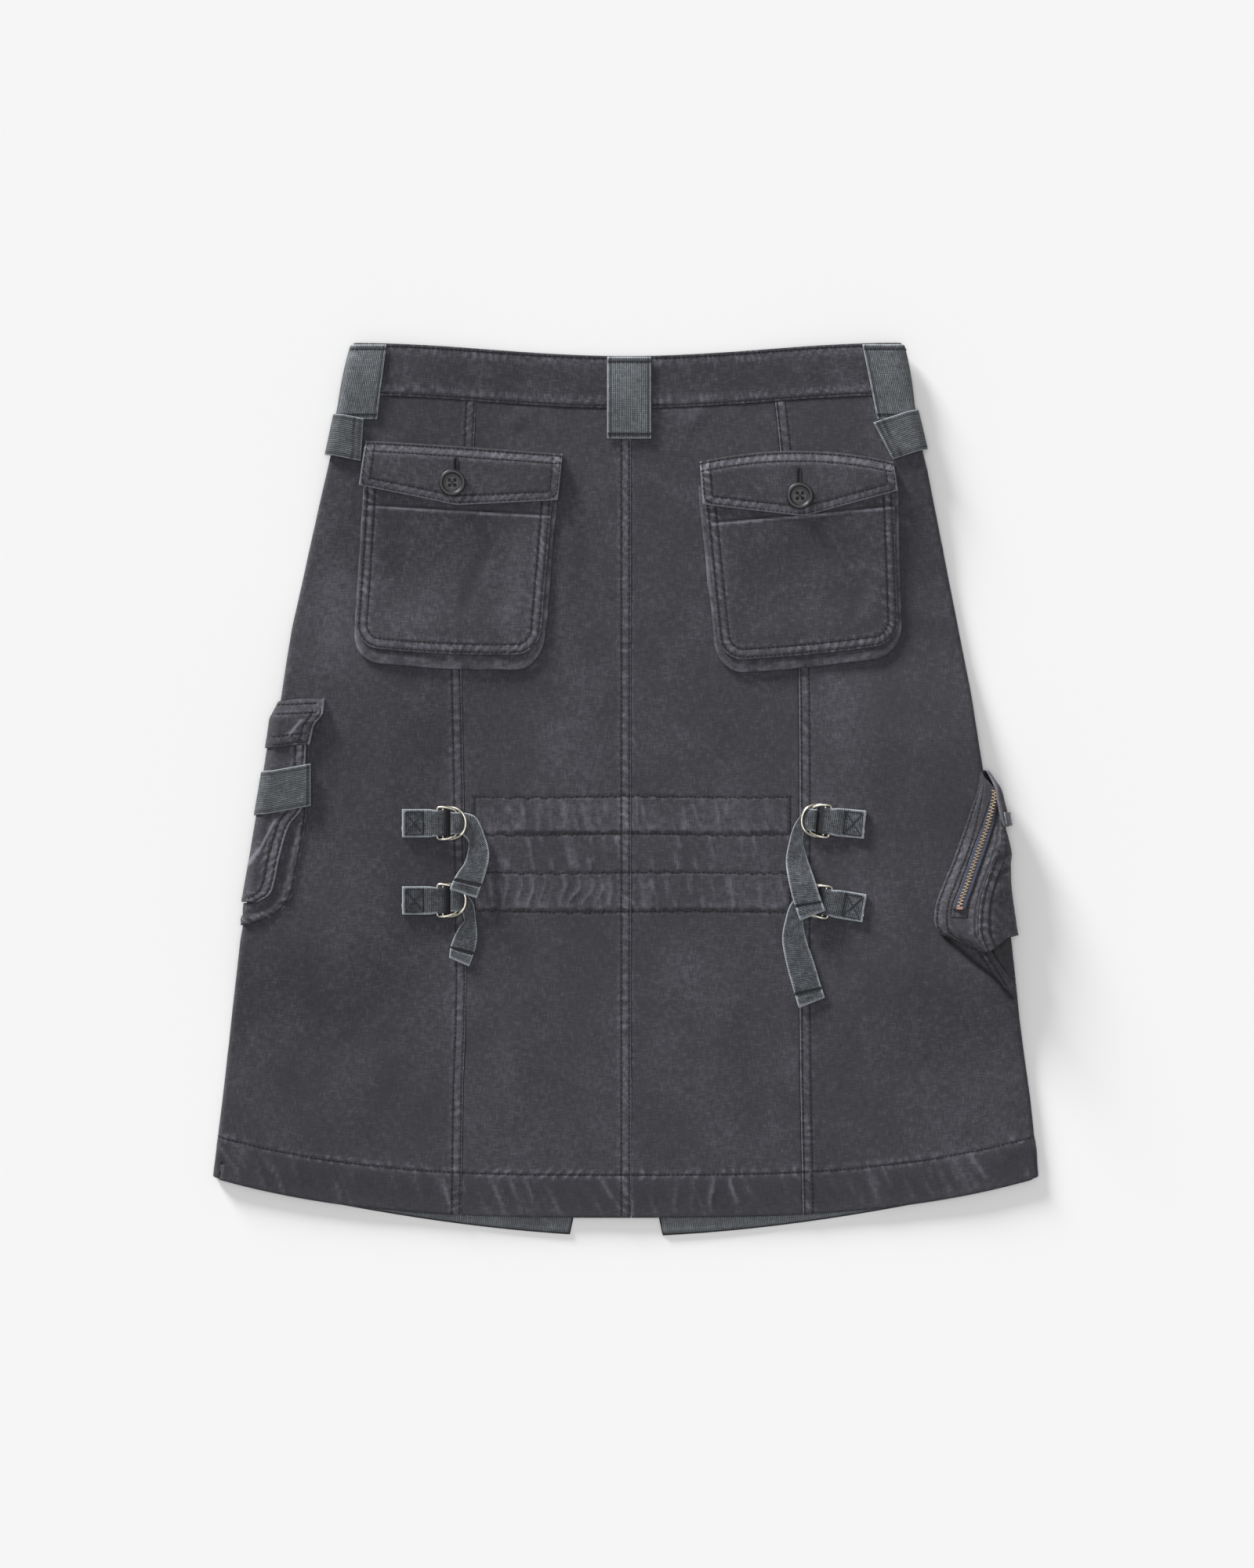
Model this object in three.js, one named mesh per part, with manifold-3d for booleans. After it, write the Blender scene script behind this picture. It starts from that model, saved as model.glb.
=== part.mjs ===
// Cargo utility skirt lying flat with its back up: millimetres, +Z up, +Y to the waist.
// Side -1 is the wearer's left, which lies at -X, and side 1 is the wearer's right.
import * as THREE from "three";
import Module from "manifold-3d";

// Wall thicknesses and the space kept between pieces
const CLOTH = 1.0;
const CANVAS = 1.2;
const WEBBING = 1.3;
const SEAM_GAP = 0.3;

// The folded body
const FOLD_RADIUS = 2.9;
const BACK_HEIGHT = 4.4;
const SEAM_TURN = 2.36;
const SEAM_RISE = 0.3;
const RAMP = 80;

// Waist and hem
const BAND_DEPTH = 35;
const BAND_RISE = 0.6;
const BACK_WAIST_MIDDLE = 290.8;
const FRONT_WAIST_MIDDLE = 283;
const WAIST_SIDE = 299.2;
const BACK_HEM_MIDDLE = -288;
const BACK_HEM_SWEEP = 27;
const FRONT_HEM_MIDDLE = -300.8;
const FRONT_HEM_SWEEP = 40;
const HEM_HALF_WIDTH = 277.6;
const HEM_DEPTH = 29;
const TAPE_WIDTH = 20;
const CENTRE_BACK = 3.8;
const CENTRE_FRONT = -6.5;
const PANEL_TOP = 264;
const PANEL_BOTTOM = -288;

// Gathered casings across the two centre back panels
const PUCKER_PITCH = 8.7;
const PUCKER_HEIGHT = 1.0;
const PUCKER_LEFT = -103;
const PUCKER_RIGHT = 111;

const CASINGS = [
  { top: -4, bottom: -31 },
  { top: -55, bottom: -83 },
];

// Trims
const BUTTON_RADIUS = 9;
const BUTTON_HEIGHT = 3.2;
const BUTTON_HOLE = 1.1;
const PATCH_WIDTH = 19;
const PATCH_NARROWING = 1.4;
const PATCH_LENGTH = 32;
const WIRE_RADIUS = 0.9;
const RING_LENGTH = 15.5;
const RING_HALF_WIDTH = 10.9;
const RING_SQUARENESS = 3.2;
const GUSSET_DEPTH = 5;
const CORNER_RADIUS = 16;

// Half widths of the folded body, from the waist down
const OUTLINE = [
  { y: 299.2, left: 182.4, right: 184.6 },
  { y: 256.1, left: 191.4, right: 192.0 },
  { y: 213.9, left: 200.4, right: 202.4 },
  { y: 161.3, left: 212.4, right: 212.9 },
  { y: 108.7, left: 223.9, right: 223.4 },
  { y: 66.6, left: 230.3, right: 231.3 },
  { y: 13.9, left: 238.6, right: 239.7 },
  { y: -49.2, left: 249.2, right: 250.8 },
  { y: -101.8, left: 258.7, right: 258.7 },
  { y: -154.5, left: 265.0, right: 264.5 },
  { y: -207.1, left: 270.8, right: 271.8 },
  { y: -262.0, left: 277.6, right: 277.6 },
];

// The seams between the side and centre panels of the back
const PRINCESS = [
  { y: 265, left: 100.0, right: 99.5 },
  { y: 232, left: 101.8, right: 103.2 },
  { y: 82, left: 110.3, right: 116.0 },
  { y: 14, left: 108.9, right: 116.6 },
  { y: -140, left: 106.8, right: 116.6 },
  { y: -200, left: 109.2, right: 117.2 },
  { y: -288, left: 110.3, right: 118.8 },
];

// How far the side seam comes round to the back from the fold
const SIDE_SEAM = [
  { y: -40, left: 0, right: 0 },
  { y: -92, left: 0, right: 19 },
  { y: -109, left: 0, right: 18 },
  { y: -121, left: 0, right: 11 },
  { y: -134, left: 0, right: 1.5 },
  { y: -146, left: 0, right: 0 },
  { y: -160, left: 0, right: 0 },
];

// Half of the front slit's opening
const SLIT = [
  { y: -140, half: 0.15 },
  { y: -152, half: 0.15 },
  { y: -190, half: 9.5 },
  { y: -240, half: 20 },
  { y: -288, half: 28.7 },
  { y: -301, half: 31.5 },
];

// Pockets and tabs that pass under the front and carry the cloth over them
const CARRIED = [
  { side: -1, top: 262, bottom: 214, reach: 46, height: 4.5 },
  { side: 1, top: 280, bottom: 216, reach: 46, height: 4.5 },
  { side: -1, top: 68, bottom: -96, reach: 68, height: 6.6 },
  { side: 1, top: 24, bottom: -114, reach: 66, height: 6.6 },
];

// Long soft ridges of the back
const RIDGES = [
  { x1: -40.3, y1: 200, x2: -40.3, y2: 106, width: 15, height: 1.2 },
  { x1: 219.7, y1: -107, x2: 266, y2: -143, width: 17, height: 1.5 },
  { x1: 60, y1: -120, x2: 74, y2: -235, width: 22, height: 1.0 },
  { x1: -66, y1: -112, x2: -78, y2: -240, width: 22, height: 0.9 },
  { x1: -150, y1: -150, x2: -190, y2: -235, width: 26, height: 1.0 },
  { x1: 150, y1: 40, x2: 168, y2: -20, width: 22, height: 0.8 },
];

// Nominal rows of the panels, from the waistband down
const ROWS = [264, 252, 236, 218, 196, 170, 140, 110, 82, 60, 38, 16, -8, -34, -60, -80, -94, -106, -118,
  -132, -148, -170, -200, -232, -259, -273, -288];
const CENTRE_ROWS = [264, 240, 205, 165, 120, 82, 30, -1, -5.5, -11, -17.5, -24, -29.5, -34, -43, -52,
  -56.5, -62, -69, -76, -81.5, -86, -120, -160, -200, -235, -259, -266, -274, -282, -288];

const wasm = await Module();
wasm.setup();

const skirt = new THREE.Group();
skirt.name = "cargo_utility_skirt";

function finish(colour, roughness, metalness = 0) {
  return { color: new THREE.Color(colour), roughness, metalness };
}

const FINISHES = {
  canvas: finish("#3f3f44", 0.92),
  canvasLight: finish("#444348", 0.92),
  canvasInside: finish("#36363a", 0.94),
  pocket: finish("#414145", 0.92),
  band: finish("#444349", 0.9),
  webbing: finish("#5c5d62", 0.88),
  strap: finish("#54565a", 0.88),
  tape: finish("#47484c", 0.9),
  nickel: finish("#c9c3ae", 0.3, 1),
  button: finish("#26262a", 0.38),
  zipTape: finish("#4d5562", 0.85),
  copper: finish("#b08c7c", 0.4, 1),
};

function smooth(t) {
  const c = Math.min(1, Math.max(0, t));
  return c * c * (3 - 2 * c);
}

function mix(a, b, t) {
  return a + (b - a) * t;
}

function sideName(side) {
  return side < 0 ? "left" : "right";
}

// Reads a column of a table at a place along its key, in a straight line between rows.
function read(table, key, at, column) {
  const falling = table[0][key] > table[1][key];
  let row = 1;
  while (row < table.length - 1 && (falling ? at < table[row][key] : at > table[row][key])) {
    row += 1;
  }
  const before = table[row - 1];
  const after = table[row];
  return mix(before[column], after[column], (at - before[key]) / (after[key] - before[key]));
}

function readClamped(table, key, at, column) {
  const low = Math.min(table[0][key], table[table.length - 1][key]);
  const high = Math.max(table[0][key], table[table.length - 1][key]);
  return read(table, key, Math.min(high, Math.max(low, at)), column);
}

function edge(side, y) {
  return read(OUTLINE, "y", y, sideName(side));
}

// Height that things passing underneath give the cloth at a place.
function carried(side, x, y) {
  let sum = 0;
  for (const item of CARRIED) {
    if (item.side === side) {
      const down = smooth((item.top + RAMP - y) / RAMP);
      const up = smooth((y - item.bottom + RAMP) / RAMP);
      const across = smooth((x - edge(side, y) + item.reach + RAMP) / RAMP);
      sum += Math.pow(item.height * down * up * across, 3);
    }
  }
  return Math.cbrt(sum);
}

function ridges(x, y) {
  let height = 0;
  for (const ridge of RIDGES) {
    const length = Math.hypot(ridge.x2 - ridge.x1, ridge.y2 - ridge.y1);
    const ux = (ridge.x2 - ridge.x1) / length;
    const uy = (ridge.y2 - ridge.y1) / length;
    const along = ((x - ridge.x1) * ux + (y - ridge.y1) * uy) / length;
    const off = Math.abs((x - ridge.x1) * uy - (y - ridge.y1) * ux) / ridge.width;
    if (along > 0 && along < 1 && off < 1) {
      height += ridge.height * Math.sin(Math.PI * along) * (1 - smooth(off));
    }
  }
  return height;
}

// Counts the gathers of a casing from the middle; they are unevenly wide.
function gatherTurn(x, casing) {
  return x / PUCKER_PITCH + 0.3 * Math.sin(x / 23 + casing.top);
}

// Gathers of the two casings and the roping of the hem, raised on the outside only.
function puckers(x, y, hem) {
  let height = 0;
  for (const casing of CASINGS) {
    if (y < casing.top && y > casing.bottom) {
      const swell = Math.sin(Math.PI * (casing.top - y) / (casing.top - casing.bottom));
      const ends = smooth((x - PUCKER_LEFT) / 8) * smooth((PUCKER_RIGHT - x) / 8);
      const wave = 0.5 + 0.5 * Math.cos(2 * Math.PI * gatherTurn(x, casing));
      height += PUCKER_HEIGHT * swell * ends * wave;
    }
  }
  const above = y - hem;
  if (above > 1 && above < HEM_DEPTH - 3) {
    const swell = Math.sin(Math.PI * above / HEM_DEPTH);
    height += 0.35 * swell * (0.5 + 0.5 * Math.cos(2 * Math.PI * (x + 0.6 * above) / 13));
  }
  return height;
}

function backWaist(x) {
  return mix(BACK_WAIST_MIDDLE, WAIST_SIDE, smooth(Math.abs(x) / 185));
}

function frontWaist(x) {
  return mix(FRONT_WAIST_MIDDLE, WAIST_SIDE, smooth(Math.abs(x) / 185));
}

function backHem(x) {
  return BACK_HEM_MIDDLE + BACK_HEM_SWEEP * Math.pow(Math.abs(x) / HEM_HALF_WIDTH, 3);
}

function frontHem(x) {
  return FRONT_HEM_MIDDLE + FRONT_HEM_SWEEP * Math.pow(Math.abs(x) / HEM_HALF_WIDTH, 1.7);
}

// Height of a nominal row at a place across: the top and bottom rows follow waist and hem.
function rowHeight(x, row, waist, hem) {
  const top = waist(x) - BAND_DEPTH - SEAM_GAP - PANEL_TOP;
  const bottom = hem(x) - PANEL_BOTTOM;
  const nearTop = smooth(1 - (PANEL_TOP - row) / 120);
  const nearBottom = smooth(1 - (row - PANEL_BOTTOM) / 120);
  return row + top * nearTop + bottom * nearBottom;
}

// The folded body. Girth runs from the middle of the back over the side fold to the front.
function onBody(side, girth, y, lift, relief = true) {
  const flat = edge(side, y) - FOLD_RADIUS;
  const round = flat + Math.PI * FOLD_RADIUS;
  if (girth <= flat) {
    const loft = mix(BACK_HEIGHT, 2 * FOLD_RADIUS, smooth((girth / flat - 0.5) / 0.5));
    const soft = relief ? ridges(side * girth, y) : 0;
    return new THREE.Vector3(side * girth, y, carried(side, girth, y) + loft + soft + lift);
  }
  const under = carried(side, flat, y);
  if (girth < round) {
    const turn = (girth - flat) / FOLD_RADIUS;
    const reach = FOLD_RADIUS + lift;
    const x = side * (flat + reach * Math.sin(turn));
    return new THREE.Vector3(x, y, under + FOLD_RADIUS + reach * Math.cos(turn));
  }
  const x = 2 * flat + Math.PI * FOLD_RADIUS - girth;
  return new THREE.Vector3(side * x, y, carried(side, x, y) - lift);
}

function onBack(x, y, lift, relief = true) {
  return onBody(x < 0 ? -1 : 1, Math.abs(x), y, lift, relief);
}

function roundEnd(side, y) {
  return edge(side, y) - FOLD_RADIUS + Math.PI * FOLD_RADIUS;
}

// Lays triangles between two lines of points that may hold different numbers of them.
function zipLines(upper, lower, points, faces, flip) {
  const along = (line) => {
    const sums = [0];
    for (let i = 1; i < line.length; i += 1) {
      sums.push(sums[i - 1] + points[line[i]].distanceTo(points[line[i - 1]]) + 1e-6);
    }
    return sums.map((sum) => sum / sums[sums.length - 1]);
  };
  const above = along(upper);
  const below = along(lower);
  let i = 0;
  let j = 0;
  while (i < upper.length - 1 || j < lower.length - 1) {
    const nextAbove = i < upper.length - 1 ? above[i + 1] : 2;
    const nextBelow = j < lower.length - 1 ? below[j + 1] : 2;
    const face = nextAbove <= nextBelow
      ? [upper[i], lower[j], upper[i + 1]]
      : [upper[i], lower[j], lower[j + 1]];
    if (nextAbove <= nextBelow) {
      i += 1;
    } else {
      j += 1;
    }
    faces.push(flip ? [face[0], face[2], face[1]] : face);
  }
}

function volumeOf(points, faces) {
  let volume = 0;
  for (const [a, b, c] of faces) {
    volume += points[a].dot(new THREE.Vector3().crossVectors(points[b], points[c]));
  }
  return volume / 6;
}

// Turns points and faces into a geometry that faces outwards.
function geometryOf(points, faces) {
  const out = volumeOf(points, faces) > 0;
  const places = points.flatMap((point) => point.toArray());
  const geometry = new THREE.BufferGeometry();
  geometry.setAttribute("position", new THREE.Float32BufferAttribute(places, 3));
  geometry.setIndex(faces.flatMap((face) => (out ? face : [face[0], face[2], face[1]])));
  return geometry;
}

// A wall between an outer and an inner sheet that have the same number of rows.
function wall(outer, inner) {
  const points = [];
  const keep = (rows) => rows.map((row) => row.map((point) => points.push(point) - 1));
  const outerRows = keep(outer);
  const innerRows = keep(inner);
  const last = outerRows.length - 1;
  const faces = [];
  for (let i = 0; i < last; i += 1) {
    zipLines(outerRows[i], outerRows[i + 1], points, faces, false);
    zipLines(innerRows[i], innerRows[i + 1], points, faces, true);
  }
  zipLines(innerRows[0], outerRows[0], points, faces, false);
  zipLines(outerRows[last], innerRows[last], points, faces, false);
  const ends = (rows, end) => rows.map((row) => (end ? row[row.length - 1] : row[0]));
  zipLines(ends(outerRows, false), ends(innerRows, false), points, faces, false);
  zipLines(ends(innerRows, true), ends(outerRows, true), points, faces, false);
  return geometryOf(points, faces);
}

// A solid through rings of points, open with flat ends or closed on itself.
function sweep(rings, closed, capFaces = []) {
  const points = rings.flat();
  const count = rings[0].length;
  const faces = [];
  const steps = closed ? rings.length : rings.length - 1;
  for (let i = 0; i < steps; i += 1) {
    const here = i * count;
    const next = ((i + 1) % rings.length) * count;
    for (let j = 0; j < count; j += 1) {
      const k = (j + 1) % count;
      faces.push([here + j, next + j, next + k], [here + j, next + k, here + k]);
    }
  }
  const end = (rings.length - 1) * count;
  for (const [a, b, c] of closed ? [] : capFaces) {
    faces.push([a, b, c], [end + a, end + c, end + b]);
  }
  return geometryOf(points, faces);
}

function capOf(section) {
  const outline = section.map(([x, y]) => new THREE.Vector2(x, y));
  const faces = THREE.ShapeUtils.triangulateShape(outline, []);
  const area = THREE.ShapeUtils.area(outline);
  return faces.map((face) => (area > 0 ? face : [face[0], face[2], face[1]]));
}

// Moves each point of a grid along the grid's own slope.
function offsetGrid(grid, amount) {
  const rows = grid.length;
  const columns = grid[0].length;
  return grid.map((row, i) => row.map((point, j) => {
    const down = grid[Math.min(rows - 1, i + 1)][j].clone().sub(grid[Math.max(0, i - 1)][j]);
    const across = row[Math.min(columns - 1, j + 1)].clone().sub(row[Math.max(0, j - 1)]);
    const normal = across.cross(down).normalize();
    const move = typeof amount === "function" ? amount(i, j) : amount;
    return point.clone().addScaledVector(normal, move);
  }));
}

function add(name, geometry, look) {
  geometry.computeVertexNormals();
  const mesh = new THREE.Mesh(geometry, new THREE.MeshStandardMaterial(look));
  mesh.name = name;
  skirt.add(mesh);
}

function grid(rows, columns, place) {
  return rows.map((t) => columns.map((s) => place(s, t)));
}

function steps(count) {
  return Array.from({ length: count + 1 }, (unused, i) => i / count);
}

// A piece laid on another: both faces come from the same place at two lifts.
function laid(name, rows, columns, place, look, innerColumns = columns) {
  const outer = grid(rows, columns, (s, t) => place(s, t, true));
  const inner = grid(rows, innerColumns, (s, t) => place(s, t, false));
  add(name, wall(outer, inner), look);
}

// Back panels
function seamRise(distance) {
  return SEAM_RISE * (1 - smooth((distance - 6.5) / 3));
}

function sideSeam(side, y) {
  const bend = readClamped(SIDE_SEAM, "y", y, sideName(side));
  return edge(side, y) - FOLD_RADIUS + SEAM_TURN * FOLD_RADIUS - bend;
}

// The seam runs straight between the rows of the centre panel, so that both panels share it.
function princess(side, row) {
  let i = 1;
  while (i < CENTRE_ROWS.length - 1 && row < CENTRE_ROWS[i]) {
    i += 1;
  }
  const at = (place) => {
    const y = rowHeight(105, place, backWaist, backHem);
    return read(PRINCESS, "y", y, sideName(side));
  };
  const share = (row - CENTRE_ROWS[i - 1]) / (CENTRE_ROWS[i] - CENTRE_ROWS[i - 1]);
  return mix(at(CENTRE_ROWS[i - 1]), at(CENTRE_ROWS[i]), share);
}

function backSide(side) {
  const name = sideName(side);
  const outerFlat = [0, 6.5, 9.5];
  const shares = [0.2, 0.36, 0.52, 0.68, 0.84];
  const nearSeam = [12, 6.84, 5.1, 3.4, 1.7, 0.15];
  const place = (column, row, lift) => {
    const nominal = rowHeight(150, row, backWaist, backHem);
    const start = princess(side, row) + SEAM_GAP / 2;
    const end = sideSeam(side, nominal) - nearSeam[0];
    let at = start + column.from;
    if (column.share !== undefined) {
      at = mix(start + 9.5, end, column.share);
    }
    if (column.seam !== undefined) {
      at = sideSeam(side, nominal) - column.seam;
    }
    const x = Math.min(at, edge(side, nominal));
    const y = rowHeight(x, row, backWaist, backHem);
    const girth = column.seam === undefined ? at : sideSeam(side, y) - column.seam;
    const outside = lift > -0.5;
    const relief = outside ? puckers(side * x, y, backHem(x)) + seamRise(x - start) : 0;
    return onBody(side, girth, y, lift + relief, outside);
  };
  const outerColumns = [
    ...outerFlat.map((from) => ({ from })),
    ...shares.map((share) => ({ share })),
    ...nearSeam.map((seam) => ({ seam })),
  ];
  const innerColumns = [
    { from: 0 }, { share: 0.3 }, { share: 0.65 }, ...nearSeam.map((seam) => ({ seam })),
  ];
  const outer = grid(ROWS, outerColumns, (column, row) => place(column, row, 0));
  const inner = grid(ROWS, innerColumns, (column, row) => place(column, row, -CLOTH));
  add(`back_side_${name}`, wall(outer, inner), FINISHES.canvas);
}

function backCentre(side) {
  const name = sideName(side);
  const seam = (row) => side * (princess(side, row) - SEAM_GAP / 2);
  const middle = CENTRE_BACK + side * SEAM_GAP / 2;
  const place = (share, row, lift) => {
    const x = mix(middle, seam(row), share);
    const y = rowHeight(x, row, backWaist, backHem);
    const outside = lift > -0.5;
    const overlap = side < 0 ? seamRise(Math.abs(x - middle)) : 0;
    const relief = outside ? puckers(x, y, backHem(x)) + overlap : 0;
    return onBack(x, y, lift + relief, outside);
  };
  const plain = [0, 0.06, 0.1, 0.24, 0.38, 0.52, 0.66, 0.8, 0.9, 1];
  const columnsOf = (row) => {
    const casing = CASINGS.find((item) => row < item.top - 1 && row > item.bottom + 1);
    if (casing === undefined) {
      return row < -262 && row > -285 ? steps(16) : plain;
    }
    const columns = [0];
    for (let x = 0.1; x < Math.abs(seam(row) - middle) - 2; x += 0.1) {
      const before = gatherTurn(middle + side * (x - 0.1), casing) * 2;
      if (Math.floor(before) !== Math.floor(gatherTurn(middle + side * x, casing) * 2) && x > 2) {
        columns.push(x / Math.abs(seam(row) - middle));
      }
    }
    return [...columns, 1];
  };
  const outer = CENTRE_ROWS.map((row) => columnsOf(row).map((share) => place(share, row, 0)));
  const inner = CENTRE_ROWS.map((row) => [0, 0.33, 0.66, 1].map((share) => place(share, row, -CLOTH)));
  add(`back_centre_${name}`, wall(outer, inner), FINISHES.canvasLight);
}

// Front panels, which lie underneath
function frontPanel(side) {
  const name = sideName(side);
  const inset = (y) => side * CENTRE_FRONT + readClamped(SLIT, "y", y, "half");
  const turns = side < 0 ? 3 : 6;
  const place = (column, row, lift) => {
    const guess = (edge(side, row) - FOLD_RADIUS) * (1 - (column.share ?? 0));
    const nominal = rowHeight(guess, row, frontWaist, frontHem);
    const start = sideSeam(side, nominal) + SEAM_GAP;
    const flatStart = roundEnd(side, nominal);
    const end = flatStart + edge(side, nominal) - FOLD_RADIUS - inset(nominal);
    const girth = column.turn !== undefined
      ? mix(start, flatStart, column.turn)
      : mix(flatStart, end, column.share);
    const x = Math.abs(onBody(side, girth, nominal, 0).x);
    const y = rowHeight(x, row, frontWaist, frontHem);
    const shift = roundEnd(side, y) - roundEnd(side, nominal);
    const settle = column.turn !== undefined ? shift : shift * (2 - 2 * column.share);
    return onBody(side, girth + settle, y, lift);
  };
  const outerColumns = [
    ...steps(turns).map((turn) => ({ turn })),
    ...[0.07, 0.18, 0.3, 0.42, 0.54, 0.68, 0.84, 1].map((share) => ({ share })),
  ];
  const innerColumns = [
    ...steps(turns).map((turn) => ({ turn })),
    ...[0.12, 0.24, 0.36, 0.5, 0.7, 1].map((share) => ({ share })),
  ];
  const outer = grid(ROWS, outerColumns, (column, row) => place(column, row, 0));
  const inner = grid(ROWS, innerColumns, (column, row) => place(column, row, -CLOTH));
  add(`front_${name}`, wall(outer, inner), FINISHES.canvasInside);
}

// Webbing tape along the inside of the front hem
function hemTape(side) {
  const shares = steps(14);
  const place = (share, row, top) => {
    const opening = readClamped(SLIT, "y", frontHem(20) + row * TAPE_WIDTH, "half");
    const x = mix(252, side * CENTRE_FRONT + opening + 0.6, share);
    const y = frontHem(x) + 1.2 + row * TAPE_WIDTH;
    return new THREE.Vector3(side * x, y, CLOTH + SEAM_GAP + (top ? 0.8 : 0));
  };
  laid(`hem_tape_${sideName(side)}`, [1, 0], shares, place, FINISHES.tape);
}

// Waistband
function waistbandBack() {
  const turns = [SEAM_TURN - 0.05, 1.77, 1.18, 0.59, 0];
  const shares = [0.93, 0.84, 0.7, 0.5, 0.25];
  const half = (side) => [
    ...turns.map((turn) => ({ side, turn })),
    ...shares.map((share) => ({ side, share })),
  ];
  const columns = [...half(-1), { side: 1, share: 0 }, ...half(1).reverse()];
  const place = (column, t, top) => {
    const share = column.share ?? 1;
    const y = backWaist(share * 185) - t * BAND_DEPTH;
    const flat = edge(column.side, y) - FOLD_RADIUS;
    const girth = share * flat + (column.turn ?? 0) * FOLD_RADIUS;
    return onBody(column.side, girth, y, top ? BAND_RISE : -CANVAS);
  };
  laid("waistband_back", [0, 0.25, 0.5, 0.75, 1], columns, place, FINISHES.band);
}

function waistbandFront(side) {
  const turns = [SEAM_TURN + 0.05, Math.PI];
  const shares = [0.8, 0.6, 0.4, 0.2, 0];
  const columns = [...turns.map((turn) => ({ turn })), ...shares.map((share) => ({ share }))];
  const place = (column, t, top) => {
    const share = column.share ?? 1;
    const y = frontWaist(share * 185) - t * (BAND_DEPTH - 0.9);
    const flat = edge(side, y) - FOLD_RADIUS;
    const end = side * CENTRE_FRONT + SEAM_GAP / 2;
    const girth = column.turn !== undefined
      ? flat + column.turn * FOLD_RADIUS
      : roundEnd(side, y) + (1 - share) * (flat - end);
    return onBody(side, girth, y, top ? 0 : -1.8);
  };
  laid(`waistband_front_${sideName(side)}`, [0, 0.5, 1], columns, place, FINISHES.band);
}

// Back pockets
const POCKETS = [
  {
    name: "pocket_left",
    face: { left: -174, right: -47.5, topLeft: 219, topRight: 213, lowLeft: -182, lowRight: -58,
      bottomLeft: 95.5, bottomRight: 90.5, bow: 2.5 },
    flap: { left: -174.4, right: -42.4, topLeft: 233.4, topRight: 225, bow: 0.5, apex: 0.49, lowLeft: -178.7,
      lowRight: -45.5, bottomLeft: 203.4, bottomApex: 190.3, bottomRight: 193.7 },
    gusset: { left: 0.8, bottom: 10, right: 3 },
    button: { x: -116.2, y: 205.1 },
  },
  {
    name: "pocket_right",
    face: { left: 51, right: 179.5, topLeft: 207.5, topRight: 206.5, lowLeft: 63.5, lowRight: 183.5,
      bottomLeft: 86, bottomRight: 97.5, bow: 1.5 },
    flap: { left: 49.6, right: 179.2, topLeft: 219.8, topRight: 219.2, bow: 7.4, apex: 0.52, lowLeft: 51.6,
      lowRight: 182.2, bottomLeft: 190.8, bottomApex: 182.9, bottomRight: 199.7 },
    gusset: { left: 3, bottom: 8.5, right: 2.6 },
    button: { x: 116.6, y: 196.4 },
  },
];

const GUSSET_ROWS = [0.08, 0.24, 0.42, 0.6, 0.77, 0.875, 0.925, 0.97];

function onFace(face, s, t) {
  const left = mix(face.left, face.lowLeft, t);
  const right = mix(face.right, face.lowRight, t);
  const height = mix(face.topLeft, face.topRight, s) - mix(face.bottomLeft, face.bottomRight, s);
  const depth = (1 - t) * height;
  const short = CORNER_RADIUS - Math.min(CORNER_RADIUS, depth);
  const cut = CORNER_RADIUS - Math.sqrt(CORNER_RADIUS ** 2 - short ** 2);
  const across = (cut + s * (right - left - 2 * cut)) / (right - left);
  const top = mix(face.topLeft, face.topRight, across);
  const bottom = mix(face.bottomLeft, face.bottomRight, across) - face.bow * 4 * across * (1 - across);
  return { x: mix(left, right, across), y: mix(top, bottom, t), depth };
}

function pocketFace(pocket) {
  const rows = [0, ...GUSSET_ROWS, 1];
  const place = (s, t, top) => {
    const at = onFace(pocket.face, s, t);
    const inside = smooth((s - 0.1) / 0.15) * smooth((0.9 - s) / 0.15) * smooth((at.depth - 14) / 24);
    const sag = -1.5 * inside * smooth((t - 0.22) / 0.3);
    return onBack(at.x, at.y, (top ? 4.2 : 3.2) + sag);
  };
  const columns = [0, 0.05, 0.11, 0.2, 0.32, 0.5, 0.68, 0.8, 0.89, 0.95, 1];
  laid(`${pocket.name}_face`, rows, columns, place, FINISHES.pocket);
}

function pocketGusset(pocket) {
  const path = [
    ...GUSSET_ROWS.map((t) => ({ s: 0, t })),
    ...[0, 0.2, 0.5, 0.8, 1].map((s) => ({ s, t: 1 })),
    ...GUSSET_ROWS.slice().reverse().map((t) => ({ s: 1, t })),
  ].map(({ s, t }) => onFace(pocket.face, s, t));
  const sectionOf = (peek) => [
    [-GUSSET_DEPTH, 0.65], [peek - 0.9, 0.65], [peek, 1.75], [peek - 0.9, 2.85],
    [-GUSSET_DEPTH, 2.85], [-GUSSET_DEPTH, 1.85], [peek - 2.2, 1.75], [-GUSSET_DEPTH, 1.65],
  ];
  const rings = path.map((at, i) => {
    const before = path[Math.max(0, i - 1)];
    const after = path[Math.min(path.length - 1, i + 1)];
    const length = Math.hypot(after.x - before.x, after.y - before.y);
    const outX = (after.y - before.y) / length;
    const outY = -(after.x - before.x) / length;
    const beside = outX < 0 ? pocket.gusset.left : pocket.gusset.right;
    const peek = beside * outX * outX + pocket.gusset.bottom * outY * outY;
    return sectionOf(peek).map(([out, lift]) => onBack(at.x + out * outX, at.y + out * outY, lift));
  });
  add(`${pocket.name}_gusset`, sweep(rings, false, capOf(sectionOf(4))), FINISHES.pocket);
}

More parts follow.
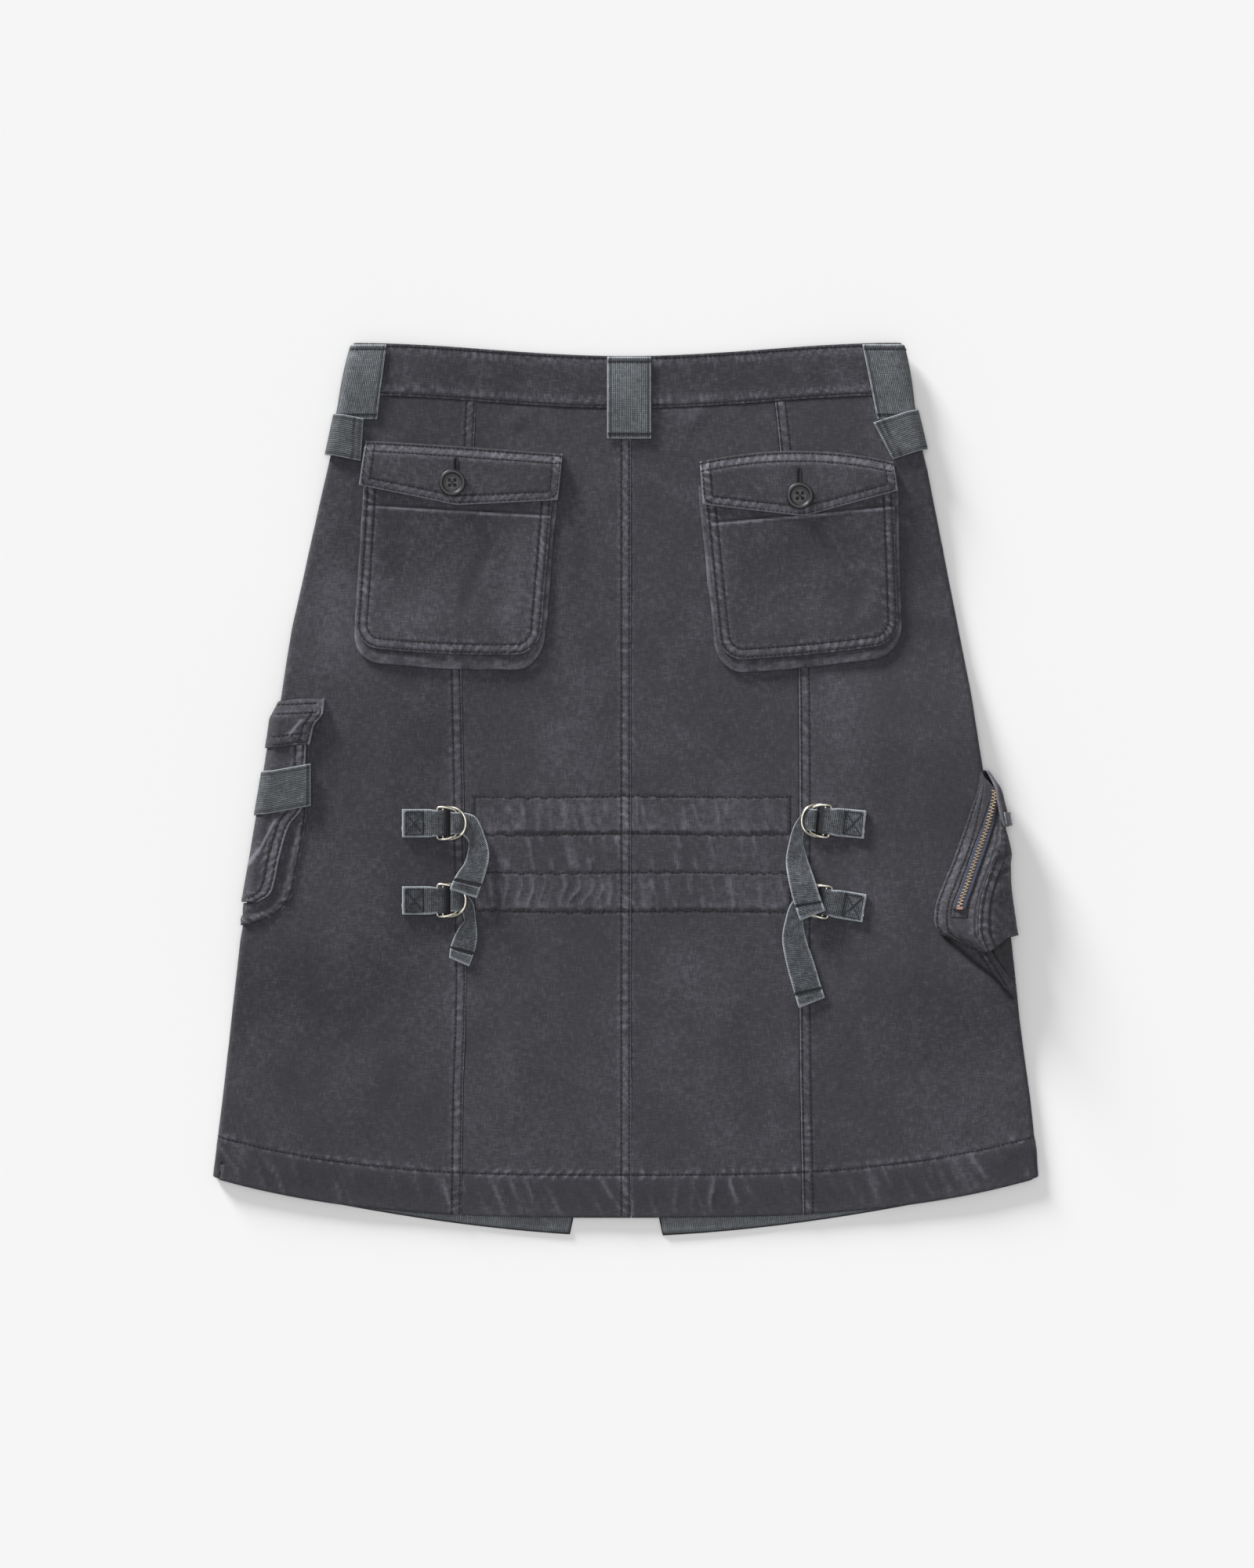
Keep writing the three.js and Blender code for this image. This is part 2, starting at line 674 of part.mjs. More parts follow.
function pocketFlap(pocket) {
  const { flap } = pocket;
  const place = (s, t, top) => {
    const high = mix(flap.topLeft, flap.topRight, s) + flap.bow * 4 * s * (1 - s);
    const low = s < flap.apex
      ? mix(flap.bottomLeft, flap.bottomApex, s / flap.apex)
      : mix(flap.bottomApex, flap.bottomRight, (s - flap.apex) / (1 - flap.apex));
    const x = mix(mix(flap.left, flap.lowLeft, t), mix(flap.right, flap.lowRight, t), s);
    const y = mix(high, low, t);
    const lift = 0.5 + 4.3 * smooth((high - y) / 10.5);
    return onBack(x, y, top ? lift + 1.6 : lift);
  };
  const columns = [0, 0.09, 0.19, 0.29, 0.39, flap.apex, 0.6, 0.7, 0.8, 0.9, 1];
  laid(`${pocket.name}_flap`, [0, 0.13, 0.24, 0.36, 0.6, 0.85, 1], columns, place, FINISHES.pocket,
    columns.filter((unused, i) => i % 2 === 0));
}

function toManifold(geometry) {
  const mesh = new wasm.Mesh({
    numProp: 3,
    vertProperties: new Float32Array(geometry.attributes.position.array),
    triVerts: new Uint32Array(geometry.index.array),
  });
  mesh.merge();
  return new wasm.Manifold(mesh);
}

function fromManifold(manifold) {
  const mesh = manifold.getMesh();
  const geometry = new THREE.BufferGeometry();
  geometry.setAttribute("position", new THREE.Float32BufferAttribute(mesh.vertProperties, 3));
  geometry.setIndex([...mesh.triVerts]);
  return geometry;
}

// A turned solid standing at a place; its profile goes from the axis at the bottom to the top.
function turned(profile, count, x, y, z) {
  const outline = profile.map(([radius, height]) => new THREE.Vector2(radius, height));
  const geometry = new THREE.LatheGeometry(outline, count);
  geometry.rotateX(Math.PI / 2);
  geometry.translate(x, y, z);
  return toManifold(geometry);
}

function pocketButton(pocket) {
  const { x, y } = pocket.button;
  const rim = [[-9, 0], [9, 0], [0, -9], [0, 9]].map(([dx, dy]) => onBack(x + dx, y + dy, 6.4).z);
  const base = Math.max(...rim) + SEAM_GAP;
  const profile = [[0, 0], [BUTTON_RADIUS - 1.6, 0], [BUTTON_RADIUS, 1.2], [BUTTON_RADIUS, 2.4],
    [BUTTON_RADIUS - 0.9, BUTTON_HEIGHT], [BUTTON_RADIUS - 2.2, 2.9], [BUTTON_RADIUS - 3.2, 2.1],
    [0, 2.1]];
  const hole = [[0, -1], [BUTTON_HOLE, -1], [BUTTON_HOLE, 4], [0, 4]];
  let button = turned(profile, 20, x, y, base);
  for (const [dx, dy] of [[-1, -1], [1, -1], [1, 1], [-1, 1]]) {
    button = button.subtract(turned(hole, 6, x + dx * 1.9, y + dy * 1.9, base));
  }
  add(`${pocket.name}_button`, fromManifold(button), FINISHES.button);
}

// Belt loops and hip tabs of webbing
function beltLoopCentre() {
  const place = (s, t, top) => {
    const arch = 0.95 + SEAM_RISE + 1.1 * Math.sin(Math.PI * t);
    return onBack(mix(-12.5, 17, s), mix(290.2, 235.3, t), arch + (top ? WEBBING : 0));
  };
  laid("belt_loop_centre", steps(8), [0, 0.5, 1], place, FINISHES.webbing);
}

const SIDE_LOOPS = [
  { side: -1, topGirth: 160.5, topY: 298, bottomGirth: 166.8, bottomY: 248 },
  { side: 1, topGirth: 158.6, topY: 298, bottomGirth: 168.5, bottomY: 248 },
];

function beltLoopSide(loop) {
  const place = (s, t, top) => {
    const y = mix(loop.topY, loop.bottomY, t);
    const end = edge(loop.side, y) - FOLD_RADIUS + 1.9 * FOLD_RADIUS;
    const girth = mix(mix(loop.topGirth, loop.bottomGirth, t), end, s);
    const lift = 0.95 + 0.9 * Math.sin(Math.PI * Math.min(1, t / 0.8));
    return onBody(loop.side, girth, y, lift + (top ? WEBBING : 0));
  };
  laid(`belt_loop_${sideName(loop.side)}`, steps(6), [0, 0.4, 0.75, 0.8, 0.85, 0.9, 0.95, 1], place,
    FINISHES.webbing);
}

const HIP_TABS = [
  { side: -1, topGirth: 175.6, topY: 248.2, lowGirth: 177.6, lowY: 219.7, slope: 0.2 },
  { side: 1, topGirth: 165.8, topY: 245.5, lowGirth: 178.7, lowY: 220.8, slope: 0.33 },
];

function hipTab(tab) {
  const turn = (Math.PI * FOLD_RADIUS) / 6;
  const place = (s, column, top) => {
    const inner = { girth: mix(tab.topGirth, tab.lowGirth, s), y: mix(tab.topY, tab.lowY, s) };
    const flat = edge(tab.side, inner.y + 4) - FOLD_RADIUS;
    const along = column.share !== undefined
      ? (flat - inner.girth) * column.share
      : flat - inner.girth + column.turn * turn + (column.front ?? 0);
    const rise = Math.min(along, 40) * tab.slope;
    return onBody(tab.side, inner.girth + along, inner.y + rise, 2.7 + (top ? WEBBING : 0));
  };
  const columns = [{ share: 0 }, { share: 0.5 }, ...[0, 1, 2, 3, 4, 5, 6].map((step) => ({ turn: step })),
    { turn: 6, front: 12 }, { turn: 6, front: 36 }];
  const outer = columns.map((column) => [0, 0.5, 1].map((s) => place(s, column, true)));
  const inner = columns.map((column) => [0, 0.5, 1].map((s) => place(s, column, false)));
  add(`hip_tab_${sideName(tab.side)}`, wall(outer, inner), FINISHES.webbing);
}

// Buckles: a folded webbing patch, two wire rings and the strap threaded through them.
// Along runs from the folded end of the patch to the middle of the skirt.
const BUCKLES = [
  {
    name: "ul", side: -1, x: -118, y: -22.9, tilt: 0,
    tail: [
      { outX: -100.8, outY: -18.6, inX: -105.6, inY: -35.6, lift: 2.9 },
      { outX: -95.2, outY: -29.7, inX: -106.2, inY: -42.5, lift: 3.0 },
      { outX: -91.6, outY: -43.4, inX: -108.2, inY: -49.6, lift: 3.8 },
      { outX: -94.0, outY: -56.6, inX: -112.4, inY: -55.6, lift: 6.2 },
      { outX: -97.1, outY: -65.6, inX: -115.6, inY: -61.0, lift: 7.6 },
      { outX: -99.9, outY: -73.2, inX: -118.0, inY: -67.0, lift: 7.7 },
    ],
  },
  {
    name: "ll", side: -1, x: -118, y: -74.7, tilt: 0,
    tail: [
      { outX: -102.6, outY: -76.0, inX: -108.6, inY: -88.6, lift: 2.9 },
      { outX: -100.8, outY: -87.0, inX: -111.0, inY: -91.6, lift: 2.6 },
      { outX: -99.7, outY: -98.2, inX: -114.2, inY: -96.8, lift: 2.0 },
      { outX: -100.9, outY: -106.6, inX: -116.8, inY: -102.9, lift: 1.7 },
      { outX: -102.6, outY: -112.2, inX: -118.0, inY: -107.6, lift: 1.7 },
      { outX: -105.2, outY: -119.2, inX: -118.6, inY: -113.4, lift: 1.7 },
    ],
  },
  {
    name: "ur", side: 1, x: 128.4, y: -21.0, tilt: -5,
    tail: [
      { outX: 113.2, outY: -23.9, inX: 118.9, inY: -35.4, lift: 2.9 },
      { outX: 109.4, outY: -36.1, inX: 120.9, inY: -43.4, lift: 3.0 },
      { outX: 107.4, outY: -48.7, inX: 123.9, inY: -52.6, lift: 3.6 },
      { outX: 109.2, outY: -62.4, inX: 127.3, inY: -62.9, lift: 7.3 },
      { outX: 112.4, outY: -75.5, inX: 130.6, inY: -73.4, lift: 8.1 },
      { outX: 116.6, outY: -88.2, inX: 133.7, inY: -81.3, lift: 8.1 },
    ],
  },
  {
    name: "lr", side: 1, x: 128.4, y: -74.9, tilt: -9,
    tail: [
      { outX: 111.0, outY: -76.6, inX: 118.9, inY: -89.2, lift: 2.9 },
      { outX: 107.1, outY: -87.6, inX: 119.8, inY: -95.0, lift: 2.6 },
      { outX: 105.0, outY: -100.8, inX: 122.1, inY: -104.0, lift: 2.0 },
      { outX: 107.6, outY: -116.6, inX: 126.3, inY: -115.9, lift: 1.7 },
      { outX: 111.8, outY: -132.4, inX: 130.3, inY: -129.3, lift: 1.7 },
      { outX: 116.1, outY: -147.0, inX: 133.7, inY: -139.9, lift: 1.7 },
    ],
  },
];

// Heights of the two rings along their length, from the bar to the bow.
const RING_HEIGHTS = [
  { along: 0, rear: 2.65, front: 2.65 },
  { along: 0.8, rear: 3.0, front: 2.15 },
  { along: 2.4, rear: 3.75, front: 1.95 },
  { along: 4.6, rear: 4.35, front: 1.95 },
  { along: 6.6, rear: 4.4, front: 2.3 },
  { along: 9.5, rear: 4.1, front: 3.7 },
  { along: 12.5, rear: 3.2, front: 5.2 },
  { along: 15.5, rear: 3.1, front: 5.5 },
];

// The threaded part of the strap: distance along, height, half width, and how far it bows with the rings.
const THREADING = [
  { along: 15, lift: 1.25, half: 9.0, bow: 0 },
  { along: 9, lift: 1.25, half: 8.4, bow: 0 },
  { along: 3.2, lift: 1.25, half: 8.0, bow: 0 },
  { along: 1.5, lift: 1.45, half: 7.8, bow: 0 },
  { along: 0.98, lift: 2.4, half: 7.6, bow: 0 },
  { along: 0.98, lift: 3.8, half: 7.6, bow: 0 },
  { along: 1.9, lift: 5.2, half: 7.6, bow: 0.25 },
  { along: 4.2, lift: 5.55, half: 7.3, bow: 0.7 },
  { along: 6.8, lift: 5.3, half: 7.2, bow: 1 },
  { along: 8.8, lift: 4.1, half: 7.2, bow: 1 },
  { along: 10.6, lift: 2.95, half: 7.4, bow: 1 },
];

function ringBow(across) {
  const share = Math.min(0.98, Math.abs(across) / RING_HALF_WIDTH);
  return RING_LENGTH * (1 - Math.pow(1 - share * share, 1 / RING_SQUARENESS));
}

function buckle(unit) {
  const turn = (unit.tilt * Math.PI) / 180;
  const place = (along, across, lift) => {
    const dx = -unit.side * along;
    const x = unit.x + dx * Math.cos(turn) - across * Math.sin(turn);
    const y = unit.y + dx * Math.sin(turn) + across * Math.cos(turn);
    return onBack(x, y, lift);
  };
  const name = `buckle_${unit.name}`;

  const section = [[-PATCH_LENGTH, 0.3], [-24, 0.3], [-13, 0.3], [-2.5, 0.3], [-0.7, 1.0], [0, 2.65],
    [-0.7, 4.3], [-2.5, 5.0], [-12.5, 5.0], [-20, 3.0], [-PATCH_LENGTH, 3.0], [-PATCH_LENGTH, 1.8],
    [-20, 1.8], [-13, 3.85], [-3.3, 3.85], [-2.3, 3.4], [-1.9, 2.65], [-2.3, 1.9], [-3.3, 1.5],
    [-20, 1.5], [-PATCH_LENGTH, 1.5]];
  const widthAt = (u) => PATCH_WIDTH - PATCH_NARROWING * smooth((u + 14) / 5);
  const rings = [-0.5, 0.5].map((half) => section.map(([u, lift]) => place(u, half * widthAt(u), lift)));
  add(`${name}_patch`, sweep(rings, false, capOf(section)), FINISHES.strap);

  for (const [kind, bar] of [["rear", -8.6], ["front", -4.9]]) {
    const outline = [[0, -4.5], [0, 0], [0, 4.5], [0, 8.8], [0.4, 10.2], [1.6, RING_HALF_WIDTH - 0.1]];
    for (const share of [0.24, 0.46, 0.64, 0.79, 0.9, 0.97]) {
      const half = RING_HALF_WIDTH * Math.sqrt(1 - Math.pow(share, RING_SQUARENESS));
      outline.push([RING_LENGTH * share, half]);
    }
    outline.push([RING_LENGTH, 0]);
    const mirrored = outline.slice(3, -1).reverse().map(([u, v]) => [u, -v]);
    const centre = [...outline, ...mirrored].map(([u, v]) => place(
      bar + u, v, read(RING_HEIGHTS, "along", u, kind),
    ));
    const wire = centre.map((point, i) => {
      const before = centre[(i + centre.length - 1) % centre.length];
      const after = centre[(i + 1) % centre.length];
      const forward = after.clone().sub(before).normalize();
      const beside = new THREE.Vector3().crossVectors(forward, new THREE.Vector3(0, 0, 1)).normalize();
      const above = new THREE.Vector3().crossVectors(beside, forward);
      return Array.from({ length: 6 }, (unused, k) => point.clone()
        .addScaledVector(beside, WIRE_RADIUS * Math.cos((k * Math.PI) / 3))
        .addScaledVector(above, WIRE_RADIUS * Math.sin((k * Math.PI) / 3)));
    });
    add(`${name}_ring_${kind}`, sweep(wire, true), FINISHES.nickel);
  }

  const across = [-1, -0.5, 0, 0.5, 1];
  const threaded = THREADING.map((row) => across.map((share) => {
    const v = share * row.half;
    return place(row.along - row.bow * ringBow(v), v, row.lift);
  }));
  const tail = unit.tail.map((row) => across.map((share) => {
    const t = (share + 1) / 2;
    return onBack(mix(row.inX, row.outX, t), mix(row.inY, row.outY, t), row.lift);
  }));
  const middle = [...threaded, ...tail];
  const last = middle.length - 1;
  const half = (i) => (i > last - 2 ? 1.0 : WEBBING / 2 - 0.05);
  const outer = offsetGrid(middle, (i) => half(i));
  const inner = offsetGrid(middle, (i) => -half(i));
  add(`${name}_strap`, wall(outer, inner), FINISHES.strap);
}

// Left cargo pocket, from the back over the side fold to the front
const CARGO_LEFT = [
  { girth: 212.0, y: 30, edge: 213.8, edgeY: 30 },
  { girth: 212.6, y: 10, edge: 214.6, edgeY: 10 },
  { girth: 213.6, y: -13, edge: 217.0, edgeY: -13 },
  { girth: 216.0, y: -34, edge: 226.5, edgeY: -27 },
  { girth: 219.7, y: -53.4, edge: 232.4, edgeY: -47 },
  { girth: 223.0, y: -69, edge: 237.6, edgeY: -66 },
  { girth: 229.0, y: -79.5, edge: 245.0, edgeY: -73 },
  { girth: 240.5, y: -87.0, edge: 246.5, edgeY: -77 },
  { girth: 251.0, y: -90.6, edge: 249.6, edgeY: -79 },
];
const FRONT_REACH = 60;

function aroundSide(side, start, y, column) {
  const flat = edge(side, y) - FOLD_RADIUS;
  if (column.share !== undefined) {
    return mix(Math.min(start, flat), flat, column.share);
  }
  return Math.max(start, flat) + (roundEnd(side, y) - Math.max(start, flat)) * column.turn
    + (column.front ?? 0);
}

const AROUND = [{ share: 0 }, { share: 0.5 }, ...steps(5).map((turn) => ({ turn })),
  { turn: 1, front: 20 }, { turn: 1, front: FRONT_REACH }];

function cargoLeft() {
  const faceRows = [
    { y: 47, start: 213.6 }, { y: 25, start: 214.0 }, { y: 0, start: 215.6 }, { y: -13.4, start: 217.0 },
    { y: -25, start: 225.5 }, { y: -47, start: 232.0 }, { y: -60, start: 234.6 }, { y: -70, start: 238.0 },
    { y: -75.6, start: 246.5 },
  ];
  const face = (row, column, lift) => onBody(-1, aroundSide(-1, row.start, row.y, column), row.y, lift);
  add("cargo_left_face", wall(
    faceRows.map((row) => AROUND.map((column) => face(row, column, 4.1))),
    faceRows.map((row) => AROUND.map((column) => face(row, column, 4.1 - CANVAS))),
  ), FINISHES.pocket);

  const profile = [{ s: 0, lift: 1.3 }, { s: 0.3, lift: 2.5 }, { s: 0.55, lift: 1.5 },
    { s: 0.8, lift: 2.1 }, { s: 1.12, lift: 2.35 }];
  const gusset = (row, { s, lift }, top) => {
    const y = mix(row.y, row.edgeY, s);
    return onBody(-1, mix(row.girth, row.edge + 1.5, s), y, top ? lift : lift - CLOTH);
  };
  add("cargo_left_gusset", wall(
    CARGO_LEFT.map((row) => profile.map((at) => gusset(row, at, true))),
    CARGO_LEFT.map((row) => profile.map((at) => gusset(row, at, false))),
  ), FINISHES.pocket);

  const flapRows = [
    { y: 60.5, start: 201.8, lift: 1.7 },
    { y: 55, start: 202.0, lift: 3.6 },
    { y: 49.5, start: 203.2, lift: 5.7 },
    { y: 43, start: 208.2, lift: 5.7 },
    { y: 36, start: 210.0, lift: 5.7 },
    { y: 29.6, start: 211.4, lift: 5.7 },
  ];
  const flap = (row, column, lift) => {
    const girth = aroundSide(-1, row.start, row.y, column);
    return onBody(-1, girth, row.y - 2.2 * smooth((girth - 215) / 25), lift);
  };
  add("cargo_left_flap", wall(
    flapRows.map((row) => AROUND.map((column) => flap(row, column, row.lift))),
    flapRows.map((row) => AROUND.map((column) => flap(row, column, row.lift - 1.3))),
  ), FINISHES.pocket);

  const strapColumns = [210.8, 214, 222, 231];
  const strapY = (girth, t) => mix(17.1, -11.3, t) - 0.18 * Math.min(40, girth - 210.8);
  const strap = (column, t, top) => {
    const past = column.turn * Math.PI * FOLD_RADIUS + (column.front ?? 0);
    const guess = column.girth ?? edge(-1, 0) + past;
    const flat = edge(-1, strapY(guess, t)) - FOLD_RADIUS;
    const girth = column.girth ?? flat + past;
    const lift = 3.3 + 1.1 * smooth((girth - 210.8) / 2.8);
    return onBody(-1, girth, strapY(girth, t), top ? lift + WEBBING : lift);
  };
  const columns = [...strapColumns.map((girth) => ({ girth })), ...AROUND.slice(2)];
  add("cargo_left_strap", wall(
    columns.map((column) => [0, 0.5, 1].map((t) => strap(column, t, true))),
    columns.map((column) => [0, 0.5, 1].map((t) => strap(column, t, false))),
  ), FINISHES.webbing);
}

// Right cargo pocket: its standing side runs from the seam on the back up to the pocket's edge.
const CARGO_RIGHT = [
  { baseGirth: 237.6, baseY: 12.0, girth: 239.0, y: 8, lift: 3.0, zip: 0.95 },
  { baseGirth: 236.0, baseY: 0, girth: 241.2, y: -0.9, lift: 8.0, zip: 0.8 },
  { baseGirth: 231.5, baseY: -13, girth: 243.6, y: -13, lift: 8.5, zip: 0.7 },
  { baseGirth: 227.6, baseY: -24.4, girth: 246.0, y: -24.4, lift: 9.0, zip: 0.6 },
  { baseGirth: 223.5, baseY: -36, girth: 246.8, y: -36, lift: 10.0, zip: 0.56 },
  { baseGirth: 218.5, baseY: -49.5, girth: 244.5, y: -50, lift: 11.0, zip: 0.57 },
  { baseGirth: 212.0, baseY: -65, girth: 239.3, y: -65, lift: 11.6, zip: 0.58, rise: 0.5 },
  { baseGirth: 207.3, baseY: -79, girth: 236.0, y: -79, lift: 11.6, zip: 0.54, rise: 1.5 },
  { baseGirth: 208.5, baseY: -94, girth: 235.5, y: -95.8, lift: 11.6, zip: 0.54, rise: 3 },
  { baseGirth: 226.0, baseY: -104, girth: 238.3, y: -104, lift: 11.2, zip: 0.5, rise: 7 },
  { baseGirth: 240.3, baseY: -109.4, girth: 240.3, y: -108.6, lift: 10.6, zip: 0.5, rise: 11 },
];

function onGusset(s, t) {
  const row = Math.min(CARGO_RIGHT.length - 2, Math.floor(t));
  const share = t - row;
  const at = (column) => mix(CARGO_RIGHT[row][column], CARGO_RIGHT[row + 1][column], share);
  const base = onBody(1, at("baseGirth"), at("baseY"), 0.3 + CLOTH);
  const top = onBody(1, at("girth"), at("y"), at("lift"));
  return base.lerp(top, s).add(new THREE.Vector3(0, 0, 1.2 * Math.sin(Math.PI * s)));
}

function cargoRight() {
  const shares = [0, 0.25, 0.5, 0.75, 1];
  const outer = CARGO_RIGHT.map((unused, t) => shares.map((s) => onGusset(s, t)));
  const inwards = CARGO_RIGHT.map(() => new THREE.Vector3(0, 0, -CLOTH));
  inwards[inwards.length - 1].set(0, 1.1, -0.2);
  const inner = CARGO_RIGHT.map((unused, t) => shares.map((s) => onGusset(s, t).add(inwards[t])));
  add("cargo_right_gusset", wall(outer, inner), FINISHES.pocket);

  const zipTable = CARGO_RIGHT.map((row, at) => ({ at, zip: row.zip }));
  const zipRow = (t) => read(zipTable, "at", t, "zip");
  const zipSteps = [1.0, 1.6, 2.3, 3, 3.7, 4.4, 5.2, 6, 6.6, 7.1];
  const zipGrid = zipSteps.map((t) => [-0.15, -0.05, 0.05, 0.15].map((s) => onGusset(zipRow(t) + s, t)));
  add("zip_tape", wall(offsetGrid(zipGrid, -1.1), offsetGrid(zipGrid, -0.35)), FINISHES.zipTape);

  const stopAt = (lift) => [6.96, 7.08].map((t) => [-0.07, 0.07].map((s) => {
    const point = onGusset(zipRow(t) + s, t);
    return point.add(new THREE.Vector3(0, 0, lift));
  }));
  add("zip_stop", wall(stopAt(2.7), stopAt(1.55)), FINISHES.copper);

  const faceRows = CARGO_RIGHT.slice(3);
  faceRows[0] = { ...faceRows[0], y: -29, girth: 246.4, lift: 9.5 };
  const face = (row, column, top) => {
    const flat = edge(1, row.y) - FOLD_RADIUS;
    const past = row.girth > flat ? 0.9 : 0;
    const girth = column.share !== undefined && past > 0
      ? row.girth + column.share * past
      : aroundSide(1, row.girth + past, row.y, column);
    const gone = smooth((girth - row.girth) / (roundEnd(1, row.y) - row.girth));
    const y = row.y + (row.rise ?? 0) * smooth((girth - row.girth) / 20);
    const lift = mix(row.lift + SEAM_GAP, 2.9, gone);
    return onBody(1, girth, y, top ? lift + CANVAS : lift);
  };
  const around = [{ share: 0 }, { share: 0.5 }, ...steps(5).map((turn) => ({ turn })),
    { turn: 1, front: 20 }, { turn: 1, front: FRONT_REACH - 4 }];
  add("cargo_right_face", wall(
    faceRows.map((row) => around.map((column) => face(row, column, true))),
    faceRows.map((row) => around.map((column) => face(row, column, false))),
  ), FINISHES.pocket);

  const flapRows = [
    { y: 12.5, lift: 3.6, start: 0.9 },
    { y: 7, lift: 6.6, start: 0.8 },
    { y: 0, lift: 10.0, start: 0.7 },
    { y: -9, lift: 10.9, start: 0.62 },
    { y: -18, lift: 11.4, start: 0.62 },
    { y: -25, lift: 11.2, start: 0.72 },
  ];
  const flapColumns = [...steps(6).map((turn) => ({ turn })), { turn: 1, front: 14 },
    { turn: 1, front: FRONT_REACH }];
  const flap = (row, column, top) => {
    const flat = edge(1, row.y) - FOLD_RADIUS;
    const turn = mix(row.start, Math.PI, column.turn);
    const girth = flat + turn * FOLD_RADIUS + (column.front ?? 0);
    const lift = mix(row.lift, 4.6, smooth((turn - 1.2) / (Math.PI - 1.2)));
    return onBody(1, girth, row.y, top ? lift : lift - 1.3);
  };
  add("cargo_right_flap", wall(
    flapRows.map((row) => flapColumns.map((column) => flap(row, column, true))),
    flapRows.map((row) => flapColumns.map((column) => flap(row, column, false))),
  ), FINISHES.pocket);
}

function flapTab() {
  const place = (turn, y, top) => {
    const girth = edge(1, y) - FOLD_RADIUS + turn * FOLD_RADIUS;
    return onBody(1, girth, y, top ? 13.0 : 11.8);
  };
  laid("cargo_right_flap_tab", [-15.5, -20, -24.5], [0.8, 1.05, 1.3, 1.55], place, FINISHES.webbing);
}

for (const side of [-1, 1]) {
  backSide(side);
  backCentre(side);
  frontPanel(side);
  waistbandFront(side);
  hemTape(side);
}
waistbandBack();
for (const pocket of POCKETS) {
  pocketGusset(pocket);
  pocketFace(pocket);
  pocketFlap(pocket);
  pocketButton(pocket);
}
beltLoopCentre();
SIDE_LOOPS.forEach(beltLoopSide);
HIP_TABS.forEach(hipTab);
BUCKLES.forEach(buckle);
cargoLeft();
cargoRight();
flapTab();

export default skirt;
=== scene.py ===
"""Cargo utility skirt laid flat with its back up: cloth, webbing, trims, sewing, light and camera.

Sizes are in millimetres until a mesh is made, but for those said to be in metres. Side -1 is the
wearer's left, at -X, and side 1 the wearer's right. Girth runs from the middle of the back, over the side
fold, to the front underneath.
"""

import logging
import math
from dataclasses import dataclass, field
from enum import Enum
from functools import partial
from typing import Callable, Sequence

import bpy
import numpy as np
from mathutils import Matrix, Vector
from mathutils.bvhtree import BVHTree


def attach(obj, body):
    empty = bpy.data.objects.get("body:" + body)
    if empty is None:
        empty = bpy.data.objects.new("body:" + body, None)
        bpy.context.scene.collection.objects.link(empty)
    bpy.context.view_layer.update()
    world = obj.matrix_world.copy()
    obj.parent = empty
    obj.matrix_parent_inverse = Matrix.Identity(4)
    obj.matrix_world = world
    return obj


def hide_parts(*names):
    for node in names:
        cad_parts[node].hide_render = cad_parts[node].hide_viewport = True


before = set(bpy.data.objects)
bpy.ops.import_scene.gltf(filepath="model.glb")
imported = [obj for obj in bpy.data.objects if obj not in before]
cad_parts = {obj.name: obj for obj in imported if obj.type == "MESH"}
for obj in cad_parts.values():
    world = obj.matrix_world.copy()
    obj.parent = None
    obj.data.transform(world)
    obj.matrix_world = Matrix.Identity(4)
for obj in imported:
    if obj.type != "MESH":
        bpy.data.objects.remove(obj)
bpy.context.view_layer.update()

log = logging.getLogger("skirt")

Array = np.ndarray
Thing = bpy.types.Object
Socket = bpy.types.NodeSocket
Edge = Callable[[Array], Array]
Place = Callable[[Array, Array, float], Array]

METRE = 0.001

# Walls
CLOTH = 1.0
CANVAS = 1.2
WEBBING = 1.3
CARGO_FLAP = 1.3
POCKET_FLAP = 1.6

# The folded body: radius of its side folds, where the side seam lies round them in radians, height of the
# back's outer face in the middle, and how far a raised part runs out
FOLD_RADIUS = 2.9
SEAM_TURN = 2.36
LOFT = 4.4
RAMP = 80.0

# Waist and hem: heights in the middle and at the sides, and the half widths that they run over
BACK_WAIST, FRONT_WAIST, SIDE_WAIST = 290.8, 283.0, 299.2
HALF_WAIST = 185.0
BACK_HEM, BACK_HEM_RISE = -288.0, 27.0
FRONT_HEM, FRONT_HEM_RISE = -300.8, 40.0
HALF_HEM = 277.6
BAND_DEPTH = 35.0
BAND_GAP = 0.3
HEM_DEPTH = 29.0

# Nominal rows of the panels: the first, the last, and how far these bend the rows between them
TOP_ROW, LAST_ROW = 264.0, -288.0
ROW_BEND = 120.0

# Seams in the middle, and the place across where the princess seams' heights are read
CENTRE_BACK = 3.8
CENTRE_FRONT = -6.5
PRINCESS_AT = 105.0

# Gathers of the back: their pitch, their ends across, and the top and bottom of the two casings
PUCKER_PITCH = 8.7
GATHERED = (-103.0, 111.0)
CASINGS = ((-4.0, -31.0), (-55.0, -83.0))

# Half widths of the folded body: height, left, right
OUTLINE = np.array([
    (299.2, 182.4, 184.6), (256.1, 191.4, 192.0), (213.9, 200.4, 202.4), (161.3, 212.4, 212.9),
    (108.7, 223.9, 223.4), (66.6, 230.3, 231.3), (13.9, 238.6, 239.7), (-49.2, 249.2, 250.8),
    (-101.8, 258.7, 258.7), (-154.5, 265.0, 264.5), (-207.1, 270.8, 271.8), (-262.0, 277.6, 277.6),
])

# Seams between the side and centre panels of the back: height, left, right
PRINCESS = np.array([
    (265, 100.0, 99.5), (232, 101.8, 103.2), (82, 110.3, 116.0), (14, 108.9, 116.6),
    (-140, 106.8, 116.6), (-200, 109.2, 117.2), (-288, 110.3, 118.8),
])

